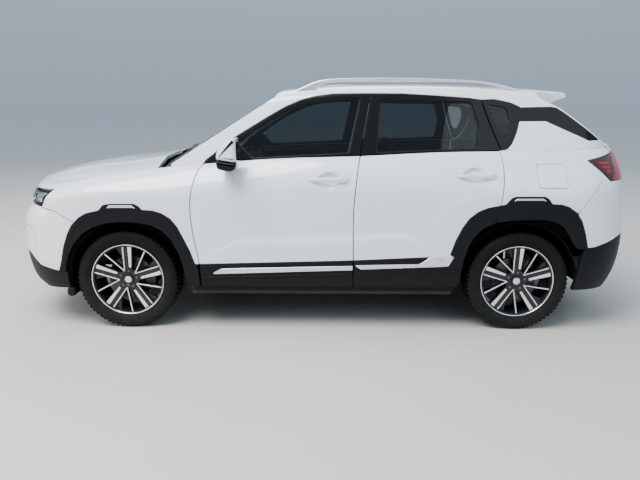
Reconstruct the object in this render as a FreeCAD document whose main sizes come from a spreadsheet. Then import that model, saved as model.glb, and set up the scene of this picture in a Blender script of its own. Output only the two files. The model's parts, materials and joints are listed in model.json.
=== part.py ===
import FreeCAD, Part
import math
import os

# Crossover SUV, five doors. Millimetres.
# +X points to the nose, +Y to the left side, +Z up. The origin lies on the ground, midway between
# the two axles and on the centre plane.

VEC = FreeCAD.Vector
DOC = FreeCAD.newDocument("CrossoverSuv")
SHEET = DOC.addObject("Spreadsheet::Sheet", "Sizes")

# name, value, what it is
SIZE_ROWS = [
    ("body_length", 4335.0, "bumper to bumper"),
    ("half_width", 903.0, "painted side, widest"),
    ("wheelbase", 2600.0, "between the axles"),
    ("track", 1550.0, "between the tyre centres"),
    ("tyre_radius", 336.0, "outside of the tread"),
    ("tyre_width", 215.0, "side wall to side wall"),
    ("bead_radius", 226.0, "tyre bead and rim seat"),
    ("rim_lip_radius", 243.0, "outer flange of the rim"),
    ("rim_width", 190.0, "flange to flange"),
    ("rim_wall", 9.0, "barrel wall"),
    ("hub_radius", 74.0, "pad that the wheel bolts go through"),
    ("lug_circle", 114.3, "wheel bolt circle, diameter"),
    ("lug_hole_radius", 7.0, "wheel bolt holes"),
    ("disc_radius", 150.0, "brake disc"),
    ("arch_radius", 398.0, "wheel arch opening"),
    ("panel_wall", 45.0, "body side and roof wall, skin and frame"),
    ("door_wall", 70.0, "whole door below the window"),
    ("frame_wall", 28.0, "door frame beside the window"),
    ("skin_wall", 14.0, "outer skin with its hem"),
    ("hem_step", 12.0, "inner door set in from the skin's edge"),
    ("shut_gap", 6.0, "gap round doors, bonnet and tailgate"),
    ("glass_wall", 5.0, "side and rear glass"),
    ("glass_depth", 9.0, "glass set in from the frame's face"),
    ("trim_proud", 9.0, "cladding stands proud of the paint"),
    ("floor_height", 262.0, "top of the floor pan"),
    ("floor_wall", 26.0, "floor pan"),
    ("door_bottom", 300.0, "lower edge of the door cladding"),
    ("paint_bottom", 486.0, "lower edge of the door paint"),
    ("roof_crown", 1632.0, "roof at its highest, centre plane"),
    ("roof_half", 540.0, "roof panel, half width"),
    ("rail_height", 1657.0, "top of the roof rails"),
    ("belt_lean", 0.35, "side glass leans in, per unit of height"),
    ("bonnet_crown", 0.00011, "bonnet falls towards its sides"),
    ("roof_arch", 0.0001, "roof falls towards its sides"),
    ("screen_rake", 1.64, "windscreen, run over rise"),
    ("screen_base", 944.0, "windscreen at the reference height, centre plane"),
    ("screen_bow", 0.000163, "windscreen bows forward"),
    ("screen_level", 1189.0, "reference height of the windscreen"),
    ("rear_rake", 1.41, "rear window, run over rise"),
    ("rear_base", -1908.0, "rear window at its reference height, centre plane"),
    ("rear_bow", 0.00012, "rear window bows back"),
    ("rear_level", 1247.0, "reference height of the rear window"),
    ("tailgate_half", 610.0, "tailgate, half width at the lamps"),
    ("bumper_split", 742.0, "tailgate's lower edge"),
    ("gate_front", -1368.0, "shut line between roof and tailgate"),
    ("bonnet_back", 1085.0, "rear corner of the bonnet"),
    ("mirror_reach", 1020.0, "mirror's outer end from the centre plane"),
    ("engine_length", 470.0, "engine and gearbox block, along the vehicle"),
    ("engine_width", 670.0, "engine and gearbox block, across"),
    ("engine_height", 630.0, "engine and gearbox block"),
    ("engine_floor", 250.0, "underside of the engine"),
    ("engine_behind", 170.0, "engine starts behind the front axle"),
    ("radiator_depth", 52.0, "radiator with its fan"),
    ("radiator_width", 760.0, "radiator, across"),
    ("radiator_height", 500.0, "radiator"),
    ("radiator_floor", 370.0, "underside of the radiator"),
    ("radiator_share", 0.618, "radiator's place in the front overhang"),
    ("beam_radius", 44.0, "rear torsion beam"),
    ("beam_half", 560.0, "rear torsion beam, half length"),
    ("beam_ahead", 180.0, "torsion beam ahead of the rear axle"),
    ("beam_height", 330.0, "torsion beam's centre above the ground"),
    ("arm_length", 400.0, "trailing arm"),
    ("arm_width", 60.0, "trailing arm"),
    ("arm_depth", 62.0, "trailing arm"),
    ("arm_inner", 540.0, "trailing arm's inner face from the centre plane"),
    ("stub_radius", 50.0, "rear hub carrier"),
    ("stub_length", 118.0, "rear hub carrier"),
    ("spring_radius", 54.0, "rear spring, outside"),
    ("spring_length", 210.0, "rear spring"),
    ("spring_seat_radius", 60.0, "rear spring's seat"),
    ("damper_radius", 25.0, "rear damper"),
    ("damper_length", 258.0, "rear damper"),
    ("pipe_radius", 26.0, "exhaust pipe"),
    ("pipe_height", 205.0, "exhaust pipe's centre above the ground"),
    ("pipe_side", 120.0, "exhaust pipe's centre from the centre plane"),
    ("silencer_length", 440.0, "silencer"),
    ("silencer_width", 520.0, "silencer"),
    ("silencer_height", 150.0, "silencer"),
    ("wheel_ring_radius", 178.0, "steering wheel's ring, to the middle of the grip"),
    ("grip_radius", 14.0, "steering wheel's grip"),
    ("pad_radius", 58.0, "steering wheel's pad"),
    ("pad_depth", 34.0, "steering wheel's pad"),
    ("column_radius", 32.0, "steering column"),
    ("column_length", 150.0, "steering column ahead of the wheel"),
]
for row, (alias, value, note) in enumerate(SIZE_ROWS, start=1):
    SHEET.set("A%d" % row, alias)
    SHEET.set("B%d" % row, str(value))
    SHEET.set("C%d" % row, note)
    SHEET.setAlias("B%d" % row, alias)
DOC.recompute()


def size(alias):
    """One driving dimension from the sheet."""
    return float(getattr(SHEET, alias))


HALF_LENGTH = size("body_length") / 2.0
AXLE = size("wheelbase") / 2.0
END_RUN = HALF_LENGTH - AXLE
HALF_WIDTH = size("half_width")
TYRE_RADIUS = size("tyre_radius")
WHEEL_Y = size("track") / 2.0
GAP = size("shut_gap")
WALL = size("panel_wall")
# The tables and outlines below are drawn for this half wheelbase and this overhang.
DRAWN_AXLE = 1300.0
DRAWN_OVERHANG = 867.5
MIDDLE_SCALE = AXLE / DRAWN_AXLE
END_SCALE = END_RUN / DRAWN_OVERHANG
FAR = HALF_LENGTH + 300.0


def station(x):
    """A drawn station carried to the present wheelbase and body length."""
    if abs(x) <= DRAWN_AXLE:
        return x * MIDDLE_SCALE
    return math.copysign(AXLE + (abs(x) - DRAWN_AXLE) * END_SCALE, x)


def carried(rows):
    """Rows or outline points whose first item is a drawn station, carried to present sizes."""
    return [(station(row[0]),) + tuple(row[1:]) for row in rows]


def carried_with_axle(rows, drawn_axle):
    """Outline points that keep their distance from an axle."""
    shift = math.copysign(AXLE, drawn_axle) - drawn_axle
    return [(row[0] + shift,) + tuple(row[1:]) for row in rows]


def stations(values):
    """Drawn stations carried to present sizes."""
    return [station(value) for value in values]


SCREEN_BASE = station(size("screen_base"))
SCREEN_RAKE = size("screen_rake") * MIDDLE_SCALE
REAR_BASE = station(size("rear_base"))
REAR_RAKE = size("rear_rake") * END_SCALE
GATE_FRONT = station(size("gate_front"))
BONNET_BACK = station(size("bonnet_back"))
RAIL_TOP = size("rail_height")

# Heights of the rows of a body section and how far each row stands in from the widest line.
# side_height, side_in, nose_height, nose_in, tail_height, tail_in
SECTION_ROWS = [
    (280.0, 22.0, 190.0, 165.0, 235.0, 130.0),
    (340.0, 12.0, 250.0, 72.0, 285.0, 84.0),
    (430.0, 6.0, 310.0, 30.0, 350.0, 38.0),
    (540.0, 3.0, 400.0, 3.0, 442.0, 9.0),
    (660.0, 1.0, 560.0, 0.0, 560.0, 0.0),
    (770.0, 0.0, 700.0, 8.0, 760.0, 16.0),
    (880.0, 0.0, 820.0, 18.0, 960.0, 40.0),
]
# Top edge of the lower body, from the fender to the tail: station, distance from centre, height
TOP_ROWS = carried([
    (1300.0, 762.0, 1050.0),
    (1100.0, 764.0, 1071.0),
    (776.0, 775.0, 1107.0),
    (300.0, 783.0, 1143.0),
    (-250.0, 779.0, 1161.0),
    (-742.0, 771.0, 1185.0),
    (-1161.0, 758.0, 1193.0),
    (-1300.0, 752.0, 1194.0),
])
NOSE_TOP_IN = 187.0
TAIL_TOP_IN = 160.0
TAIL_TOP_HEIGHT = 1232.0
# Bonnet's centre line: station, height
BONNET_ROWS = carried([
    (1000.0, 1151.0),
    (1150.0, 1141.0),
    (1300.0, 1129.0),
    (1450.0, 1114.0),
    (1600.0, 1097.0),
    (1750.0, 1070.0),
    (1870.0, 1041.0),
    (1980.0, 1006.0),
    (2050.0, 974.0),
    (2100.0, 935.0),
])
# Roof's centre line: station, fall below the crown
ROOF_ROWS = carried([
    (1150.0, 252.0),
    (800.0, 142.0),
    (500.0, 72.0),
    (250.0, 34.0),
    (0.0, 13.0),
    (-300.0, 0.0),
    (-800.0, 0.0),
    (-1368.0, 20.0),
    (-1660.0, 42.0),
    (-1950.0, 75.0),
])
CORNER_P = 4.0
CORNER_Q = 2.8
TAIL_TOP_Q = 4.0


def table_value(rows, key, column=1):
    """Smooth value of a table's column at a key, by cubic pieces through the rows."""
    rows = sorted(rows)
    if key <= rows[0][0]:
        return rows[0][column]
    if key >= rows[-1][0]:
        return rows[-1][column]
    slopes = []
    for index in range(len(rows)):
        low = max(index - 1, 0)
        high = min(index + 1, len(rows) - 1)
        run = rows[high][0] - rows[low][0]
        slopes.append((rows[high][column] - rows[low][column]) / run)
    for index in range(len(rows) - 1):
        start, end = rows[index], rows[index + 1]
        if start[0] <= key <= end[0]:
            run = end[0] - start[0]
            part = (key - start[0]) / run
            return (
                start[column] * (1 + 2 * part) * (1 - part) ** 2
                + slopes[index] * run * part * (1 - part) ** 2
                + end[column] * part * part * (3 - 2 * part)
                - slopes[index + 1] * run * part * part * (1 - part)
            )
    return rows[-1][column]


def sweep_back(distance):
    """How far the nose's outline falls back at a distance from the centre plane."""
    share = min(abs(distance) / HALF_WIDTH, 0.999)
    return END_RUN * (1.0 - (1.0 - share ** CORNER_Q) ** (1.0 / CORNER_P))


def bonnet_height(x, y):
    """Height of the bonnet's skin."""
    return table_value(BONNET_ROWS, x + sweep_back(y)) - size("bonnet_crown") * y * y


def roof_height(x, y):
    """Height of the roof's skin."""
    fall = table_value(ROOF_ROWS, x)
    return size("roof_crown") - fall - size("roof_arch") * y * y


def side_width(x):
    """Widest half width of the painted side at a station."""
    return HALF_WIDTH - 3.0e-6 * (abs(x) - AXLE) ** 2


def corner_point(angle, sign, reach, width, q_power):
    """Plan point on an end's rounded corner; angle 90 is at the axle, 0 on the centre plane."""
    along = max(math.cos(math.radians(angle)), 0.0) ** (2.0 / CORNER_P)
    across = max(math.sin(math.radians(angle)), 0.0) ** (2.0 / q_power)
    return (sign * (AXLE + reach * along), width * across)


def shoulder(start, lead, end, lean_degrees, count):
    """Rows (inset, height) of a shoulder: leaves upwards, ends at lean_degrees above level."""
    lean = math.radians(lean_degrees)
    rise = end[1] - start[1]
    first = (start[0] + lead, start[1] + 0.5 * rise)
    pull = 0.45 * (end[0] - start[0])
    second = (end[0] - pull * math.cos(lean), end[1] - pull * math.sin(lean))
    rows = []
    for step in range(1, count + 1):
        part = step / count
        rest = 1.0 - part
        rows.append(tuple(
            rest ** 3 * start[i] + 3 * rest * rest * part * first[i]
            + 3 * rest * part * part * second[i] + part ** 3 * end[i]
            for i in (0, 1)
        ))
    return rows


SHOULDER_STEPS = 5
# Slope of the shoulder where it meets the glass, and of the bonnet's edge, in degrees.
SIDE_LEAN = 43.0
NOSE_LEAN = 12.0
LEAN_START = station(600.0)


def side_station(x):
    """Section of the lower body between the axles, as points from the sill to the top edge."""
    width = side_width(x)
    top_y = table_value(TOP_ROWS, x, 1)
    top_z = table_value(TOP_ROWS, x, 2)
    turn = min(max((x - LEAN_START) / (AXLE - 100.0 - LEAN_START), 0.0), 1.0)
    lean = SIDE_LEAN - (SIDE_LEAN - NOSE_LEAN) * turn
    rows = [(row[1], row[0]) for row in SECTION_ROWS]
    rows += shoulder(rows[-1], 0.0, (width - top_y, top_z), lean, SHOULDER_STEPS)
    return [VEC(x, width - inset, height) for inset, height in rows]


def end_station(angle, sign):
    """Section of the lower body round the nose (sign 1) or the tail (sign -1)."""
    weight = math.cos(math.radians(angle)) ** 2
    width = side_width(AXLE)
    anchor = sign * AXLE
    top_y = table_value(TOP_ROWS, anchor, 1)
    top_in = NOSE_TOP_IN if sign > 0 else TAIL_TOP_IN
    q_top = CORNER_Q if sign > 0 else TAIL_TOP_Q
    outer = corner_point(angle, sign, END_RUN, width, CORNER_Q)
    inner = corner_point(angle, sign, END_RUN - top_in, top_y, q_top)
    if sign > 0:
        top_z = bonnet_height(inner[0], inner[1])
        end_rows = [(row[3], row[2]) for row in SECTION_ROWS]
        lean = NOSE_LEAN
    else:
        top_z = table_value(TOP_ROWS, anchor, 2) * (1 - weight) + TAIL_TOP_HEIGHT * weight
        end_rows = [(row[5], row[4]) for row in SECTION_ROWS]
        lean = SIDE_LEAN
    side_in = width - top_y
    rows = []
    for (e_in, e_z), row in zip(end_rows, SECTION_ROWS):
        share = (1 - weight) * row[1] / side_in + weight * e_in / top_in
        rows.append((share, (1 - weight) * row[0] + weight * e_z))
    lead = weight * 0.15
    scale = 0.5 * (side_in + top_in)
    start = (rows[-1][0] * scale, rows[-1][1])
    upper = shoulder(start, lead * scale, (scale, top_z), lean, SHOULDER_STEPS)
    rows += [(inset / scale, height) for inset, height in upper]
    return [
        VEC(outer[0] + (inner[0] - outer[0]) * share, outer[1] + (inner[1] - outer[1]) * share, z)
        for share, z in rows
    ]


def top_line(x):
    """Distance from the centre plane and height of the lower body's top edge."""
    if x >= -AXLE:
        return table_value(TOP_ROWS, x, 1), table_value(TOP_ROWS, x, 2)
    share = min((-x - AXLE) / (END_RUN - TAIL_TOP_IN), 0.999)
    across = (1.0 - share ** CORNER_P) ** (1.0 / TAIL_TOP_Q)
    weight = share ** CORNER_P
    height = table_value(TOP_ROWS, -AXLE, 2) * (1 - weight) + TAIL_TOP_HEIGHT * weight
    return table_value(TOP_ROWS, -AXLE, 1) * across, height


EDGE_DROP = 92.0


def glass_y(x, z):
    """Distance from the centre plane of the window side at a station and height."""
    y_top, z_top = top_line(x)
    return y_top - size("belt_lean") * (z - z_top)


def edge_start(x):
    """Height where the window side turns into the roof edge."""
    return roof_height(x, 0.0) - EDGE_DROP


def window_station(x):
    """Straight section of the window side, a little past its two ends."""
    low = top_line(x)[1] - 25.0
    high = edge_start(x) + 4.0
    return [VEC(x, glass_y(x, z), z) for z in (low, 0.5 * (low + high), high)]


def edge_station(x):
    """Section of the roof edge, from the window side over to the roof panel."""
    z_edge = edge_start(x)
    start = (glass_y(x, z_edge), z_edge)
    half = min(size("roof_half"), start[0] - 60.0)
    end = (half, roof_height(x, half))
    pull = 0.5 * EDGE_DROP
    first = (start[0] - size("belt_lean") * pull, start[1] + pull)
    second = (end[0] + pull, end[1] - pull * 2.0 * size("roof_arch") * half)
    rows = []
    for step in range(6):
        part = step / 5.0
        rest = 1.0 - part
        rows.append(tuple(
            rest ** 3 * start[i] + 3 * rest * rest * part * first[i]
            + 3 * rest * part * part * second[i] + part ** 3 * end[i]
            for i in (0, 1)
        ))
    return [VEC(x, y, z) for y, z in rows]


def offset_grid(grid, depth):
    """The grid moved inwards along its own normals."""
    moved = []
    for i, line in enumerate(grid):
        new_line = []
        for j, point in enumerate(line):
            along = grid[min(i + 1, len(grid) - 1)][j] - grid[max(i - 1, 0)][j]
            up = line[min(j + 1, len(line) - 1)] - line[max(j - 1, 0)]
            normal = along.cross(up)
            normal.normalize()
            new_line.append(point + normal * depth)
        moved.append(new_line)
    return moved


def skin_face(grid):
    """Smooth face through a grid of points."""
    surface = Part.BSplineSurface()
    surface.interpolate(grid)
    return surface.toShape()


def slab(grid, near, far):
    """Solid between two depths under a grid of points; negative depths stand proud."""
    outer = skin_face(offset_grid(grid, near) if near else grid)
    inner = skin_face(offset_grid(grid, far))
    faces = [outer, inner]
    for one, two in zip(outer.Edges, inner.Edges):
        faces.append(Part.makeRuledSurface(one, two))
    shell = Part.Shell(faces)
    shell.sewShape()
    solid = Part.Solid(shell)
    if solid.Volume < 0:
        solid.reverse()
    return solid


def outline(points, place):
    """Closed wire from plan points; a third item marks the middle of an arc."""
    edges = []
    count = len(points)
    index = 0
    while index < count:
        start = points[index]
        follow = points[(index + 1) % count]
        if len(follow) == 3:
            end = points[(index + 2) % count]
            edges.append(Part.Arc(place(start), place(follow), place(end)).toShape())
            index += 2
        else:
            edges.append(Part.makeLine(place(start), place(follow)))
            index += 1
    return Part.Wire(edges)


def side_prism(points, low=150.0, high=1150.0, grow=0.0):
    """Prism through the left side over an outline in X and Z."""
    wire = outline(points, lambda p: VEC(p[0], low, p[1]))
    if grow:
        wire = wire.makeOffset2D(grow)
    return Part.Face(wire).extrude(VEC(0, high - low, 0))


def plan_prism(points, low, high, grow=0.0):
    """Upright prism over an outline in X and Y."""
    wire = outline(points, lambda p: VEC(p[0], p[1], low))
    if grow:
        wire = wire.makeOffset2D(grow)
    return Part.Face(wire).extrude(VEC(0, 0, high - low))


def front_prism(points, low, high):
    """Prism along X over an outline in Y and Z."""
    wire = outline(points, lambda p: VEC(low, p[0], p[1]))
    return Part.Face(wire).extrude(VEC(high - low, 0, 0))


def box(x_low, y_low, z_low, x_high, y_high, z_high):
    """Upright box between two corners."""
    return Part.makeBox(x_high - x_low, y_high - y_low, z_high - z_low, VEC(x_low, y_low, z_low))


def rod(x, y, z, radius, length, axis):
    """Round bar from a point along an axis."""
    return Part.makeCylinder(radius, length, VEC(x, y, z), axis)


def mirrored(shape):
    """The same shape on the right side."""
    return shape.mirror(VEC(0, 0, 0), VEC(0, 1, 0))


def solids(shape):
    """A shape's solids as one clean compound or a single solid."""
    parts = [item for item in shape.Solids if item.Volume > 500.0]
    return parts[0] if len(parts) == 1 else Part.makeCompound(parts)


SUBPARTS = []


def keep(label, shape):
    """Adds a finished sub-part to the document."""
    item = DOC.addObject("Part::Feature", label)
    item.Shape = shape
    item.Label = label
    SUBPARTS.append(item)
    return item


def primitive(kind, name, sizes, turn=None):
    """Solid primitive whose sizes and place follow the sheet."""
    item = DOC.addObject("Part::" + kind, name)
    if turn:
        item.Placement = FreeCAD.Placement(VEC(0, 0, 0), turn)
    for path, term in sizes.items():
        item.setExpression(path, term)
    return item


def placed(x, y, z):
    """Expressions for a primitive's corner or centre."""
    return {".Placement.Base.x": x, ".Placement.Base.y": y, ".Placement.Base.z": z}


def joined(label, items):
    """Sub-part fused from objects of the document."""
    whole = DOC.addObject("Part::MultiFuse", label)
    whole.Shapes = items
    whole.Refine = True
    whole.Label = label
    SUBPARTS.append(whole)
    return whole


# Grids of the skin, left side. The end grids run past the centre plane and are cut there.
END_ANGLES = [82.0, 72.0, 62.0, 52.0, 43.0, 34.0, 25.0, 16.0, 8.0, 0.0]


def past_centre(station):
    """A station's mirror image, one step beyond the centre plane."""
    return [VEC(point.x, -point.y, point.z) for point in station]


NOSE_STATIONS = [end_station(angle, 1) for angle in END_ANGLES]
TAIL_STATIONS = [end_station(angle, -1) for angle in END_ANGLES]
FRONT_GRID = [side_station(x) for x in stations((640.0, 860.0, 1080.0, 1300.0))] + NOSE_STATIONS
FRONT_GRID += [past_centre(NOSE_STATIONS[-2]), past_centre(NOSE_STATIONS[-3])]
SIDE_STATIONS = stations((-1280.0, -1000.0, -650.0, -300.0, 100.0, 500.0, 720.0, 900.0))
SIDE_GRID = [side_station(x) for x in SIDE_STATIONS]
REAR_GRID = [past_centre(TAIL_STATIONS[-3]), past_centre(TAIL_STATIONS[-2])]
REAR_GRID += TAIL_STATIONS[::-1] + [side_station(x) for x in stations((-1300.0, -1120.0, -900.0))]
UPPER_STATIONS = stations(
    (-1950.0, -1800.0, -1600.0, -1300.0, -900.0, -500.0, -100.0, 300.0, 700.0, 1150.0)
)
WINDOW_GRID = [window_station(x) for x in UPPER_STATIONS]
EDGE_GRID = [edge_station(x) for x in UPPER_STATIONS]


def cap_slab(height, x_rows, half, near, far):
    """Slab between two depths under a surface given by its height, such as the roof."""
    y_rows = [half * share for share in (-1.0, -0.75, -0.5, -0.25, 0.0, 0.25, 0.5, 0.75, 1.0)]
    grid = [[VEC(x, y, height(x, y) - near) for y in y_rows] for x in x_rows]
    lower = [[point - VEC(0, 0, far - near) for point in line] for line in grid]
    faces = [skin_face(grid), skin_face(lower)]
    for one, two in zip(faces[0].Edges, faces[1].Edges):
        faces.append(Part.makeRuledSurface(one, two))
    shell = Part.Shell(faces)
    shell.sewShape()
    solid = Part.Solid(shell)
    if solid.Volume < 0:
        solid.reverse()
    return solid


BONNET_STATIONS = stations((
    1000.0, 1150.0, 1300.0, 1450.0, 1600.0, 1750.0, 1870.0, 1940.0, 2010.0, 2080.0,
))


# How far the bonnet's rear edge bows forward on the centre plane.
BONNET_BOW = 45.0


def bonnet_prism(inset):
    """Upright prism over the bonnet's plan, its edge set in from the top line of the body."""
    base = 920.0
    edge = [(AXLE, table_value(TOP_ROWS, AXLE, 1))]
    edge += [(line[-1].x, line[-1].y) for line in NOSE_STATIONS]
    left = [VEC(x - inset, y - inset, base) for x, y in edge]
    left[-1] = VEC(edge[-1][0] - inset, 0, base)
    right = [VEC(point.x, -point.y, point.z) for point in left[-2::-1]]
    nose = Part.BSplineCurve()
    nose.interpolate(left + right)
    back = BONNET_BACK
    rear_left = VEC(back, left[0].y, base)
    rear_right = VEC(back, -left[0].y, base)
    front_right = VEC(left[0].x, -left[0].y, base)
    bow = Part.Arc(rear_right, VEC(back + BONNET_BOW, 0, base), rear_left).toShape()
    wire = Part.Wire([
        bow, Part.makeLine(rear_left, left[0]), nose.toShape(),
        Part.makeLine(front_right, rear_right),
    ])
    return Part.Face(wire).extrude(VEC(0, 0, 400.0))


BONNET_SPACE = bonnet_prism(-1.5)


def screen_cutter(offset):
    """Everything ahead of the windscreen's surface, moved back by an offset along X."""
    level = size("screen_level")
    base = SCREEN_BASE - offset
    edge = 900.0
    side = base - size("screen_bow") * edge * edge
    wire = outline(
        [(side, -edge), (base, 0.0, "arc"), (side, edge), (FAR, edge), (FAR, -edge)],
        lambda p: VEC(p[0], p[1], level),
    )
    low = 240.0
    high = 560.0
    face = Part.Face(wire)
    face.translate(VEC(SCREEN_RAKE * low, 0, -low))
    return face.extrude(VEC(-SCREEN_RAKE * (low + high), 0, low + high))


def rear_cutter(offset):
    """Everything behind the rear window's surface, moved forward by an offset along X."""
    level = size("rear_level")
    base = REAR_BASE + offset
    edge = 900.0
    side = base + size("rear_bow") * edge * edge
    wire = outline(
        [(side, edge), (base, 0.0, "arc"), (side, -edge), (-FAR - 200.0, -edge), (-FAR - 200.0, edge)],
        lambda p: VEC(p[0], p[1], level),
    )
    low = 120.0
    high = 500.0
    face = Part.Face(wire)
    face.translate(VEC(-REAR_RAKE * low, 0, -low))
    return face.extrude(VEC(REAR_RAKE * (low + high), 0, low + high))


# Outlines in X and Z, front to rear along the left side.
DOOR_BOTTOM = size("door_bottom")
PAINT_LOW = size("paint_bottom")
AXLE_HEIGHT = TYRE_RADIUS
ARCH = size("arch_radius")
FRONT_DOOR = carried([
    (806.0, 456.0), (800.0, DOOR_BOTTOM), (-207.0, DOOR_BOTTOM), (-204.0, 790.0),
    (-222.0, 1000.0, "arc"), (-250.0, 1180.0), (-317.0, 1552.0), (-69.0, 1551.0),
    (52.0, 1538.0, "arc"), (141.0, 1509.0), (430.0, 1362.0, "arc"), (700.0, 1180.0),
    (756.0, 1126.0), (848.0, 830.0, "arc"),
])
REAR_DOOR = carried([
    (-213.0, DOOR_BOTTOM), (-896.0, DOOR_BOTTOM), (-913.0, 372.0), (-972.0, 618.0, "arc"),
    (-1120.0, 742.0), (-1163.0, 960.0, "arc"), (-1161.0, 1193.0), (-1091.0, 1367.0),
    (-1041.0, 1512.0), (-700.0, 1541.0, "arc"), (-323.0, 1552.0), (-256.0, 1180.0),
    (-228.0, 1000.0, "arc"), (-210.0, 790.0),
])
FRONT_WINDOW = carried([
    (559.0, 1240.0), (350.0, 1382.0, "arc"), (141.0, 1481.0), (-10.0, 1513.0, "arc"),
    (-250.0, 1526.0), (-178.0, 1174.0), (461.0, 1140.0),
])
REAR_WINDOW = carried([
    (-378.0, 1516.0), (-975.0, 1504.0), (-1026.0, 1357.0), (-1006.0, 1205.0), (-348.0, 1177.0),
])
QUARTER_WINDOW = carried([
    (-1056.0, 1506.0), (-1160.0, 1500.0), (-1250.0, 1478.0, "arc"), (-1292.0, 1440.0),
    (-1288.0, 1345.0, "arc"), (-1222.0, 1222.0), (-1190.0, 1205.0), (-1165.0, 1210.0),
    (-1106.0, 1367.0),
])
HEADLAMP = carried([(1752.0, 936.0), (1859.0, 824.0), (2230.0, 838.0), (2230.0, 918.0)])
TAIL_LAMP = carried([
    (-1721.0, 1133.0), (-1922.0, 1173.0), (-2230.0, 1180.0), (-2230.0, 1030.0), (-1882.0, 1000.0),
])
FUEL_FLAP = carried([(-1376.0, 1110.0), (-1548.0, 1112.0), (-1574.0, 970.0), (-1386.0, 967.0)])
NOSE_SEAM = carried([(1856.0, 822.0), (1740.0, 806.0), (1620.0, 735.0)])
TAIL_SEAM = carried([(-1830.0, 1040.0), (-1620.0, 780.0)])
NOSE_PAINT_LOW = carried([(2300.0, 520.0), (1990.0, 485.0), (1896.0, 421.0), (1640.0, 396.0)])
TAIL_PAINT_LOW = carried([(-2300.0, 640.0), (-1969.0, 622.0), (-1784.0, 574.0), (-1640.0, 560.0)])


def arch_hole(station, radius):
    """Round wheel arch opening through the left side."""
    return rod(station, 300.0, AXLE_HEIGHT, radius, 900.0, VEC(0, 1, 0))


def door_body(points, window):
    """Painted door: hemmed skin, inner frame set in, window frame above the belt."""
    full = side_prism(points)
    skin = slab(SIDE_GRID, 0.0, size("skin_wall")).common(full)
    inner = slab(SIDE_GRID, size("skin_wall"), size("door_wall"))
    inner = inner.common(side_prism(points, grow=-size("hem_step")))
    lower = skin.fuse(inner).common(box(-AXLE - 100.0, 0.0, PAINT_LOW, AXLE, 1200.0, 1700.0))
    upper = slab(WINDOW_GRID, 0.0, size("frame_wall")).common(full)
    return lower.fuse(upper.cut(side_prism(window))).removeSplitter()


def door_trim(points):
    """Black cladding along a door's foot."""
    proud = slab(SIDE_GRID, -size("trim_proud"), size("skin_wall"))
    below = box(-AXLE - 100.0, 0.0, 200.0, AXLE, 1200.0, PAINT_LOW - 1.0)
    return solids(proud.common(side_prism(points)).common(below))


def window_glass(window):
    """Side glass set in its frame."""
    deep = size("glass_depth")
    pane = slab(WINDOW_GRID, deep, deep + size("glass_wall"))
    return solids(pane.common(side_prism(window, grow=-0.5)))


def front_shell(near, far):
    """Left half of the front skin between two depths."""
    return slab(FRONT_GRID, near, far).common(
        box(station(600.0), 0.0, 100.0, FAR, 1100.0, 1300.0))


def rear_shell(near, far):
    """Left half of the rear skin between two depths."""
    return slab(REAR_GRID, near, far).common(
        box(-FAR, 0.0, 100.0, station(-880.0), 1100.0, 1400.0))


def both(shape):
    """A left half joined with its mirror image across the centre plane."""
    return shape.fuse(mirrored(shape)).removeSplitter()


def fender():
    """Front wing with its arch."""
    area = carried([
        (764.0, 1130.0), (857.0, 830.0, "arc"), (815.0, 456.0), (812.0, 440.0), (1300.0, 420.0),
        (1560.0, 640.0),
    ])
    area += NOSE_SEAM[::-1]
    area += carried([
        (1850.0, 855.0), (1744.0, 940.0), (1900.0, 980.0), (1900.0, 1300.0), (764.0, 1300.0),
    ])
    panel = front_shell(0.0, 32.0).common(side_prism(area, low=300.0))
    lamp_hole = side_prism(HEADLAMP, low=430.0, grow=3.0)
    return solids(panel.cut([arch_hole(AXLE, ARCH), lamp_hole, BONNET_SPACE]))


def front_bumper():
    """Painted front bumper, left half and right half joined."""
    area = [(station(1906.0), 1300.0), (FAR, 1300.0)] + NOSE_PAINT_LOW
    area += [(x + 4.0, z - 5.0) for x, z in NOSE_SEAM[::-1]]
    area += carried([(1867.0, 830.0), (1906.0, 974.0)])
    panel = front_shell(0.0, 32.0).common(side_prism(area, low=0.0))
    panel = panel.cut([arch_hole(AXLE, ARCH), side_prism(HEADLAMP, low=430.0, grow=3.0)])
    panel = panel.cut([front_prism(GRILLE, NOSE_INNER, FAR), BONNET_SPACE])
    return both(panel)


# Cuts through the nose and the tail start at these stations.
NOSE_INNER = station(1750.0)
TAIL_INNER = station(-1500.0)
GRILLE = [(-1.0, 810.0), (400.0, 800.0), (330.0, 640.0), (-1.0, 630.0)]
INTAKE = [(-1.0, 470.0), (520.0, 470.0), (430.0, 330.0), (-1.0, 330.0)]


def front_lower():
    """Black lower front bumper with its intake."""
    area = [(point[0], point[1] - 2.0) for point in NOSE_PAINT_LOW]
    area += [(station(1640.0), 150.0), (FAR, 150.0)]
    panel = front_shell(0.0, 30.0).common(side_prism(area, low=0.0))
    panel = panel.cut([arch_hole(AXLE, ARCH), front_prism(INTAKE, NOSE_INNER, FAR)])
    return both(panel)


def headlamp():
    """Left headlamp, wrapped round the corner."""
    return solids(front_shell(0.0, 55.0).common(side_prism(HEADLAMP, low=433.0)))


def grille():
    """Grille and lower intake: slats on a backing, set in from the bumper."""
    back = front_shell(22.0, 30.0)
    upper = back.common(front_prism(GRILLE, NOSE_INNER, FAR))
    lower = back.common(front_prism(INTAKE, NOSE_INNER, FAR))
    return solids(both(upper.fuse(lower)))


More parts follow.
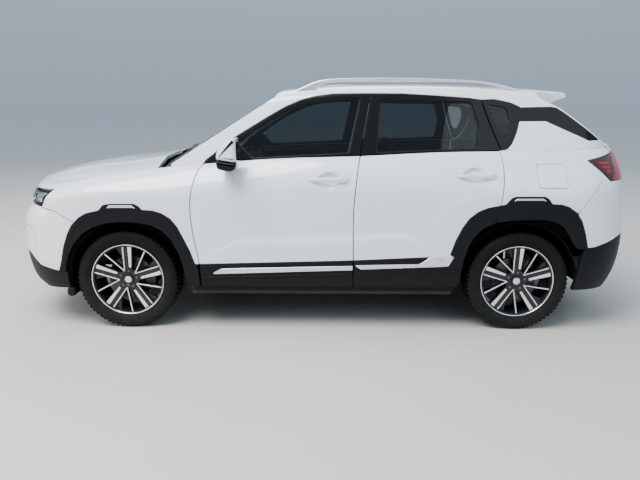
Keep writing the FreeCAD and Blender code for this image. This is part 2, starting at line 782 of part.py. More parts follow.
def quarter():
    """Rear quarter panel below the belt."""
    area = carried([
        (-1170.0, 1210.0), (-1172.0, 960.0, "arc"), (-1129.0, 742.0), (-1129.0, 600.0),
        (-1560.0, 600.0), (-1614.0, 772.0),
    ])
    area += TAIL_SEAM[::-1]
    area += carried([
        (-1880.0, 1060.0), (-2150.0, 1060.0), (-2150.0, 1300.0), (-1170.0, 1300.0),
    ])
    panel = rear_shell(0.0, WALL).common(side_prism(area))
    gate = box(-FAR, -10.0, 700.0, TAIL_INNER, size("tailgate_half") + GAP, 1400.0)
    panel = panel.cut(arch_hole(-AXLE, ARCH)).cut(gate)
    return panel.cut(side_prism(TAIL_LAMP, grow=3.0))


def upper_side():
    """Windscreen pillar, roof edge and rear pillar, with the door openings cut."""
    window_side = slab(WINDOW_GRID, 0.0, WALL)
    edge = slab(EDGE_GRID, 0.0, 38.0)
    ring = window_side.fuse(edge)
    ring = ring.cut([screen_cutter(0.0), rear_cutter(0.0)])
    gate = front_prism([
        (-1.0, 700.0), (size("tailgate_half") + GAP, 700.0), (size("tailgate_half") + GAP, 1228.0),
        (size("roof_half") + GAP, 1540.0), (size("roof_half") + GAP, 1800.0), (-1.0, 1800.0),
    ], -FAR, GATE_FRONT)
    opening = box(-FAR, 0.0, 900.0, station(300.0), size("roof_half"), 1800.0)
    ring = ring.cut([gate, opening])
    holes = [side_prism(FRONT_DOOR, grow=GAP), side_prism(REAR_DOOR, grow=GAP)]
    holes.append(side_prism(QUARTER_WINDOW, grow=1.0))
    return ring.cut(holes)


def body_side():
    """Whole painted body side: pillars, roof edge and quarter, with the centre post."""
    shell = upper_side()
    return solids(shell.fuse(quarter()).removeSplitter())


def roof():
    """Roof panel between the body sides."""
    rows = stations((-1500.0, -1300.0, -1000.0, -650.0, -300.0, 0.0, 250.0, 500.0))
    half = size("roof_half")
    cap = cap_slab(roof_height, rows, half - 1.0, 0.0, 30.0)
    header = cap_slab(roof_height, rows, half + 20.0, 12.0, 45.0).common(screen_cutter(18.0))
    cap = cap.cut([screen_cutter(0.0), header])
    return solids(cap.cut(box(-FAR, -900.0, 1300.0, GATE_FRONT, 900.0, 1800.0)))


def bonnet():
    """Bonnet panel, its edge along the top line of the fenders and the nose."""
    cap = cap_slab(bonnet_height, BONNET_STATIONS, 800.0, 0.0, 28.0)
    return solids(cap.common(bonnet_prism(GAP)))


def screen_band(near, far, points):
    """Band behind the windscreen's surface between two depths along X, trimmed in Y and Z."""
    band = screen_cutter(far).cut(screen_cutter(near))
    return solids(band.common(front_prism(points, station(-200.0), FAR)))


def rear_band(near, far, points):
    """Band ahead of the rear window's surface between two depths along X, trimmed in Y and Z."""
    band = rear_cutter(far).cut(rear_cutter(near))
    return solids(band.common(front_prism(points, -FAR, station(-1200.0))))


def tailgate_frame():
    """Band that carries the rear window, before its opening."""
    low = size("tailgate_half")
    high = size("roof_half") - 2.0
    return rear_band(2.0, 46.0, [(-low, 1225.0), (low, 1225.0), (high, 1540.0), (-high, 1540.0)])


def tailgate_shelf():
    """Narrow shelf between the tailgate's lower panel and the foot of the rear window."""
    half = size("tailgate_half")
    foot = REAR_BASE
    rows = stations((-2060.0, -2000.0, -1940.0, -1880.0, -1820.0))
    cap = cap_slab(lambda x, y: TAIL_TOP_HEIGHT + 0.14 * (x + HALF_LENGTH - TAIL_TOP_IN),
                   rows, half, 0.0, 34.0)
    tops = [line[-1] for line in TAIL_STATIONS]
    tail = Part.BSplineCurve()
    left = [VEC(point.x + 3.0, point.y, 1100.0) for point in tops]
    right = [VEC(point.x, -point.y, 1100.0) for point in left[-2::-1]]
    tail.interpolate(left + right)
    back = Part.makeLine(right[-1], left[0])
    plan = Part.Face(Part.Wire([tail.toShape(), back])).extrude(VEC(0, 0, 300.0))
    shelf = cap.common(plan).common(rear_cutter(46.0)).cut(rear_band(5.0, 15.0, REAR_GLASS))
    inset = half - 2.0 * GAP
    return shelf.common(box(-FAR, -inset, 1100.0, foot + 200.0, inset, 1400.0))


def tailgate():
    """Tailgate: lower panel with lamp recess, and the window frame above it."""
    half = size("tailgate_half")
    low = size("bumper_split")
    lower = rear_shell(0.0, 40.0).common(box(-FAR, 0.0, low + GAP, TAIL_INNER, half, 1400.0))
    lower = lower.cut(side_prism(TAIL_LAMP, low=430.0, grow=3.0))
    lower = both(lower)
    frame = tailgate_frame().cut(front_prism(REAR_GLASS, -FAR, station(-1200.0)))
    return solids(lower.fuse([tailgate_shelf(), frame]).removeSplitter())


REAR_GLASS = [(-560.0, 1252.0), (560.0, 1252.0), (500.0, 1500.0), (-500.0, 1500.0)]


def spoiler():
    """Roof spoiler over the rear window, on the tailgate."""
    half = 536.0
    front = GATE_FRONT - GAP
    profile = [(front, roof_height(front, 0.0) - 4.0)]
    profile += carried([(-1520.0, 1604.0, "arc"), (-1664.0, 1585.0), (-1669.0, 1562.0),
                        (-1560.0, 1500.0)])
    profile += [(front - 40.0, 1545.0), (front, 1545.0)]
    body = side_prism(profile, low=-half, high=half)
    rows = stations((-1700.0, -1600.0, -1500.0, -1400.0, -1300.0))
    cap = cap_slab(roof_height, rows, 600.0, 0.0, 160.0)
    return solids(body.common(cap).cut(tailgate_frame()))


FRONT_TRIM = carried_with_axle([
    (1752.0, 396.0), (1702.0, 590.0, "arc"), (1608.0, 738.0), (1525.0, 796.0), (1441.0, 816.0),
    (1412.0, 849.0), (1349.0, 858.0), (1208.0, 858.0), (1167.0, 820.0), (1093.0, 816.0),
    (978.0, 760.0), (896.0, 620.0, "arc"), (830.0, 440.0), (824.0, 300.0), (1300.0, 300.0),
    (1640.0, 396.0),
], DRAWN_AXLE)
REAR_TRIM = carried_with_axle([
    (-1129.0, 500.0), (-1129.0, 850.0), (-1174.0, 862.0), (-1210.0, 903.0), (-1261.0, 914.0),
    (-1421.0, 914.0), (-1452.0, 886.0), (-1472.0, 867.0), (-1580.0, 849.0),
    (-1677.0, 753.0, "arc"), (-1730.0, 600.0), (-1760.0, 560.0), (-1300.0, 500.0),
], -DRAWN_AXLE)
DOOR_ARCH_TRIM = carried_with_axle([
    (-1200.0, 852.0), (-1134.0, 852.0), (-949.0, 772.0, "arc"), (-812.0, 442.0), (-812.0, 400.0),
    (-1200.0, 400.0),
], -DRAWN_AXLE)


def front_trim():
    """Black cladding round the front arch."""
    ring = front_shell(-size("trim_proud"), -0.1).common(side_prism(FRONT_TRIM))
    return solids(ring.cut(arch_hole(AXLE, ARCH - 6.0)))


def rear_trim():
    """Black cladding round the rear arch, behind the door."""
    ring = rear_shell(-size("trim_proud"), -0.1).common(side_prism(REAR_TRIM))
    return solids(ring.cut([arch_hole(-AXLE, ARCH - 6.0), side_prism(REAR_DOOR, grow=GAP)]))


def rear_door_trim():
    """Black cladding on the rear door: its foot and its share of the arch."""
    proud = slab(SIDE_GRID, -size("trim_proud"), -0.1)
    arch_part = proud.common(side_prism(DOOR_ARCH_TRIM)).common(side_prism(REAR_DOOR))
    foot = slab(SIDE_GRID, -size("trim_proud"), size("skin_wall")).common(side_prism(REAR_DOOR))
    foot = foot.common(box(-AXLE - 100.0, 0.0, 200.0, AXLE, 1200.0, PAINT_LOW - 1.0))
    return solids(foot.fuse(arch_part).removeSplitter())


def rear_bumper():
    """Painted rear bumper, left and right halves joined."""
    area = [(-FAR, 1060.0)] + TAIL_PAINT_LOW
    area += [(TAIL_SEAM[1][0] - 5.0, TAIL_SEAM[1][1] - 4.0)]
    area += [(TAIL_SEAM[0][0] - 5.0, TAIL_SEAM[0][1] - 4.0),
             (station(-1880.0), 1054.0)]
    panel = rear_shell(0.0, 32.0).common(side_prism(area, low=0.0))
    gate = box(-FAR, -10.0, size("bumper_split"), TAIL_INNER, size("tailgate_half") + GAP, 1400.0)
    panel = panel.cut([arch_hole(-AXLE, ARCH), gate])
    return solids(both(panel.cut(side_prism(TAIL_LAMP, grow=3.0))))


def rear_lower():
    """Black lower rear bumper."""
    area = [(point[0], point[1] - 2.0) for point in TAIL_PAINT_LOW]
    area += [(station(-1640.0), 150.0), (-FAR, 150.0)]
    panel = rear_shell(0.0, 30.0).common(side_prism(area, low=0.0))
    return solids(both(panel.cut(arch_hole(-AXLE, ARCH))))


def tail_lamp(low, high):
    """Part of the left tail lamp between two distances from the centre plane."""
    lens = rear_shell(0.0, 45.0).common(side_prism(TAIL_LAMP))
    return lens.common(box(-FAR, low, 900.0, station(-1600.0), high, 1300.0))


def fuel_flap():
    """Fuel filler flap in the left quarter panel."""
    return solids(rear_shell(0.0, 8.0).common(side_prism(FUEL_FLAP)))


def centre_post():
    """Centre post behind the doors, from the sill to the roof edge."""
    points = [
        (812.0, 470.0), (812.0, 840.0), (700.0, 1090.0), (690.0, 1165.0), (578.0, 1530.0),
        (566.0, 1560.0), (543.0, 1520.0), (645.0, 1165.0), (765.0, 840.0), (765.0, 470.0),
    ]
    return front_prism(points, station(-300.0), station(-170.0))


def roof_rail():
    """Left roof rail, standing on the roof edge at its two ends."""
    foot = size("roof_crown") - 77.0
    outer = carried([
        (205.0, foot), (126.0, RAIL_TOP - 51.0), (-20.0, RAIL_TOP - 8.0, "arc"),
        (-252.0, RAIL_TOP), (-522.0, RAIL_TOP + 1.0, "arc"), (-900.0, RAIL_TOP - 9.0),
        (-1130.0, RAIL_TOP - 25.0, "arc"), (-1350.0, foot + 10.0), (-1210.0, foot + 10.0),
        (-1160.0, RAIL_TOP - 57.0), (-1008.0, RAIL_TOP - 30.0), (-500.0, RAIL_TOP - 25.0, "arc"),
        (-64.0, RAIL_TOP - 28.0), (20.0, RAIL_TOP - 52.0), (70.0, foot),
    ])
    bar = side_prism(outer, low=570.0, high=596.0)
    bar = bar.cut(slab(EDGE_GRID, 0.0, 38.0)).cut(slab(WINDOW_GRID, 0.0, WALL))
    pieces = sorted(bar.Solids, key=lambda item: item.Volume)
    return pieces[-1]


def mirror():
    """Left door mirror on its foot."""
    shell = side_prism(carried([
        (656.0, 1150.0), (640.0, 1210.0), (560.0, 1280.0), (530.0, 1278.0), (527.0, 1130.0),
        (556.0, 1080.0), (650.0, 1088.0),
    ]), low=862.0, high=size("mirror_reach"))
    shell = shell.makeFillet(16.0, [
        edge for edge in shell.Edges
        if abs(edge.BoundBox.YMax - edge.BoundBox.YMin) < 1.0 and edge.BoundBox.YMin > 1000.0
    ])
    foot = box(station(560.0), 740.0, 1092.0, station(636.0), 900.0, 1122.0)
    foot = foot.cut([slab(SIDE_GRID, -0.1, 90.0), slab(WINDOW_GRID, -0.1, 90.0)])
    pieces = sorted(foot.Solids, key=lambda item: item.BoundBox.YMax)
    return shell.fuse(pieces[-1]).removeSplitter()


COWL_STATIONS = stations((880.0, 950.0, 1020.0, 1080.0, 1150.0))


def cowl():
    """Black panel between the bonnet and the windscreen."""
    tray = cap_slab(bonnet_height, COWL_STATIONS, 760.0, 34.0, 50.0)
    tray = tray.cut(screen_cutter(-70.0))
    return solids(tray.common(box(station(900.0), -690.0, 900.0, BONNET_BACK - 8.0, 690.0, 1300.0)))


def revolve_y(points):
    """Solid turned about the Y axis from an outline in Y and radius."""
    wire = outline(points, lambda p: VEC(0.0, p[0], p[1]))
    return Part.Face(wire).revolve(VEC(0, 0, 0), VEC(0, 1, 0), 360.0)


def tyre():
    """Tyre about the Y axis."""
    half = size("tyre_width") / 2.0
    bead = size("bead_radius")
    lip = size("rim_lip_radius")
    tread = TYRE_RADIUS
    return revolve_y([
        (-half + 24.0, bead), (-half + 24.0, lip), (-half, lip + 40.0, "arc"),
        (-half + 16.0, tread - 10.0), (-half + 34.0, tread), (half - 34.0, tread),
        (half - 16.0, tread - 10.0), (half, lip + 40.0, "arc"), (half - 24.0, lip),
        (half - 24.0, bead),
    ])


SPOKE_COUNT = 5
LEG_ANGLE = 129.9
LEG_SPREAD = 34.0
BAR_OFFSET = 45.0


def spoke(angle, start, end, width_in, width_out, low, high):
    """Tapered spoke from one radius to another, at an angle seen from outside."""
    turn = math.radians(angle)
    ray = VEC(-math.cos(turn), 0, math.sin(turn))
    side = VEC(math.sin(turn), 0, math.cos(turn))
    corners = [
        ray * start + side * (width_in / 2.0), ray * end + side * (width_out / 2.0),
        ray * end - side * (width_out / 2.0), ray * start - side * (width_in / 2.0),
    ]
    wire = Part.makePolygon([VEC(p.x, low, p.z) for p in corners + corners[:1]])
    return Part.Face(wire).extrude(VEC(0, high - low, 0))


def rim():
    """Wheel with spokes, hub and brake disc about the Y axis, outside towards +Y."""
    bead = size("bead_radius")
    lip = size("rim_lip_radius")
    half = size("rim_width") / 2.0
    wall = size("rim_wall")
    barrel = revolve_y([
        (-half, lip), (-half, bead - wall), (half, bead - wall), (half, lip), (half - 10.0, lip),
        (half - 11.0, bead), (-half + 11.0, bead), (-half + 10.0, lip),
    ])
    hub = revolve_y([
        (-6.0, 0.0), (-6.0, 62.0), (30.0, 62.0), (30.0, size("hub_radius")),
        (66.0, size("hub_radius")), (72.0, 50.0), (72.0, 0.0),
    ])
    disc = revolve_y([(-6.0, 40.0), (-6.0, size("disc_radius")), (18.0, size("disc_radius")),
                      (18.0, 40.0)])
    pieces = [barrel, disc]
    for turn in range(SPOKE_COUNT):
        first = LEG_ANGLE - turn * 360.0 / SPOKE_COUNT
        pieces.append(spoke(first, 60.0, bead - 4.0, 14.0, 13.0, 52.0, 84.0))
        pieces.append(spoke(first - LEG_SPREAD, 60.0, bead - 4.0, 14.0, 13.0, 52.0, 84.0))
        pieces.append(spoke(first - BAR_OFFSET, 66.0, bead - 4.0, 22.0, 30.0, 50.0, 82.0))
    whole = hub.fuse(pieces)
    lug = size("lug_circle") / 2.0
    for turn in range(SPOKE_COUNT):
        angle = math.radians(LEG_ANGLE - 17.0 - turn * 360.0 / SPOKE_COUNT)
        whole = whole.cut(rod(-lug * math.cos(angle), 20.0, lug * math.sin(angle),
                              size("lug_hole_radius"), 80.0, VEC(0, 1, 0)))
    return solids(whole.removeSplitter())


def knuckle():
    """Steered upright with its caliper, about the wheel centre, outside towards +Y."""
    carrier = rod(0.0, -104.0, 0.0, 52.0, 90.0, VEC(0, 1, 0))
    upright = box(-24.0, -118.0, -140.0, 24.0, -92.0, 74.0)
    arm = box(-150.0, -118.0, -60.0, -20.0, -98.0, -30.0)
    caliper = revolve_y([(-34.0, 96.0), (-34.0, 172.0), (38.0, 172.0), (38.0, 110.0),
                         (26.0, 110.0), (26.0, 158.0), (-14.0, 158.0), (-14.0, 96.0)])
    caliper = caliper.common(box(-175.0, -50.0, -70.0, -40.0, 50.0, 70.0))
    bridge = box(-120.0, -98.0, -40.0, -40.0, -26.0, 40.0)
    return solids(carrier.fuse([upright, arm, caliper, bridge]).removeSplitter())


def front_suspension():
    """Subframe with its lower arms, and the two struts."""
    frame = box(AXLE - 140.0, -340.0, 210.0, AXLE + 140.0, 340.0, 250.0)
    arms = []
    for side in (1.0, -1.0):
        wire = Part.makePolygon([
            VEC(AXLE - 100.0, side * 320.0, 200.0), VEC(AXLE + 100.0, side * 320.0, 200.0),
            VEC(AXLE + 25.0, side * 640.0, 200.0), VEC(AXLE - 25.0, side * 640.0, 200.0),
            VEC(AXLE - 100.0, side * 320.0, 200.0),
        ])
        arms.append(Part.Face(wire).extrude(VEC(0, 0, 24.0)))
        low, high = sorted((side * 320.0, side * 476.0))
        arms.append(box(AXLE - 120.0, low, 226.0, AXLE + 120.0, high, 250.0))
        low, high = sorted((side * 450.0, side * 476.0))
        arms.append(box(AXLE - 120.0, low, 240.0, AXLE + 120.0, high, 380.0))
    whole = frame.fuse(arms).removeSplitter()
    struts = []
    for side in (1.0, -1.0):
        base = VEC(AXLE, side * 624.0, 424.0)
        top = VEC(AXLE, side * 590.0, 895.0)
        run = top - base
        tube = Part.makeCylinder(22.0, run.Length, base, run)
        seat = base + run * 0.58
        spring = Part.makeCylinder(58.0, run.Length * 0.42, seat, run)
        struts.append(tube.fuse(spring).removeSplitter())
    return Part.makeCompound([whole] + struts)


ACROSS = FreeCAD.Rotation(VEC(0, 0, 1), VEC(0, 1, 0))
LENGTHWISE = FreeCAD.Rotation(VEC(0, 0, 1), VEC(-1, 0, 0))
REAR_AXLE_X = "-Sizes.wheelbase / 2"


def rear_axle():
    """Torsion beam with trailing arms, hub carriers, springs and dampers."""
    pieces = [primitive("Cylinder", "TorsionBeam", {
        "Radius": "Sizes.beam_radius", "Height": "2 * Sizes.beam_half",
        **placed(REAR_AXLE_X + " + Sizes.beam_ahead", "-Sizes.beam_half", "Sizes.beam_height"),
    }, ACROSS)]
    for hand, sign in (("Left", 1), ("Right", -1)):
        inner = "Sizes.arm_inner" if sign > 0 else "-Sizes.arm_inner - Sizes.arm_width"
        pieces.append(primitive("Box", "TrailingArm" + hand, {
            "Length": "Sizes.arm_length", "Width": "Sizes.arm_width", "Height": "Sizes.arm_depth",
            **placed(REAR_AXLE_X + " - 30", inner, "Sizes.beam_height - 30"),
        }))
        outboard = FreeCAD.Rotation(VEC(0, 0, 1), VEC(0, sign, 0))
        pieces.append(primitive("Cylinder", "HubCarrier" + hand, {
            "Radius": "Sizes.stub_radius", "Height": "Sizes.stub_length",
            **placed(REAR_AXLE_X, "%d * Sizes.beam_half" % sign, "Sizes.tyre_radius"),
        }, outboard))
        spring_y = "%d * (Sizes.beam_half - 40)" % sign
        pieces.append(primitive("Cylinder", "RearSpring" + hand, {
            "Radius": "Sizes.spring_radius", "Height": "Sizes.spring_length",
            **placed(REAR_AXLE_X + " + 50", spring_y, "Sizes.beam_height + 20"),
        }))
        pieces.append(primitive("Cylinder", "SpringSeat" + hand, {
            "Radius": "Sizes.spring_seat_radius", "Height": "Sizes.spring_length / 7",
            **placed(REAR_AXLE_X + " + 50", spring_y, "Sizes.beam_height"),
        }))
        pieces.append(primitive("Cylinder", "RearDamper" + hand, {
            "Radius": "Sizes.damper_radius", "Height": "Sizes.damper_length",
            **placed(REAR_AXLE_X + " - 90", "%d * (Sizes.beam_half + 15)" % sign,
                     "Sizes.beam_height - 30"),
        }, FreeCAD.Rotation(VEC(0, 0, 1), VEC(0.06, 0, 1))))
        foot_y = "Sizes.beam_half - 15" if sign > 0 else "-Sizes.beam_half - 40"
        pieces.append(primitive("Box", "DamperFoot" + hand, {
            "Length": "Sizes.arm_length / 4", "Width": "55", "Height": "Sizes.arm_depth - 12",
            **placed(REAR_AXLE_X + " - 110", foot_y, "Sizes.beam_height - 30"),
        }))
    return joined("rear_axle", pieces)


FRONT_LINER_IN = 486.0
REAR_LINER_IN = 634.0


def liner_space(station, y_low, grow=0.0):
    """Upper half of the round space that one wheel liner fills, left side."""
    space = rod(station, y_low, AXLE_HEIGHT, ARCH - 0.5 + grow, 862.0 - y_low, VEC(0, 1, 0))
    return space.common(box(station - 600.0, 0.0, AXLE_HEIGHT, station + 600.0, 1200.0, 1200.0))


def wheel_liner(station, y_low):
    """Black liner over one wheel, closed towards the middle of the vehicle."""
    ring = liner_space(station, y_low)
    ring = ring.cut(rod(station, y_low + 6.0, AXLE_HEIGHT, ARCH - 6.5, 900.0, VEC(0, 1, 0)))
    return ring.cut(rod(station, y_low - 10.0, AXLE_HEIGHT, 190.0, 40.0, VEC(0, 1, 0)))


def wheel_liners():
    """All four wheel liners, the front ones open for the struts."""
    front = wheel_liner(AXLE, FRONT_LINER_IN)
    front = front.cut(rod(AXLE, 628.0, 420.0, 66.0, 480.0, VEC(0, -0.08, 1)))
    left = [front, wheel_liner(-AXLE, REAR_LINER_IN)]
    return Part.makeCompound(left + [mirrored(item) for item in left])


def underbody():
    """Floor pan with sills, boot floor, firewall, inner aprons and radiator support."""
    top = size("floor_height")
    floor = box(station(-900.0), -720.0, top - size("floor_wall"), station(940.0), 720.0, top)
    boot_front = station(-900.0)
    nose_rows = (station(1890.0), station(1930.0))
    wall_rows = (station(930.0), station(950.0))
    pieces = [
        box(boot_front - 30.0, -610.0, top - size("floor_wall"), boot_front, 610.0, 590.0),
        box(station(-2050.0), -610.0, 560.0, boot_front, 610.0, 590.0),
        front_prism([(-740.0, 236.0), (740.0, 236.0), (740.0, 1000.0), (690.0, 1048.0),
                     (0.0, 1100.5, "arc"), (-690.0, 1048.0), (-740.0, 1000.0)], *wall_rows),
        box(nose_rows[0], -470.0, 330.0, nose_rows[1], 470.0, 380.0),
        box(nose_rows[0], -470.0, 860.0, nose_rows[1], 470.0, 900.0),
    ]
    for side in (1.0, -1.0):
        low, high = sorted((side * 715.0, side * 850.0))
        pieces.append(box(station(-870.0), low, 240.0, station(870.0), high, 470.0))
        low, high = sorted((side * 450.0, side * 476.0))
        pieces.append(box(station(940.0), low, 380.0, nose_rows[1], high, 900.0))
        low, high = sorted((side * 470.0, side * 660.0))
        pieces.append(box(AXLE - 90.0, low, 900.0, AXLE + 90.0, high, 930.0))
        pieces.append(box(AXLE - 110.0, low, 756.0, AXLE - 92.0, high, 930.0))
        pieces.append(box(AXLE + 92.0, low, 756.0, AXLE + 110.0, high, 930.0))
    space = liner_space(AXLE, FRONT_LINER_IN, 1.0)
    under_cowl = cap_slab(bonnet_height, COWL_STATIONS, 760.0, 34.0, 120.0)
    swing = box(AXLE - ARCH - 4.0, 480.0, 200.0, AXLE + ARCH, 900.0, AXLE_HEIGHT + 0.5)
    whole = floor.fuse(pieces).cut([space, mirrored(space), under_cowl, swing, mirrored(swing)])
    return solids(whole.removeSplitter())


def seats():
    """Two front seats and the rear bench."""
    pieces = []
    for centre in (370.0, -370.0):
        cushion = side_prism([(180.0, 300.0), (200.0, 520.0), (-280.0, 480.0), (-280.0, 300.0)],
                             low=centre - 245.0, high=centre + 245.0)
        back = side_prism([(-200.0, 440.0), (-330.0, 440.0), (-540.0, 1040.0), (-440.0, 1070.0)],
                          low=centre - 235.0, high=centre + 235.0)
        head = side_prism([(-455.0, 1050.0), (-530.0, 1020.0), (-600.0, 1210.0), (-500.0, 1230.0)],
                          low=centre - 120.0, high=centre + 120.0)
        feet = box(-230.0, centre - 180.0, top_of_floor(), 120.0, centre + 180.0, 310.0)
        pieces.append(cushion.fuse([back, head, feet]).removeSplitter())
    cushion = side_prism([(-560.0, top_of_floor()), (-560.0, 540.0), (-895.0, 500.0),
                          (-895.0, top_of_floor())], low=-610.0, high=610.0)
    back = side_prism([(-880.0, 500.0), (-895.0, 592.0), (-1080.0, 592.0), (-1190.0, 1080.0),
                       (-1090.0, 1100.0), (-860.0, 520.0)], low=-600.0, high=600.0)
    bench = cushion.fuse(back)
    for centre in (-400.0, 0.0, 400.0):
        bench = bench.fuse(side_prism(
            [(-1100.0, 1080.0), (-1180.0, 1060.0), (-1225.0, 1200.0), (-1140.0, 1215.0)],
            low=centre - 110.0, high=centre + 110.0))
    pieces.append(bench.removeSplitter())
    return Part.makeCompound(pieces)


def top_of_floor():
    """Height of the floor pan's upper face."""
    return size("floor_height")


STEER_HUB = VEC(412.0, 370.0, 993.0)
STEER_AXIS = VEC(-0.92, 0, 0.39)


def dashboard():
    """Dashboard with the steering column."""
    body = side_prism([
        (930.0, 1030.0), (700.0, 1060.0), (560.0, 1040.0, "arc"), (520.0, 960.0), (600.0, 800.0),
        (760.0, 700.0), (930.0, 700.0),
    ], low=-680.0, high=680.0)
    column = Part.makeCylinder(size("column_radius"), size("column_length"),
                               STEER_HUB + VEC(148.0, 0, -63.0), STEER_AXIS)
    return solids(body.fuse(column).removeSplitter())


def steering_wheel():
    """Steering wheel: ring, three spokes and the pad."""
    tilt = FreeCAD.Rotation(VEC(0, 0, 1), STEER_AXIS)
    centre = STEER_HUB + STEER_AXIS * 34.0
    ring = primitive("Torus", "WheelRing", {
        "Radius1": "Sizes.wheel_ring_radius", "Radius2": "Sizes.grip_radius",
    })
    ring.Placement = FreeCAD.Placement(centre, tilt)
    pad = primitive("Cylinder", "WheelPad", {
        "Radius": "Sizes.pad_radius", "Height": "Sizes.pad_depth",
    })
    pad.Placement = FreeCAD.Placement(centre - STEER_AXIS * 24.0, tilt)
    pieces = [ring, pad]
    for number, angle in enumerate((0.0, 90.0, 180.0)):
        bar = primitive("Box", "WheelSpoke%d" % number, {
            "Length": "Sizes.wheel_ring_radius - 34", "Width": "32", "Height": "16",
        })
        turn = tilt.multiply(FreeCAD.Rotation(VEC(0, 0, 1), angle))
        bar.Placement = FreeCAD.Placement(centre + turn.multVec(VEC(30.0, -16.0, -12.0)), turn)
        pieces.append(bar)
    return joined("steering_wheel", pieces)


def engine():
    """Engine and gearbox as one block."""
    block = primitive("Box", "EngineBlock", {
        "Length": "Sizes.engine_length", "Width": "Sizes.engine_width",
        "Height": "Sizes.engine_height",
        **placed("Sizes.wheelbase / 2 - Sizes.engine_behind", "-Sizes.engine_width / 2",
                 "Sizes.engine_floor"),
    })
    DOC.recompute()
    soft = DOC.addObject("Part::Fillet", "engine")
    soft.Base = block
    soft.Edges = [(number, 30.0, 30.0) for number in range(1, 13)]
    soft.Label = "engine"
    SUBPARTS.append(soft)


def cooling_pack():
    """Radiator and fan behind the grille."""
    ahead = "Sizes.radiator_share * (Sizes.body_length - Sizes.wheelbase) / 2"
    pack = primitive("Box", "cooling_pack", {
        "Length": "Sizes.radiator_depth", "Width": "Sizes.radiator_width",
        "Height": "Sizes.radiator_height",
        **placed("Sizes.wheelbase / 2 + " + ahead, "-Sizes.radiator_width / 2",
                 "Sizes.radiator_floor"),
    })
    pack.Label = "cooling_pack"
    SUBPARTS.append(pack)


def exhaust():
    """Exhaust pipe with its silencer and hangers."""
    tail = "(Sizes.wheelbase - Sizes.body_length) / 2 * 0.76"
    front = "Sizes.wheelbase / 2 - 300"
    pipe = primitive("Cylinder", "ExhaustPipe", {
        "Radius": "Sizes.pipe_radius", "Height": "Sizes.wheelbase - 160",
        **placed(front, "Sizes.pipe_side", "Sizes.pipe_height"),
    }, LENGTHWISE)
    silencer = primitive("Box", "Silencer", {
        "Length": "Sizes.silencer_length", "Width": "Sizes.silencer_width",
        "Height": "Sizes.silencer_height",
        **placed(REAR_AXLE_X + " + " + tail, "-100", "Sizes.pipe_height + 45"),
    })
    link = primitive("Cylinder", "ExhaustLink", {
        "Radius": "Sizes.pipe_radius", "Height": "165",
        **placed(REAR_AXLE_X + " - 120", "Sizes.pipe_side", "Sizes.pipe_height"),
    }, FreeCAD.Rotation(VEC(0, 0, 1), VEC(-0.85, 0.0, 0.52)))
    pieces = [pipe, silencer, link]
    for number, place in enumerate((600, -100, -700)):
        pieces.append(primitive("Box", "PipeHanger%d" % number, {
            "Length": "30", "Width": "16", "Height": "11",
            **placed("Sizes.wheelbase / 2600 * %d" % place, "Sizes.pipe_side - 8",
                     "Sizes.floor_height - Sizes.floor_wall - 11"),
        }))
    for number, back in enumerate((360, 80)):
        pieces.append(primitive("Box", "SilencerHanger%d" % number, {
            "Length": "20", "Width": "16", "Height": "170",
            **placed(REAR_AXLE_X + " + " + tail + " + %d" % back, "152", "390"),
        }))
    return joined("exhaust", pieces)


def pair(name, left):
    """Keeps a left sub-part and its mirror image."""
    keep(name + "_left", left)
    keep(name + "_right", mirrored(left))


pair("door_front", door_body(FRONT_DOOR, FRONT_WINDOW))
pair("door_rear", door_body(REAR_DOOR, REAR_WINDOW))
pair("door_trim_front", door_trim(FRONT_DOOR))
pair("door_trim_rear", rear_door_trim())
pair("glass_front", window_glass(FRONT_WINDOW))
pair("glass_rear", window_glass(REAR_WINDOW))
pair("mirror", mirror())
pair("fender", fender())
side = body_side().fuse(centre_post()).cut([fender(), BONNET_SPACE, roof()]).removeSplitter()
flap_hole = side_prism(FUEL_FLAP, grow=GAP).common(rear_shell(-20.0, 14.0))
keep("body_side_left", solids(side.cut(flap_hole)))
keep("body_side_right", mirrored(side))
keep("fuel_flap", fuel_flap())
keep("bumper_front", front_bumper())
keep("bumper_front_lower", front_lower())
lamp = headlamp()
keep("headlamps", Part.makeCompound([lamp, mirrored(lamp)]))
keep("grille", grille())
keep("bumper_rear", rear_bumper())
keep("bumper_rear_lower", rear_lower())
lamp = tail_lamp(size("tailgate_half") + GAP, 1100.0)
keep("tail_lamps", Part.makeCompound([lamp, mirrored(lamp)]))
lamp = tail_lamp(433.0, size("tailgate_half"))
keep("tailgate_lamps", Part.makeCompound([lamp, mirrored(lamp)]))
trims = [front_trim(), rear_trim()]
keep("arch_trims", Part.makeCompound(trims + [mirrored(item) for item in trims]))
keep("roof", roof())
rail = roof_rail()
keep("roof_rails", Part.makeCompound([rail, mirrored(rail)]))
keep("bonnet", bonnet())
keep("cowl", cowl())
screen = screen_band(4.0, 14.0, [(-690.0, 1150.0), (690.0, 1150.0), (560.0, 1590.0), (-560.0, 1590.0)])
keep("windscreen", solids(screen.cut([roof(), side, mirrored(side)])))
pane = window_glass(QUARTER_WINDOW)
keep("quarter_glass", Part.makeCompound([pane, mirrored(pane)]))
keep("tailgate", tailgate())
keep("tailgate_glass", rear_band(6.0, 14.0, REAR_GLASS))
keep("spoiler", spoiler())
keep("wheel_liners", wheel_liners())
keep("underbody", underbody())
engine()
cooling_pack()
keep("front_suspension", front_suspension())
rear_axle()
exhaust()
keep("seats", seats())
keep("dashboard", dashboard())
steering_wheel()
TYRE = tyre()
RIM = rim()
KNUCKLE = knuckle()
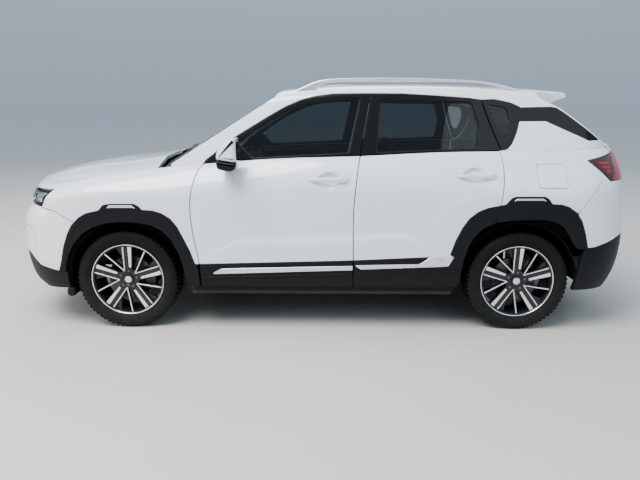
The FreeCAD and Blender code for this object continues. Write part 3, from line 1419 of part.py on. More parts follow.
for end, station in (("front", AXLE), ("rear", -AXLE)):
    for hand, sign in (("left", 1.0), ("right", -1.0)):
        turn = FreeCAD.Rotation(VEC(0, 0, 1), 0.0 if sign > 0 else 180.0)
        place = FreeCAD.Placement(VEC(station, sign * WHEEL_Y, AXLE_HEIGHT), turn)
        keep("tyre_%s_%s" % (end, hand), TYRE).Placement = place
        keep("rim_%s_%s" % (end, hand), RIM).Placement = place
        if end == "front":
            part = keep("knuckle_%s" % hand, KNUCKLE if sign > 0 else mirrored(KNUCKLE))
            part.Placement = FreeCAD.Placement(place.Base, FreeCAD.Rotation())

DOC.recompute()
os.makedirs("parts", exist_ok=True)
for item in SUBPARTS:
    if "Invalid" in item.State or "Error" in item.State:
        raise RuntimeError(item.Label + " did not build")
    if item.Shape.isNull() or not item.Shape.isValid():
        raise RuntimeError(item.Label + " has no sound shape")
    item.Shape.exportStep("parts/%s.step" % item.Label)
    print(item.Label, len(item.Shape.Solids), round(item.Shape.Volume / 1e6, 2))
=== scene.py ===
"""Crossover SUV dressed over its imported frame. Lengths in the classes are millimetres."""
import json
import logging
import math
from dataclasses import dataclass, field
from enum import Enum
from functools import partial
from typing import Callable, Sequence

import bmesh
import bpy
import numpy as np
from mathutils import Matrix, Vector
from mathutils.geometry import delaunay_2d_cdt

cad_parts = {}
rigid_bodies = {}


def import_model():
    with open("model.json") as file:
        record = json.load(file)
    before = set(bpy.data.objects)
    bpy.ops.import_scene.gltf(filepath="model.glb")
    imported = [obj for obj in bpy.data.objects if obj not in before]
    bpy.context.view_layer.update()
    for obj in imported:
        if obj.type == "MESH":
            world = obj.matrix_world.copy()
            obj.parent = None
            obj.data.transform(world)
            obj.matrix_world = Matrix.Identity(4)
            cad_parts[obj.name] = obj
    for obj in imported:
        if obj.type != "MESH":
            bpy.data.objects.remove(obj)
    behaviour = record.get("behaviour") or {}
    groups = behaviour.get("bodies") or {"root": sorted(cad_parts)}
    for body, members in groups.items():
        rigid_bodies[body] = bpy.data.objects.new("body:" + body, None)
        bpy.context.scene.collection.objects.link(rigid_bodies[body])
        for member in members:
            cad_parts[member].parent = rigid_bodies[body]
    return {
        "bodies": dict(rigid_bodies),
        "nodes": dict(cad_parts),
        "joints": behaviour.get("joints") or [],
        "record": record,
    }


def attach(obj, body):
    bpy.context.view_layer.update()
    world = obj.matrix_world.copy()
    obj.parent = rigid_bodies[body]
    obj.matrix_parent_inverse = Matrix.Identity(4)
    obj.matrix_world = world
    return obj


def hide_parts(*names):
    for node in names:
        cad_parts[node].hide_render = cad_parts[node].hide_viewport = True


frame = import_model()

logging.basicConfig(level=logging.INFO, format="%(message)s")
LOG = logging.getLogger("crossover")
MM = 0.001
FULL_TURN = 2.0 * math.pi
LEFT = np.array([0.0, 1.0, 0.0])
UP = np.array([0.0, 0.0, 1.0])
Array = np.ndarray
Points = Sequence[tuple]


def unit(vectors: Array, least: float = 1e-9) -> Array:
    """Vectors along the last axis brought to length one, those under the least length left."""
    length = np.linalg.norm(vectors, axis=-1, keepdims=True)
    return vectors / np.where(length > least, length, 1.0)


def squared(values: Array, power: float) -> Array:
    """Sines or cosines drawn out towards a square."""
    return np.sign(values) * np.abs(values) ** power


def turn_angles(count: int) -> Array:
    """Angles of evenly spaced points round a full turn."""
    return np.linspace(0.0, FULL_TURN, count, endpoint=False)


class SmoothTable:
    """Smooth curve through the rows of a short table."""

    def __init__(self, rows: Sequence[tuple[float, float]]) -> None:
        """Sorts the rows and works out a slope at each.

        Args:
            rows: rows of the table.
        """
        ordered = sorted(rows)
        self.keys = np.array([row[0] for row in ordered], float)
        self.values = np.array([row[1] for row in ordered], float)
        low = np.maximum(np.arange(len(ordered)) - 1, 0)
        high = np.minimum(np.arange(len(ordered)) + 1, len(ordered) - 1)
        run = self.keys[high] - self.keys[low]
        self.slopes = (self.values[high] - self.values[low]) / run

    def __call__(self, key: Array) -> Array:
        """Value at each key, held level past the ends.

        Args:
            key: where the curve is read.

        Returns:
            The curve's values.
        """
        key = np.clip(np.asarray(key, float), self.keys[0], self.keys[-1])
        index = np.clip(np.searchsorted(self.keys, key, "right") - 1, 0, len(self.keys) - 2)
        run = self.keys[index + 1] - self.keys[index]
        part = (key - self.keys[index]) / run
        rest = 1.0 - part
        return (self.values[index] * (1 + 2 * part) * rest ** 2 + self.slopes[index] * run * part
            * rest ** 2 + self.values[index + 1] * part ** 2 * (3 - 2 * part) - self.slopes[index + 1]
            * run * part ** 2 * rest)


def ease(value: Array) -> Array:
    """Smooth step from 0 to 1."""
    value = np.clip(value, 0.0, 1.0)
    return value * value * (3.0 - 2.0 * value)


@dataclass(frozen=True)
class BodySizes:
    """Driving sizes of the body, the same as in the part's source."""

    half_length: float = 2167.5
    half_width: float = 903.0
    axle: float = 1300.0
    tyre_radius: float = 336.0
    corner_p: float = 4.0
    corner_q: float = 2.8
    tail_top_q: float = 4.0
    nose_top_in: float = 187.0
    tail_top_in: float = 160.0
    tail_top_height: float = 1232.0
    bonnet_crown: float = 0.00011
    roof_crown: float = 1632.0
    roof_half: float = 540.0
    roof_arch: float = 0.0001
    edge_drop: float = 92.0
    belt_lean: float = 0.35
    screen_rake: float = 1.64
    screen_base: float = 944.0
    screen_bow: float = 0.000163
    screen_level: float = 1189.0
    rear_rake: float = 1.41
    rear_base: float = -1908.0
    rear_bow: float = 0.00012
    rear_level: float = 1247.0


# side height, side inset, nose height, nose inset, tail height, tail inset
SECTION_ROWS = np.array([
    (280.0, 22.0, 190.0, 165.0, 235.0, 130.0),
    (340.0, 12.0, 250.0, 72.0, 285.0, 84.0),
    (430.0, 6.0, 310.0, 30.0, 350.0, 38.0),
    (540.0, 3.0, 400.0, 3.0, 442.0, 9.0),
    (660.0, 1.0, 560.0, 0.0, 560.0, 0.0),
    (770.0, 0.0, 700.0, 8.0, 760.0, 16.0),
    (880.0, 0.0, 820.0, 18.0, 960.0, 40.0),
])
# station, distance from the centre plane, height of the body's top edge
TOP_ROWS = [
    (1300, 762, 1050), (1100, 764, 1071), (776, 775, 1107),
    (300, 783, 1143), (-250, 779, 1161), (-742, 771, 1185),
    (-1161, 758, 1193), (-1300, 752, 1194),
]
BONNET_ROWS = [
    (1000, 1151), (1150, 1141), (1300, 1129), (1450, 1114), (1600, 1097),
    (1750, 1070), (1870, 1041), (1980, 1006), (2050, 974), (2100, 935),
]
# station, how far the bonnet's middle lies under its plain crown
BONNET_LOW_ROWS = [
    (1000, 6), (1150, 13), (1300, 24), (1450, 26), (1600, 20),
    (1750, 13), (1900, 5), (2000, 0), (2100, 0),
]
# height, how far the nose stands back round the lamps and the top of the grille
NOSE_BACK_ROWS = [
    (700, 0), (742, 0), (760, 6), (780, 20), (800, 40), (825, 57),
    (850, 58), (870, 53), (900, 44), (930, 27), (960, 8), (982, 0),
    (1100, 0),
]
ROOF_FALL_ROWS = [
    (1150, 252), (800, 142), (500, 72), (250, 34), (0, 13), (-300, 0),
    (-800, 0), (-1368, 20), (-1660, 42), (-1950, 75),
]
# station, height of the crease low on the doors
FLARE_ROWS = [
    (860, 505), (656, 602), (560, 640), (105, 652), (-118, 660),
    (-220, 667), (-517, 682), (-600, 655), (-706, 588), (-830, 500),
]


class BodySkin:
    """The outer skin as formulas, left side: the surfaces that every panel is cut from."""

    def __init__(self, sizes: BodySizes) -> None:
        """Builds the smooth tables and the plan curve of the two ends.

        Args:
            sizes: the driving sizes.
        """
        self.s = sizes
        self.end_run = sizes.half_length - sizes.axle
        self.top_y = SmoothTable([(row[0], row[1]) for row in TOP_ROWS])
        self.top_z = SmoothTable([(row[0], row[2]) for row in TOP_ROWS])
        self.bonnet_line = SmoothTable(BONNET_ROWS)
        self.roof_fall = SmoothTable(ROOF_FALL_ROWS)
        self.bonnet_low = SmoothTable(BONNET_LOW_ROWS)
        self.nose_back = SmoothTable(NOSE_BACK_ROWS)
        self.flare_line = SmoothTable(FLARE_ROWS)
        turn = 90.0 - 90.0 * np.linspace(0.0, 1.0, 3000) ** 2
        plan = self._corner(turn, self.end_run, sizes.half_width, sizes.corner_q)
        steps = np.hypot(np.diff(plan[:, 0]), np.diff(plan[:, 1]))
        self.plan_length = np.concatenate([[0.0], np.cumsum(steps)])
        self.plan_turn = turn
        self.u_end = sizes.axle + self.plan_length[-1]
        self.relief_on = True

    def _corner(self, angle: Array, reach: float, width: Array, power: float) -> Array:
        """Plan point on an end's rounded corner, ahead of the axle.

        Args:
            angle: turn from the nose's direction, in degrees.
            reach: length of the end.
            width: half the width there.
            power: roundness across the end.

        Returns:
            Rows of X and Y.
        """
        along = np.clip(np.cos(np.radians(angle)), 0.0, 1.0) ** (2.0 / self.s.corner_p)
        across = np.clip(np.sin(np.radians(angle)), 0.0, 1.0) ** (2.0 / power)
        return np.stack([reach * along, width * across], axis=-1)

    def bonnet_z(self, x: Array, y: Array) -> Array:
        """Height of the bonnet.

        Args:
            x: stations, positive towards the nose.
            y: distances from the centre plane.

        Returns:
            Heights.
        """
        share = np.minimum(np.abs(y) / self.s.half_width, 0.999)
        back = self.end_run * (1.0 - (1.0 - share ** self.s.corner_q) ** (1.0 / self.s.corner_p))
        low = self.bonnet_low(x + back) * (1.0 - np.minimum(np.abs(y) / 762.0, 1.0) ** 2)
        return self.bonnet_line(x + back) - self.s.bonnet_crown * y * y - low

    def roof_z(self, x: Array, y: Array) -> Array:
        """Height of the roof."""
        return self.s.roof_crown - self.roof_fall(x) - self.s.roof_arch * y * y

    def top_edge(self, x: Array) -> tuple[Array, Array]:
        """Distance from the centre plane and height of the lower body's top edge.

        Args:
            x: stations, positive towards the nose.

        Returns:
            Distances and heights.
        """
        x = np.asarray(x, float)
        share = np.clip((-x - self.s.axle) / (self.end_run - self.s.tail_top_in), 0.0, 0.999)
        weight = share ** self.s.corner_p
        across = (1.0 - weight) ** (1.0 / self.s.tail_top_q)
        end_z = self.top_z(-self.s.axle)
        height = np.where(x < -self.s.axle, end_z * (1 - weight) + self.s.tail_top_height * weight,
            self.top_z(x))
        return self.top_y(x) * across, height

    def rows(self, u: Array) -> tuple[Array, Array, Array, Array]:
        """Section rows at plan distances: shares, heights, outer and inner plan points.

        Args:
            u: distances along the plan curve, 0 midway between the axles.

        Returns:
            Shares, heights, outer points and inner points.
        """
        s = self.s
        u = np.asarray(u, float)
        end = np.abs(u) > s.axle
        sign = np.where(u >= 0, 1.0, -1.0)
        nose = end & (u > 0)
        turn = np.interp(np.abs(u) - s.axle, self.plan_length, self.plan_turn)
        turn = np.where(end, turn, 90.0)
        weight = np.cos(np.radians(turn)) ** 2
        anchor = np.where(end, sign * s.axle, u)
        width = s.half_width - 3.0e-6 * (np.abs(anchor) - s.axle) ** 2
        top_y = self.top_y(anchor)
        top_in = np.where(nose, s.nose_top_in, s.tail_top_in)
        outer = self._corner(turn, self.end_run, width, s.corner_q)
        along = np.clip(np.cos(np.radians(turn)), 0.0, 1.0) ** (2.0 / s.corner_p)
        power = np.where(nose, s.corner_q, s.tail_top_q)
        across = np.clip(np.sin(np.radians(turn)), 0.0, 1.0) ** (2.0 / power)
        inner = np.stack([(self.end_run - top_in) * along, top_y * across], axis=-1)
        outer[:, 0] = anchor + np.where(end, sign * outer[:, 0], 0.0)
        inner[:, 0] = anchor + np.where(end, sign * inner[:, 0], 0.0)
        side_in = (width - top_y)[:, None]
        w = weight[:, None]
        table = SECTION_ROWS
        end_in = np.where(nose[:, None], table[None, :, 3], table[None, :, 5])
        end_z = np.where(nose[:, None], table[None, :, 2], table[None, :, 4])
        share = (1 - w) * table[None, :, 1] / side_in + w * end_in / top_in[:, None]
        height = (1 - w) * table[None, :, 0] + w * end_z
        nose_z = self.bonnet_z(inner[:, 0], inner[:, 1])
        step = self.top_z(s.axle) - self.bonnet_z(np.array(s.axle), self.top_y(s.axle))
        nose_z = nose_z + step * (1.0 - weight) ** 6
        tail_z = self.top_z(anchor) * (1 - weight) + s.tail_top_height * weight
        top_z = np.where(nose, nose_z, tail_z)
        lean = np.radians(np.where(u < 600.0, 43.0, 43.0 - 31.0 * np.clip((u - 600.0) / 600.0, 0, 1)))
        scale = (1 - weight) * side_in[:, 0] + weight * top_in
        start = np.stack([share[:, -1] * scale, height[:, -1]], axis=-1)
        last = np.stack([scale, top_z], axis=-1)
        lead = np.where(end, 0.15 * weight * scale, 0.0)
        first = start + np.stack([lead, 0.5 * (last[:, 1] - start[:, 1])], axis=-1)
        pull = 0.45 * (last[:, 0] - start[:, 0])
        second = last - np.stack([pull * np.cos(lean), pull * np.sin(lean)], axis=-1)
        shares, heights = [share], [height]
        for part in (0.2, 0.4, 0.6, 0.8, 1.0):
            rest = 1.0 - part
            point = (rest ** 3 * start + 3 * rest * rest * part * first + 3 * rest * part * part
                * second + part ** 3 * last)
            shares.append(point[:, :1] / scale[:, None])
            heights.append(point[:, 1:])
        return np.hstack(shares), np.hstack(heights), outer, inner

    @staticmethod
    def _along_rows(rows: Array, v: Array) -> Array:
        """Smooth value between rows at a running row number.

        Args:
            rows: one line of row values for each point.
            v: running row numbers of the section.

        Returns:
            One value for each point.
        """
        count = rows.shape[1]
        v = np.clip(v, 0.0, count - 1.0)
        index = np.minimum(v.astype(int), count - 2)
        part = v - index
        here = np.arange(len(v))
        p1, p2 = rows[here, index], rows[here, index + 1]
        p0 = np.where(index > 0, rows[here, np.maximum(index - 1, 0)], 2 * p1 - p2)
        far = rows[here, np.minimum(index + 2, count - 1)]
        p3 = np.where(index < count - 2, far, 2 * p2 - p1)
        return p1 + 0.5 * part * (p2 - p0 + part * (2 * p0 - 5 * p1 + 4 * p2 - p3 + part
            * (3 * (p1 - p2) + p3 - p0)))

    def relief(self, x: Array, z: Array) -> Array:
        """How far the creases, flares and cups stand out from the plain side.

        Args:
            x: stations, positive towards the nose.
            z: heights.

        Returns:
            Distances outwards.
        """
        s = self.s
        out = np.zeros_like(x)
        for station, reach in ((s.axle, 700.0), (-s.axle, 690.0)):
            across = np.abs((x - station) / reach) ** 2.4
            ring = (across + np.clip((z - s.tyre_radius) / 600.0, 0.0, 9.0) ** 2.4) ** (1 / 2.4)
            out = out + 9.0 * np.clip((1.25 - ring) / 0.25, 0.0, 1.0) ** 1.7
        below = self.flare_line(x) - z
        span = ease((x + 860.0) / 90.0) * ease((870.0 - x) / 60.0)
        out = np.maximum(out, 14.0 * ease(below / 56.0) * span)
        for centre_x, centre_z in ((-45, 1008), (-978, 1039)):
            cup = ((x - centre_x) / 84.0) ** 2 + ((z - centre_z) / 50.0) ** 2
            out = out - 22.0 * ease(1.35 * (1.0 - cup))
        return out

    def lower(self, u: Array, v: Array) -> Array:
        """Point of the lower body at a plan distance and running row number.

        Args:
            u: distances along the plan curve, 0 midway between the axles.
            v: running row numbers of the section.

        Returns:
            Rows of X, Y and Z.
        """
        u = np.asarray(u, float)
        v = np.asarray(v, float)
        past = np.abs(u) > self.u_end
        folded = np.where(past, np.sign(u) * (2 * self.u_end - np.abs(u)), u)
        shares, heights, outer, inner = self.rows(folded)
        share = self._along_rows(shares, v)
        z = self._along_rows(heights, v)
        point = outer + (inner - outer) * share[:, None]
        x, y = point[:, 0], point[:, 1]
        if self.relief_on:
            turn = np.interp(np.abs(folded) - self.s.axle, self.plan_length, self.plan_turn)
            turn = np.where(np.abs(folded) > self.s.axle, turn, 90.0)
            hold = ease((np.sin(np.radians(turn)) - 0.75) / 0.25) * ease((10.4 - v) / 1.5)
            y = y + self.relief(x, z) * hold
            x = x - self.nose_back(z) * ease((x - 1700.0) / 260.0)
        return np.stack([x, np.where(past, -y, y), z], axis=-1)

    def row_at(self, u: Array, z: Array) -> Array:
        """Running row number where the section at a plan distance has a height.

        Args:
            u: distances along the plan curve, 0 midway between the axles.
            z: heights.

        Returns:
            Running row numbers.
        """
        heights = self.rows(u)[1]
        low = np.zeros_like(z)
        high = np.full_like(z, heights.shape[1] - 1.0)
        for _ in range(26):
            middle = 0.5 * (low + high)
            above = self._along_rows(heights, middle) > z
            high = np.where(above, middle, high)
            low = np.where(above, low, middle)
        return 0.5 * (low + high)

    def find(self, target: Array, z: Array, axis: int, start: Array) -> Array:
        """Parameters of lower-body points known by height and by X (axis 0) or Y (axis 1).

        Args:
            target: the wanted X or Y.
            z: the wanted heights.
            axis: 0 to search by X and 1 to search by Y.
            start: first guesses of the plan distance.

        Returns:
            Rows of plan distance and row number.
        """
        u = np.array(start, float)
        for _ in range(14):
            v = self.row_at(u, z)
            here = self.lower(u, v)[:, axis]
            ahead = self.lower(u + 2.0, self.row_at(u + 2.0, z))[:, axis]
            slope = (ahead - here) / 2.0
            slope = np.where(np.abs(slope) < 0.08, np.sign(slope + 1e-9) * 0.08, slope)
            u = u + np.clip((target - here) / slope, -160.0, 160.0)
            u = np.clip(u, -self.u_end, self.u_end)
        return np.stack([u, self.row_at(u, z)], axis=-1)

    def _window_top(self, x: Array) -> Array:
        """Height where the window side meets the roof edge."""
        return self.roof_z(x, np.zeros_like(x)) - self.s.edge_drop

    def _edge_part(self, x: Array, z: Array) -> Array:
        """Share of the roof edge's curve that lies below a height.

        Args:
            x: stations, positive towards the nose.
            z: heights.

        Returns:
            Shares of the curve.
        """
        part = np.zeros_like(x)
        step = 0.5
        for _ in range(22):
            trial = self.edge(x, part + step)[:, 2]
            part = np.where(trial <= z, part + step, part)
            step *= 0.5
        return part

    def wall(self, x: Array, z: Array) -> Array:
        """Point of the side between the axles at a station and height, sill to roof edge.

        Args:
            x: stations, positive towards the nose.
            z: heights.

        Returns:
            Rows of X, Y and Z.
        """
        x = np.asarray(x, float)
        z = np.asarray(z, float)
        y_top, z_top = self.top_edge(x)
        z_edge = self._window_top(x)
        low = self.lower(x, self.row_at(x, np.minimum(z, z_top)))[:, 1]
        high = y_top - self.s.belt_lean * (np.minimum(z, z_edge) - z_top)
        curved = self.edge(x, self._edge_part(x, z))[:, 1]
        y = np.where(z <= z_top, low, np.where(z <= z_edge, high, curved))
        return np.stack([x, y, z], axis=-1)

    def edge(self, x: Array, part: Array) -> Array:
        """Point of the roof edge, from the window side (0) to the roof panel (1).

        Args:
            x: stations, positive towards the nose.
            part: shares of the curve, 0 at the window and 1 at the roof panel.

        Returns:
            Rows of X, Y and Z.
        """
        s = self.s
        y_top, z_top = self.top_edge(x)
        z0 = self._window_top(x)
        y0 = y_top - s.belt_lean * (z0 - z_top)
        y3 = np.minimum(s.roof_half, y0 - 60.0)
        z3 = self.roof_z(x, y3)
        pull = 0.5 * s.edge_drop
        y1, z1 = y0 - s.belt_lean * pull, z0 + pull
        y2, z2 = y3 + pull, z3 - pull * 2.0 * s.roof_arch * y3
        rest = 1.0 - part
        a, b, c, d = rest ** 3, 3 * rest * rest * part, 3 * rest * part * part, part ** 3
        return np.stack([x, a * y0 + b * y1 + c * y2 + d * y3, a * z0 + b * z1 + c * z2 + d * z3],
            axis=-1)

    def pillar(self, x: Array, t: Array) -> Array:
        """Point above the belt: rows 0 to 1 are the window side, 1 to 2 the roof edge.

        Args:
            x: stations, positive towards the nose.
            t: running row numbers of the pillar.

        Returns:
            Rows of X, Y and Z.
        """
        x = np.asarray(x, float)
        t = np.asarray(t, float)
        y_top, z_top = self.top_edge(x)
        z_edge = self._window_top(x)
        z = z_top + (z_edge - z_top) * t
        straight = np.stack([x, y_top - self.s.belt_lean * (z - z_top), z], axis=-1)
        curved = self.edge(x, np.clip(t - 1.0, 0.0, 1.2))
        return np.where((t <= 1.0)[:, None], straight, curved)

    def pillar_row(self, x: Array, z: Array) -> Array:
        """Running row number of the pillar surface at a height.

        Args:
            x: stations, positive towards the nose.
            z: heights.

        Returns:
            Running row numbers.
        """
        x = np.asarray(x, float)
        z_top = self.top_edge(x)[1]
        z_edge = self._window_top(x)
        straight = (z - z_top) / (z_edge - z_top)
        return np.where(z <= z_edge, straight, 1.0 + self._edge_part(x, z))

    def roof(self, x: Array, y: Array) -> Array:
        """Point of the roof panel."""
        return np.stack([x, y, self.roof_z(x, y)], axis=-1)

    def bonnet(self, x: Array, y: Array) -> Array:
        """Point of the bonnet, with its two raised lines.

        Args:
            x: stations, positive towards the nose.
            y: distances from the centre plane.

        Returns:
            Rows of X, Y and Z.
        """
        line = 390.0 + 0.10 * (x - 1300.0)
        rise = 7.0 * ease(1.0 - np.abs(np.abs(y) - line) / 120.0) * ease((2080.0 - x) / 400.0)
        return np.stack([x, y, self.bonnet_z(x, y) + rise], axis=-1)

    def screen(self, y: Array, z: Array) -> Array:
        """Point of the windscreen.

        Args:
            y: distances from the centre plane.
            z: heights.

        Returns:
            Rows of X, Y and Z.
        """
        s = self.s
        x = s.screen_base - s.screen_rake * (z - s.screen_level) - s.screen_bow * y * y
        return np.stack([x, y, z], axis=-1)

    def rear_window(self, y: Array, z: Array) -> Array:
        """Point of the rear window.

        Args:
            y: distances from the centre plane.
            z: heights.

        Returns:
            Rows of X, Y and Z.
        """
        s = self.s
        x = s.rear_base + s.rear_rake * (z - s.rear_level) + s.rear_bow * y * y
        return np.stack([x, y, z], axis=-1)


SKIN = BodySkin(BodySizes())
Surface = Callable[[Array, Array], Array]


class Facing(Enum):
    """Which way a surface's parameter axes turn, seen from outside the body."""

    DIRECT = 1.0
    TURNED = -1.0


@dataclass
class Patch:
    """Mesh data being put together, in millimetres."""

    points: list[Array] = field(default_factory=list)
    normals: list[Array] = field(default_factory=list)
    faces: list[tuple[int, ...]] = field(default_factory=list)
    finish: list[int] = field(default_factory=list)
    count: int = 0

    def add_points(self, points: Array, normals: Array) -> int:
        """Adds points with their normals and returns the first one's number.

        Args:
            points: places of the points.
            normals: their normals.

        Returns:
            The first one's number.
        """
        first = self.count
        self.points.append(np.asarray(points, float))
        self.normals.append(np.asarray(normals, float))
        self.count += len(points)
        return first

    def add_faces(self, faces: Sequence[tuple[int, ...]], finish: int = 0) -> None:
        """Adds faces that share one finish."""
        self.faces.extend(faces)
        self.finish.extend([finish] * len(faces))

    def add_triangles(self, first: int, triangles: Array, turned: bool, finish: int) -> None:
        """Adds triangles whose numbers count from a first point."""
        order = triangles[:, ::-1] if turned else triangles
        self.add_faces([tuple(first + i for i in face) for face in order.tolist()], finish)

    def strip(self, first: int, second: int, count: int, closed: bool, finish: int,
            turned: bool) -> None:
        """Quads between two rows of points.

        Args:
            first: number of the first point.
            second: number of the second row's first point.
            count: points in a row.
            closed: True where the run closes on itself.
            finish: finish number of the faces.
            turned: True where the faces are turned over.
        """
        quads = []
        for i in range(count if closed else count - 1):
            j = (i + 1) % count
            quad = (first + i, first + j, second + j, second + i)
            quads.append(quad[::-1] if turned else quad)
        self.add_faces(quads, finish)

    def band(self, rows: Sequence[Sequence[int]], finish: int, turned: bool,
            keep: Array | None = None) -> None:
        """Quads between closed rows of point numbers.

        Args:
            rows: rows of point numbers.
            finish: finish number of the faces.
            turned: True where the faces are turned over.
            keep: False for points whose edge is left out.
        """
        count = len(rows[0])
        quads = []
        for i in range(count):
            j = (i + 1) % count
            if keep is None or keep[i] or keep[j]:
                quads += [(one[i], two[i], two[j], one[j]) for one, two in zip(rows, rows[1:])]
        self.add_faces([quad[::-1] for quad in quads] if turned else quads, finish)

    def merged(self, other: "Patch") -> "Patch":
        """This patch with another one's mesh added.

        Args:
            other: the patch that is added.

        Returns:
            This patch.
        """
        shift = self.count
        self.points += other.points
        self.normals += other.normals
        self.faces += [tuple(i + shift for i in face) for face in other.faces]
        self.finish += other.finish
        self.count += other.count
        return self

    def mirrored(self) -> "Patch":
        """The same patch on the right side.

        Returns:
            The new patch.
        """
        flip = np.array([1.0, -1.0, 1.0])
        return Patch([p * flip for p in self.points], [n * flip for n in self.normals],
            [face[::-1] for face in self.faces], list(self.finish), self.count)

    def moved(self, place: Array) -> "Patch":
        """The same patch at another place."""
        return Patch([p + place for p in self.points], list(self.normals), list(self.faces),
            list(self.finish), self.count)

    def turned(self) -> "Patch":
        """The same patch facing the other way."""
        return Patch(self.points, [-n for n in self.normals], [face[::-1] for face in self.faces],
            self.finish, self.count)

    def with_mirror(self) -> "Patch":
        """This patch and its mirror image as one."""
        return self.merged(self.mirrored())


def make_piece(name: str, patch: Patch, coats: Sequence["Coat"], body: str,
        replaces: Sequence[str] = ()) -> bpy.types.Object:
    """Turns a patch into an object that rides on a CAD body.

    Args:
        name: the piece's name.
        patch: its mesh data in millimetres.
        coats: finishes in the order of the patch's finish numbers.
        body: the CAD body it moves with.
        replaces: CAD nodes it stands for.

    Returns:
        The finished object, standing at the origin.
    """
    mesh = bpy.data.meshes.new(name)
    points = np.concatenate(patch.points) * MM
    mesh.from_pydata(points.tolist(), [], patch.faces)
    mesh.polygons.foreach_set("material_index", np.array(patch.finish, np.int32))
    mesh.polygons.foreach_set("use_smooth", np.ones(len(patch.faces), bool))
    for coat in coats:
        mesh.materials.append(MATERIALS[coat])
    mesh.update()
    mesh.normals_split_custom_set_from_vertices(unit(np.concatenate(patch.normals)).tolist())
    return seat_piece(bpy.data.objects.new(name, mesh), body, replaces)


def seat_piece(piece: bpy.types.Object, body: str,
        replaces: Sequence[str] = ()) -> bpy.types.Object:
    """Links a finished object and ties it to its body and replaced nodes.

    Args:
        piece: the finished object.
        body: the CAD body it moves with.
        replaces: CAD nodes it stands for.

    Returns:
        The same object.
    """
    if piece.name not in bpy.context.scene.collection.all_objects:
        bpy.context.scene.collection.objects.link(piece)
    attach(piece, body)
    if replaces:
        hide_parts(*replaces)
    LOG.info("%s on %s: %d faces", piece.name, body, len(piece.data.polygons))
    return piece


def arc_points(start: Array, middle: Array, end: Array, step: float) -> list[Array]:
    """Points along the arc through three points, the last one left out.

    Args:
        start: the first point.
        middle: a point on the way.
        end: the last point.
        step: distance between the points.

    Returns:
        Points in order.
    """
    ax, ay = middle - start
    bx, by = end - start
    cross = 2.0 * (ax * by - ay * bx)
    if abs(cross) < 1e-6:
        count = max(int(np.linalg.norm(end - start) / step), 1)
        return [start + (end - start) * i / count for i in range(count)]
    a2, b2 = ax * ax + ay * ay, bx * bx + by * by
    centre = start + np.array([(by * a2 - ay * b2), (ax * b2 - bx * a2)]) / cross
    radius = float(np.linalg.norm(start - centre))
    angles = [math.atan2(p[1] - centre[1], p[0] - centre[0]) for p in (start, middle, end)]
    turn = (angles[2] - angles[0]) % FULL_TURN
    if (angles[1] - angles[0]) % FULL_TURN > turn:
        turn -= FULL_TURN
    count = max(int(abs(turn) * radius / step), 2)
    sweep = [angles[0] + turn * i / count for i in range(count)]
    return [centre + radius * np.array([math.cos(a), math.sin(a)]) for a in sweep]


def trace(points: Points, step: float = 12.0, closed: bool = True) -> Array:
    """Dense polyline of an outline; a third item marks the middle of an arc.

    Args:
        points: points of the outline.
        step: distance between the points.
        closed: True where the run closes on itself.

    Returns:
        Rows of two coordinates.
    """
    out: list[Array] = []
    index, count = 0, len(points)
    total = count if closed else count - 1
    while index < total:
        start = np.array(points[index][:2], float)
        follow = points[(index + 1) % count]
        if len(follow) == 3:
            end = np.array(points[(index + 2) % count][:2], float)
            out += arc_points(start, np.array(follow[:2], float), end, step)
            index += 2
        else:
            end = np.array(follow[:2], float)
            pieces = max(int(round(float(np.linalg.norm(end - start)) / step)), 1)
            out += [start + (end - start) * i / pieces for i in range(pieces)]
            index += 1
    if not closed:
        out.append(np.array(points[-1][:2], float))
    return np.array(out)


def rounded(points: Points, radius: float, step: float = 12.0) -> Array:
    """Dense outline of straight runs whose corners are rounded.

    Args:
        points: points of the outline.
        radius: how far a corner is rounded.
        step: distance between the points.

    Returns:
        Rows of two coordinates.
    """
    corners = [np.array(p[:2], float) for p in points]
    count = len(corners)
    soft: list[tuple] = []
    for i, corner in enumerate(corners):
        before, after = corners[i - 1] - corner, corners[(i + 1) % count] - corner
        len_b, len_a = float(np.linalg.norm(before)), float(np.linalg.norm(after))
        reach = min(radius, 0.45 * len_b, 0.45 * len_a)
        one, two = corner + before / len_b * reach, corner + after / len_a * reach
        middle = 0.25 * one + 0.5 * corner + 0.25 * two
        soft += [tuple(one), (middle[0], middle[1], "arc"), tuple(two)]
    return trace(soft, step)


def inside_loop(points: Array, loop: Array) -> Array:
    """True for each point that lies inside a closed polyline.

    Args:
        points: points to test.
        loop: closed outline.

    Returns:
        One truth for each point.
    """
    result = np.zeros(len(points), bool)
    x, y = points[:, 0], points[:, 1]
    for (x1, y1), (x2, y2) in zip(loop, np.roll(loop, -1, axis=0)):
        if y1 == y2:
            continue
        crosses = (y1 > y) != (y2 > y)
        result ^= crosses & (x < (x2 - x1) * (y - y1) / (y2 - y1) + x1)
    return result


def loop_area(loop: Array) -> float:
    """Signed area of a closed polyline."""
    x, y = loop[:, 0], loop[:, 1]
    return 0.5 * float(np.sum(x * np.roll(y, -1) - np.roll(x, -1) * y))


@dataclass(frozen=True)
class Hem:
    """Edge of a panel: its roll and how far it turns back into the body."""

    roll: float = 3.0
    depth: float = 20.0
    steps: int = 3


THIN = Hem(0.5, 0.5, 1)
INNER_RETURN = 14.0
INNER_STEP = 12.0


@dataclass(frozen=True)
class Rim:
    """One edge of a panel: point numbers, places, normals, ways out and roll weights."""

    ring: Array
    base: Array
    normal: Array
    away: Array
    weight: Array


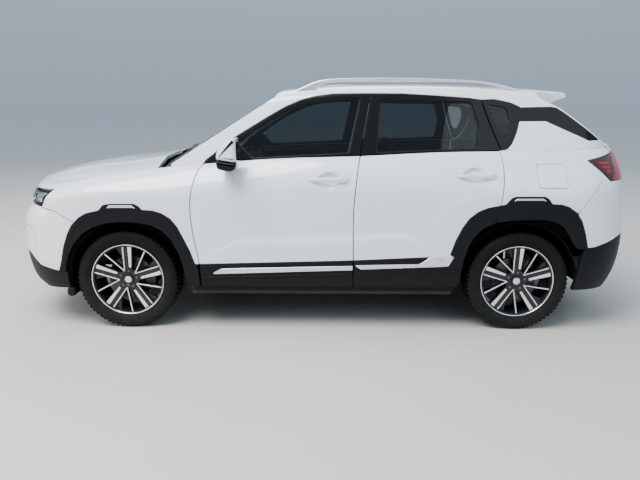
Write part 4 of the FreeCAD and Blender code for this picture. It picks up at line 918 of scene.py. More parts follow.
@dataclass(frozen=True)
class Sheet:
    """One surface of the skin with the scale and facing of its parameters."""

    surface: Surface
    facing: Facing
    scale: tuple[float, float] = (1, 1)

    def normals(self, a: Array, b: Array) -> Array:
        """Outward normals of the surface.

        Args:
            a: first parameters.
            b: second parameters.

        Returns:
            Rows of X, Y and Z, of length one.
        """
        step_a, step_b = 1.0 / self.scale[0], 1.0 / self.scale[1]
        along = self.surface(a + step_a, b) - self.surface(a - step_a, b)
        across = self.surface(a, b + step_b) - self.surface(a, b - step_b)
        return unit(np.cross(along, across) * self.facing.value, 1e-12)

    def at(self, params: Array) -> tuple[Array, Array]:
        """Points of the surface at rows of parameters, and its outward normals there."""
        a, b = params[:, 0], params[:, 1]
        return self.surface(a, b), self.normals(a, b)

    def cut(self, loop: Array, holes: Sequence[Array] = (), spacing: float = 16.0, hem: Hem = Hem(),
            lift: float = 0.0, flush: Array | None = None, finish: int = 0, inner: float = 0.0,
            inner_finish: int = 1) -> Patch:
        """Cuts a panel out of the surface and rolls its edges.

        Args:
            loop: closed outline in the surface's parameters.
            holes: closed outlines of openings.
            spacing: distance between the mesh's inner points.
            hem: roll and return of the edges.
            lift: distance that the panel stands proud of the surface.
            flush: True for each outline point whose edge is left plain.
            finish: finish number of the face and edges.
            inner: depth of a second face behind the panel, 0 for none.
            inner_finish: finish number of that face.

        Returns:
            The panel's mesh data.
        """
        turned = self.facing is Facing.TURNED
        if flush is not None and loop_area(loop) <= 0:
            flush = flush[::-1]
        loops = [loop if loop_area(loop) > 0 else loop[::-1]]
        loops += [hole if loop_area(hole) < 0 else hole[::-1] for hole in holes]
        loops = [part * np.array(self.scale) for part in loops]
        patch = Patch()
        params, triangles, rings = self._fill(loops, spacing, 0.5)
        place, normal = self.at(params / np.array(self.scale))
        place = place + normal * lift
        rims = [self._rim(ring, place, normal) for ring in rings]
        if flush is not None:
            rims[0].weight[flush] = 0.0
        for rim in rims:
            place[rim.ring] = rim.base - rim.away * (hem.roll * rim.weight)[:, None]
        first = patch.add_points(place, normal)
        patch.add_triangles(first, triangles, turned, finish)
        for rim in rims:
            self._roll(patch, rim, first, hem, finish, inner, inner_finish)
        if inner > 0.0:
            self._back(patch, loops, inner, lift, inner_finish)
        return patch

    def _fill(self, loops: list[Array], spacing: float, clear: float) -> tuple[Array, Array,
            list[Array]]:
        """Triangles over the scaled outline, with the numbers of its edge points.

        Args:
            loops: outline and openings, scaled.
            spacing: distance between inner points.
            clear: share of the spacing kept free at the edge.

        Returns:
            Points, triangles and the numbers of each outline's points.
        """
        border = np.concatenate(loops)
        low, high = border.min(0), border.max(0)
        xs = np.arange(low[0] + spacing * 0.5, high[0], spacing)
        ys = np.arange(low[1] + spacing * 0.5, high[1], spacing)
        grid = np.stack(np.meshgrid(xs, ys), axis=-1).reshape(-1, 2)
        grid[:, 0] += np.where((np.round((grid[:, 1] - low[1]) / spacing).astype(int) % 2) > 0,
            spacing * 0.25, -spacing * 0.25)
        inside = inside_loop(grid, loops[0])
        for hole in loops[1:]:
            inside &= ~inside_loop(grid, hole)
        grid = grid[inside]
        if len(grid):
            near = np.full(len(grid), 1e9)
            for chunk in np.array_split(border, max(len(border) // 200, 1)):
                gap = np.linalg.norm(grid[:, None, :] - chunk[None, :, :], axis=2).min(axis=1)
                near = np.minimum(near, gap)
            grid = grid[near > spacing * clear]
        points = np.concatenate([border, grid]) if len(grid) else border
        edges, start = [], 0
        for part in loops:
            count = len(part)
            edges += [(start + i, start + (i + 1) % count) for i in range(count)]
            start += count
        result = delaunay_2d_cdt([Vector(p) for p in points.tolist()], edges, [], 0, 1e-4, True)
        verts = np.array([(v[0], v[1]) for v in result[0]])
        triangles = np.array([face for face in result[2] if len(face) == 3], int)
        centres = verts[triangles].mean(axis=1)
        keep = inside_loop(centres, loops[0])
        for hole in loops[1:]:
            keep &= ~inside_loop(centres, hole)
        triangles = triangles[keep]
        corner = verts[triangles]
        area = np.cross(corner[:, 1] - corner[:, 0], corner[:, 2] - corner[:, 0])
        triangles = np.where((area < 0)[:, None], triangles[:, ::-1], triangles)
        lookup = {}
        for new, origins in enumerate(result[3]):
            for origin in origins:
                lookup[origin] = new
        rings, start = [], 0
        for part in loops:
            rings.append(np.array([lookup[start + i] for i in range(len(part))]))
            start += len(part)
        return verts, triangles, rings

    def _rim(self, ring: Array, place: Array, normal: Array) -> Rim:
        """One edge of a panel, from its point numbers and the panel's points and normals.

        Args:
            ring: numbers of the edge's points.
            place: places of the points.
            normal: normals of the points.

        Returns:
            The edge, its weights all 1.
        """
        base, face = place[ring], normal[ring]
        run = np.roll(base, -1, axis=0) - np.roll(base, 1, axis=0)
        away = unit(np.cross(run, face) * self.facing.value)
        return Rim(ring, base, face, away, np.ones(len(ring)))

    def _roll(self, patch: Patch, rim: Rim, first: int, hem: Hem, finish: int, inner: float,
            inner_finish: int) -> None:
        """Adds the rolled edge and the return of one outline.

        Args:
            patch: the mesh data that is added to.
            rim: the edge.
            first: number of the panel's first point.
            hem: its roll and return.
            finish: finish number of the faces.
            inner: depth of the inner face, 0 for none.
            inner_finish: finish number of the inner face.
        """
        turned = self.facing is Facing.TURNED
        base, normal, away = rim.base, rim.normal, rim.away
        count = len(rim.ring)
        shift = hem.roll * rim.weight[:, None]
        rows: list[Sequence[int]] = [(first + rim.ring).tolist()]
        for step in range(1, hem.steps + 1):
            angle = 0.5 * math.pi * step / hem.steps
            spot = base - away * shift * (1 - math.sin(angle)) - normal * shift * (1 - math.cos(angle))
            start = patch.add_points(spot, normal * math.cos(angle) + away * math.sin(angle))
            rows.append(range(start, start + count))
        depth = hem.depth if inner <= 0.0 else INNER_RETURN
        deep = base - normal * ((hem.roll + depth) * rim.weight)[:, None]
        start = patch.add_points(deep, away)
        rows.append(range(start, start + count))
        patch.band(rows, finish, turned, rim.weight > 0)
        if inner > 0.0:
            tiers = [(deep, -normal), (deep - away * INNER_STEP, -normal),
                (deep - away * INNER_STEP, away), (base - away * INNER_STEP - normal * inner, away)]
            starts = [patch.add_points(spot, facing) for spot, facing in tiers]
            rows = [range(start, start + count) for start in starts]
            patch.band(rows[:2], inner_finish, turned)
            patch.band(rows[2:], inner_finish, turned)

    def _back(self, patch: Patch, loops: list[Array], inner: float, lift: float, finish: int) -> None:
        """Adds the inner face of a thick panel.

        Args:
            patch: the mesh data that is added to.
            loops: outline and openings, scaled.
            inner: depth of the inner face, 0 for none.
            lift: how far it stands out from the skin.
            finish: finish number of the faces.
        """
        params, triangles, rings = self._fill(loops, 40.0, 0.7)
        place, normal = self.at(params / np.array(self.scale))
        for ring in rings:
            rim = self._rim(ring, place, normal)
            place[ring] = rim.base - rim.away * INNER_STEP
        first = patch.add_points(place + normal * (lift - inner), -normal)
        patch.add_triangles(first, triangles, self.facing is Facing.DIRECT, finish)


LOWER = Sheet(SKIN.lower, Facing.TURNED, (1, 85))
WALL = Sheet(SKIN.wall, Facing.TURNED)
PILLAR = Sheet(SKIN.pillar, Facing.TURNED, (1, 250))
ROOF = Sheet(SKIN.roof, Facing.DIRECT)
BONNET = Sheet(SKIN.bonnet, Facing.DIRECT)
SCREEN = Sheet(SKIN.screen, Facing.DIRECT)
REAR_WINDOW = Sheet(SKIN.rear_window, Facing.TURNED)


def on_lower(points: Array) -> Array:
    """Lower-body parameters of side-view points in X and Z."""
    return SKIN.find(points[:, 0], points[:, 1], 0, points[:, 0])


def on_lower_front(points: Array, sign: float) -> Array:
    """Lower-body parameters of end-view points in Y and Z; sign 1 is the nose."""
    start = sign * (SKIN.u_end - np.abs(points[:, 0]))
    return SKIN.find(points[:, 0], points[:, 1], 1, start)


def on_pillar(points: Array) -> Array:
    """Pillar parameters of side-view points in X and Z."""
    return np.stack([points[:, 0], SKIN.pillar_row(points[:, 0], points[:, 1])], axis=-1)


class NodeSheet:
    """Adds nodes to one tree."""

    def __init__(self, tree: bpy.types.NodeTree) -> None:
        """Keeps the tree to work on."""
        self.tree = tree

    def feed(self, node: bpy.types.Node, values: dict[int | str, object]) -> None:
        """Links or sets a node's inputs.

        Args:
            node: the node.
            values: sockets or plain values by input.
        """
        for key, value in values.items():
            if isinstance(value, bpy.types.NodeSocket):
                self.tree.links.new(value, node.inputs[key])
            else:
                node.inputs[key].default_value = value

    def node(self, kind: str, values: dict[int | str, object] | None = None,
            **options: object) -> bpy.types.Node:
        """Adds a node with its options and inputs.

        Args:
            kind: the type's name.
            values: sockets or plain values by input.

        Returns:
            The node.
        """
        item = self.tree.nodes.new(kind)
        for key, value in options.items():
            setattr(item, key, value)
        self.feed(item, values or {})
        return item

    def math(self, operation: str, one: object, two: object = 0.0) -> bpy.types.NodeSocket:
        """Output of a Math node between two sockets or numbers."""
        return self.node("ShaderNodeMath", {0: one, 1: two}, operation=operation).outputs[0]


class Socket(Enum):
    """Kinds of socket of the node groups."""

    NUMBER = "NodeSocketFloat"
    WHOLE = "NodeSocketInt"
    COLOUR = "NodeSocketColor"
    VECTOR = "NodeSocketVector"
    GEOMETRY = "NodeSocketGeometry"
    MATERIAL = "NodeSocketMaterial"


def new_group(name: str, kind: str, inputs: Sequence[tuple], outputs: Sequence[tuple]) -> NodeSheet:
    """Starts a node group; a socket's row is its name, its kind and, for most, its value.

    Args:
        name: the name it is given.
        kind: the type's name.
        inputs: rows of the group's inputs.
        outputs: rows of the group's outputs.

    Returns:
        A sheet on the group's tree.
    """
    tree = bpy.data.node_groups.new(name, kind)
    for way, rows in (("INPUT", inputs), ("OUTPUT", outputs)):
        for label, socket, *value in rows:
            made = tree.interface.new_socket(label, in_out=way, socket_type=socket.value)
            if value:
                made.default_value = value[0]
    return NodeSheet(tree)


def tone_group() -> bpy.types.NodeTree:
    """Group that drifts a colour over the surface and lays road dust low down.

    Returns:
        The group's tree.
    """
    sheet = new_group("tone_and_dust", "ShaderNodeTree", [("Place", Socket.VECTOR),
        ("Light", Socket.COLOUR, (0.8, 0.8, 0.8, 1.0)), ("Dark", Socket.COLOUR, (0.7, 0.7, 0.7, 1.0)),
        ("Dust", Socket.COLOUR, (0.42, 0.39, 0.34, 1.0)), ("Scale", Socket.NUMBER, 3.0),
        ("Dust Amount", Socket.NUMBER, 0.2), ("Dust Height", Socket.NUMBER, 0.7)],
        [("Colour", Socket.COLOUR)])
    given = sheet.node("NodeGroupInput").outputs
    cloud = sheet.node("ShaderNodeTexNoise", {"Vector": given["Place"], "Scale": given["Scale"],
        "Detail": 3.0})
    drift = sheet.node("ShaderNodeMix", {0: cloud.outputs["Fac"], 6: given["Dark"], 7: given["Light"]},
        data_type="RGBA")
    split = sheet.node("ShaderNodeSeparateXYZ", {0: given["Place"]})
    fall = sheet.node("ShaderNodeMapRange", {"Value": split.outputs["Z"],
        "From Max": given["Dust Height"], "To Min": 1.0, "To Max": 0.0},
        interpolation_type="SMOOTHSTEP")
    specks = sheet.node("ShaderNodeTexNoise", {"Vector": given["Place"], "Scale": 26.0, "Detail": 6.0})
    patchy = sheet.math("MULTIPLY", fall.outputs["Result"], specks.outputs["Fac"])
    amount = sheet.node("ShaderNodeMath", {0: patchy, 1: given["Dust Amount"]}, operation="MULTIPLY",
        use_clamp=True)
    veil = sheet.node("ShaderNodeMix", {0: amount.outputs[0], 6: drift.outputs[2], 7: given["Dust"]},
        data_type="RGBA")
    sheet.node("NodeGroupOutput", {"Colour": veil.outputs[2]})
    return sheet.tree


def grain_group() -> bpy.types.NodeTree:
    """Group that gives a fine moulded grain as a height, and a roughness that drifts.

    Returns:
        The group's tree.
    """
    sheet = new_group("moulded_grain", "ShaderNodeTree", [("Place", Socket.VECTOR),
        ("Scale", Socket.NUMBER, 900.0), ("Low Roughness", Socket.NUMBER, 0.4),
        ("High Roughness", Socket.NUMBER, 0.6)], [("Height", Socket.NUMBER),
        ("Roughness", Socket.NUMBER)])
    given = sheet.node("NodeGroupInput").outputs
    cells = sheet.node("ShaderNodeTexVoronoi", {"Vector": given["Place"], "Scale": given["Scale"]},
        feature="SMOOTH_F1")
    cloud = sheet.node("ShaderNodeTexNoise", {"Vector": given["Place"], "Scale": 5.0, "Detail": 5.0})
    span = sheet.node("ShaderNodeMapRange", {"Value": cloud.outputs["Fac"], "From Min": 0.3,
        "From Max": 0.7, "To Min": given["Low Roughness"], "To Max": given["High Roughness"]})
    sheet.node("NodeGroupOutput", {"Height": cells.outputs["Distance"],
        "Roughness": span.outputs["Result"]})
    return sheet.tree


TONE = tone_group()
GRAIN = grain_group()


@dataclass(frozen=True)
class Finish:
    """One surface finish: colours, gloss, grain and dust."""

    name: str
    light: tuple[float, float, float]
    dark: tuple[float, float, float]
    rough: tuple[float, float] = (0.4, 0.5)
    metallic: float = 0.0
    coat: float = 0.0
    coat_rough: float = 0.03
    grain_scale: float = 900.0
    bump: float = 0.0
    bump_depth: float = 0.0004
    dust: float = 0.15
    dust_height: float = 0.7
    drift_scale: float = 2.0
    specular: float = 0.5
    transmission: float = 0.0
    ior: float = 1.5
    glow: float = 0.0

    def build(self) -> bpy.types.Material:
        """Builds the material on Object coordinates.

        Returns:
            The material.
        """
        material = bpy.data.materials.new(self.name)
        material.use_nodes = True
        sheet = NodeSheet(material.node_tree)
        place = sheet.node("ShaderNodeTexCoord").outputs["Object"]
        tone = sheet.node("ShaderNodeGroup", node_tree=TONE)
        sheet.feed(tone, {"Place": place, "Light": (*self.light, 1.0), "Dark": (*self.dark, 1.0),
            "Scale": self.drift_scale, "Dust Amount": self.dust, "Dust Height": self.dust_height})
        grain = sheet.node("ShaderNodeGroup", node_tree=GRAIN)
        sheet.feed(grain, {"Place": place, "Scale": self.grain_scale, "Low Roughness": self.rough[0],
            "High Roughness": self.rough[1]})
        values = {"Base Color": tone.outputs["Colour"], "Roughness": grain.outputs["Roughness"],
            "Metallic": self.metallic, "Coat Weight": self.coat, "Coat Roughness": self.coat_rough,
            "Specular IOR Level": self.specular, "Transmission Weight": self.transmission,
            "IOR": self.ior}
        if self.bump > 0.0:
            relief = sheet.node("ShaderNodeBump", {"Strength": self.bump, "Distance": self.bump_depth,
                "Height": grain.outputs["Height"]})
            values["Normal"] = relief.outputs["Normal"]
        if self.glow > 0.0:
            values["Emission Color"] = tone.outputs["Colour"]
            values["Emission Strength"] = self.glow
        sheet.feed(material.node_tree.nodes["Principled BSDF"], values)
        return material


class Coat(Enum):
    """Every finish of the vehicle, and the studio's floor."""

    PAINT = Finish("pearl_paint", (0.83, 0.868, 0.885), (0.80, 0.845, 0.863), (0.28, 0.36), coat=1.0,
        coat_rough=0.025, dust=0.05, dust_height=0.5)
    GLOSS_BLACK = Finish("gloss_black", (0.012, 0.013, 0.015), (0.008, 0.009, 0.01), (0.10, 0.18),
        coat=0.12, dust=0.04, specular=0.28)
    CLADDING = Finish("cladding_black", (0.013, 0.014, 0.016), (0.008, 0.009, 0.010), (0.42, 0.56),
        bump=0.35, grain_scale=700.0, dust=0.05, dust_height=0.45, specular=0.32)
    SILVER = Finish("satin_silver", (0.84, 0.85, 0.86), (0.76, 0.77, 0.785), (0.26, 0.36),
        metallic=0.7, dust=0.03)
    RAIL = Finish("rail_silver", (0.76, 0.79, 0.83), (0.68, 0.71, 0.75), (0.26, 0.36), metallic=0.7,
        dust=0.0)
    CHROME = Finish("bright_chrome", (0.86, 0.87, 0.88), (0.8, 0.81, 0.82), (0.05, 0.1), metallic=1.0,
        dust=0.03)
    SIDE_GLASS = Finish("tinted_glass", (0.30, 0.33, 0.34), (0.27, 0.30, 0.31), (0.0, 0.012),
        transmission=1.0, ior=1.45, dust=0.0)
    SCREEN_GLASS = Finish("screen_glass", (0.66, 0.72, 0.71), (0.62, 0.69, 0.68), (0.0, 0.01),
        transmission=1.0, ior=1.45, dust=0.0)
    LENS = Finish("clear_lens", (0.93, 0.94, 0.95), (0.9, 0.91, 0.92), (0.0, 0.015), transmission=1.0,
        ior=1.3, dust=0.0)
    # glow is a faint emission: lamp light on the tail and brake lamp bars, a painted glow on the rear
    # reflectors
    RED_LENS = Finish("red_lens", (0.42, 0.006, 0.008), (0.30, 0.004, 0.006), (0.04, 0.09), coat=0.8,
        dust=0.02, glow=0.10)
    SMOKED_LENS = Finish("smoked_lens", (0.07, 0.012, 0.014), (0.04, 0.008, 0.01), (0.04, 0.09),
        coat=0.8, dust=0.02)
    RUBBER = Finish("tyre_rubber", (0.010, 0.010, 0.011), (0.006, 0.006, 0.007), (0.58, 0.76),
        bump=0.5, grain_scale=420.0, bump_depth=0.0006, dust=0.07, drift_scale=9.0, specular=0.3)
    SEAL = Finish("soft_seal", (0.014, 0.014, 0.015), (0.01, 0.01, 0.011), (0.5, 0.65), dust=0.05)
    MACHINED = Finish("machined_face", (0.92, 0.925, 0.93), (0.84, 0.845, 0.85), (0.22, 0.32),
        metallic=0.75, coat=0.4, dust=0.03, drift_scale=14.0)
    DARK_RIM = Finish("dark_grey_rim", (0.030, 0.031, 0.034), (0.018, 0.019, 0.021), (0.24, 0.36),
        metallic=0.4, coat=0.5, dust=0.06)
    STEEL = Finish("worn_steel", (0.20, 0.19, 0.18), (0.10, 0.095, 0.09), (0.4, 0.62), metallic=0.8,
        bump=0.3, grain_scale=160.0, dust=0.4)
    DISC = Finish("brake_disc", (0.16, 0.155, 0.15), (0.10, 0.097, 0.094), (0.3, 0.42), metallic=0.9,
        bump=0.2, grain_scale=260.0, dust=0.1)
    IRON = Finish("cast_iron", (0.13, 0.13, 0.13), (0.08, 0.08, 0.082), (0.5, 0.7), metallic=0.6,
        bump=0.5, grain_scale=130.0, dust=0.3)
    STRUCTURE = Finish("underbody_coat", (0.045, 0.046, 0.048), (0.028, 0.029, 0.03), (0.6, 0.8),
        bump=0.5, grain_scale=90.0, dust=0.12)
    LINER = Finish("liner_felt", (0.012, 0.012, 0.013), (0.008, 0.008, 0.009), (0.8, 0.95), bump=0.7,
        grain_scale=260.0, dust=0.06, specular=0.25)
    TRIM = Finish("cabin_plastic", (0.035, 0.036, 0.039), (0.022, 0.023, 0.026), (0.5, 0.65),
        bump=0.35, grain_scale=620.0, dust=0.0)
    FABRIC = Finish("seat_cloth", (0.055, 0.056, 0.06), (0.03, 0.031, 0.034), (0.8, 0.95), bump=0.8,
        grain_scale=380.0, dust=0.0, drift_scale=8.0)
    HEADLINER = Finish("roof_lining", (0.30, 0.30, 0.29), (0.25, 0.25, 0.245), (0.85, 0.95), bump=0.4,
        grain_scale=420.0, dust=0.0)
    MIRROR = Finish("mirror_glass", (0.9, 0.91, 0.92), (0.86, 0.87, 0.88), (0.0, 0.02), metallic=1.0,
        dust=0.0)
    FLOOR = Finish("pale_floor", (0.66, 0.635, 0.59), (0.60, 0.58, 0.545), (0.7, 0.85), bump=0.2,
        grain_scale=60.0, dust=0.0, drift_scale=0.8)


MATERIALS = {coat: coat.value.build() for coat in Coat}


def both_sides(name: str, patch: Patch, coat: Coat, replaces: Sequence[str] = (),
        body: str = "root") -> bpy.types.Object:
    """Makes one piece of a left-hand patch and its mirror image."""
    return make_piece(name, patch.with_mirror(), [coat], body, replaces)


@dataclass
class Studio:
    """Floor, soft light and the camera at the photograph's angle."""

    lens: float = 32.2
    place: tuple[float, float, float] = (-0.022, 4.533, 1.465)
    yaw: float = -0.54
    pitch: float = 13.05
    roll: float = 0.13

    def build(self) -> None:
        """Sets up the floor, the lights, the world and the camera."""
        self._floor()
        self._lights()
        self._camera()

    @staticmethod
    def _floor() -> None:
        """Pale concrete-coloured floor."""
        mesh = bpy.data.meshes.new("floor")
        reach = 40.0
        corners = [(-reach, -reach, 0), (reach, -reach, 0), (reach, reach, 0), (-reach, reach, 0)]
        mesh.from_pydata(corners, [], [(0, 1, 2, 3)])
        floor = bpy.data.objects.new("floor", mesh)
        bpy.context.scene.collection.objects.link(floor)
        mesh.materials.append(MATERIALS[Coat.FLOOR])

    @staticmethod
    def _lights() -> None:
        """World light and large soft lights."""
        bpy.context.scene.view_settings.look = "AgX - Medium High Contrast"
        world = bpy.data.worlds.new("soft_sky")
        bpy.context.scene.world = world
        world.use_nodes = True
        sheet = NodeSheet(world.node_tree)
        place = sheet.node("ShaderNodeTexCoord").outputs["Generated"]
        split = sheet.node("ShaderNodeSeparateXYZ", {"Vector": place})
        rise = sheet.node("ShaderNodeMapRange", {"Value": split.outputs["Z"], "From Min": 0.0,
            "From Max": 0.7})
        blend = sheet.node("ShaderNodeMix", data_type="RGBA")
        sheet.feed(blend, {0: rise.outputs["Result"], 6: (0.44, 0.53, 0.64, 1.0),
            7: (0.78, 0.93, 1.10, 1.0)})
        sheet.feed(world.node_tree.nodes["Background"], {"Color": blend.outputs[2], "Strength": 0.70})
        rows = [("key_light", (2.5, 3.5, 7.0), 5.0, 540.0, (1.0, 0.98, 0.95)),
            ("fill_light", (-5.0, 6.0, 4.5), 6.0, 90.0, (0.90, 0.97, 1.0)),
            ("back_light", (0, -7, 6), 7.0, 220.0, (1.0, 0.98, 0.95)),
            ("nose_light", (7.5, 2.5, 3.0), 4.0, 170.0, (1.0, 0.93, 0.84))]
        for name, spot, width, power, colour in rows:
            data = bpy.data.lights.new(name, "AREA")
            data.shape = "DISK"
            data.size = width
            data.energy = power
            data.color = colour
            lamp = bpy.data.objects.new(name, data)
            lamp.location = spot
            aim = Vector((0.0, 0.0, 0.6)) - Vector(spot)
            lamp.rotation_euler = aim.to_track_quat("-Z", "Y").to_euler()
            bpy.context.scene.collection.objects.link(lamp)

    def _camera(self) -> None:
        """Camera fitted to the photograph."""
        data = bpy.data.cameras.new("camera")
        data.sensor_fit = "HORIZONTAL"
        data.sensor_width = 36.0
        data.lens = self.lens
        data.clip_end = 200.0
        camera = bpy.data.objects.new("camera", data)
        yaw, pitch, roll = (math.radians(a) for a in (self.yaw, self.pitch, self.roll))
        level = Vector((-math.sin(yaw), -math.cos(yaw), 0.0))
        side = Vector((-math.cos(yaw), math.sin(yaw), 0.0))
        up = Vector((0, 0, 1))
        ahead = level * math.cos(pitch) - up * math.sin(pitch)
        above = up * math.cos(pitch) + level * math.sin(pitch)
        right = side * math.cos(roll) + above * math.sin(roll)
        over = above * math.cos(roll) - side * math.sin(roll)
        matrix = camera.matrix_world
        for row in range(3):
            matrix[row][0] = right[row]
            matrix[row][1] = over[row]
            matrix[row][2] = -ahead[row]
            matrix[row][3] = self.place[row]
        camera.matrix_world = matrix
        bpy.context.scene.collection.objects.link(camera)
        bpy.context.scene.camera = camera


# Shut lines as (height, station) rows, bottom to top.
FRONT_GAP = [(456, 806), (526, 816), (649, 837), (757, 848), (864, 849),
             (970, 835), (1068, 804), (1107, 776), (1126, 756)]
MIDDLE_GAP = [(300, -206), (461, -207), (599, -205), (789, -204),
              (948, -215), (1078, -232), (1180, -250), (1366, -284),
              (1552, -318)]
REAR_GAP = [(739, -1120), (859, -1144), (977, -1161), (1094, -1165),
            (1193, -1158)]
FRONT_WINDOW = [(559, 1240), (464, 1313), (349, 1382), (240, 1439), (140, 1480), (48, 1505),
                (-69, 1518), (-250, 1526), (-178, 1174), (461, 1140)]
REAR_WINDOW_SIDE = [(-378, 1516), (-975, 1504), (-1026, 1357), (-1006, 1205), (-348, 1177)]
QUARTER_WINDOW = [(-1089, 1483), (-1138, 1481), (-1202, 1468), (-1227, 1389), (-1208, 1305),
                  (-1180, 1278), (-1154, 1304), (-1124, 1378)]


def gap_line(rows: Points, shift: float, low: float, high: float) -> list[tuple[float, float]]:
    """Points of one side of a shut line between two heights, bottom to top.

    Args:
        rows: the shut line's heights and stations.
        shift: distance added to each station.
        low: lowest height.
        high: greatest height.

    Returns:
        Points in X and Z.
    """
    table = SmoothTable(rows)
    count = max(int((high - low) / 30.0), 2)
    return [(float(table(np.array(z))) + shift, float(z)) for z in np.linspace(low, high, count)]


def belt_line(x_from: float, x_to: float, shift: float) -> list[tuple[float, float]]:
    """Points along the top edge of the lower body."""
    xs = np.linspace(x_from, x_to, max(int(abs(x_to - x_from) / 40.0), 2))
    return [(float(x), float(z) + shift) for x, z in zip(xs, SKIN.top_edge(xs)[1])]


def grown(loop: Array, distance: float) -> Array:
    """Closed outline moved outwards by a distance.

    Args:
        loop: closed outline.
        distance: how far it moves.

    Returns:
        The moved outline.
    """
    turn = 1.0 if loop_area(loop) > 0 else -1.0
    run = np.roll(loop, -1, axis=0) - np.roll(loop, 1, axis=0)
    length = np.linalg.norm(run, axis=1, keepdims=True)
    away = np.stack([run[:, 1], -run[:, 0]], axis=-1) / np.where(length > 1e-9, length, 1.0)
    return loop + away * turn * distance


def make_pair(name: str, patch: Patch, coats: Sequence[Coat], body: str,
        replaces: Sequence[str] = ()) -> None:
    """Makes a left piece and its mirror image on their bodies.

    Args:
        name: the pieces' name without its side.
        patch: the left piece's mesh data.
        coats: finishes in the order of the patch's finish numbers.
        body: the body's name without its side, or root.
        replaces: names of the replaced nodes without their side.
    """
    other = patch.mirrored()
    for hand, part in (("left", patch), ("right", other)):
        where = body if body == "root" else f"{body}_{hand}"
        nodes = [f"{node}_{hand}" for node in replaces]
        make_piece(f"{name}_{hand}", part, coats, where, nodes)


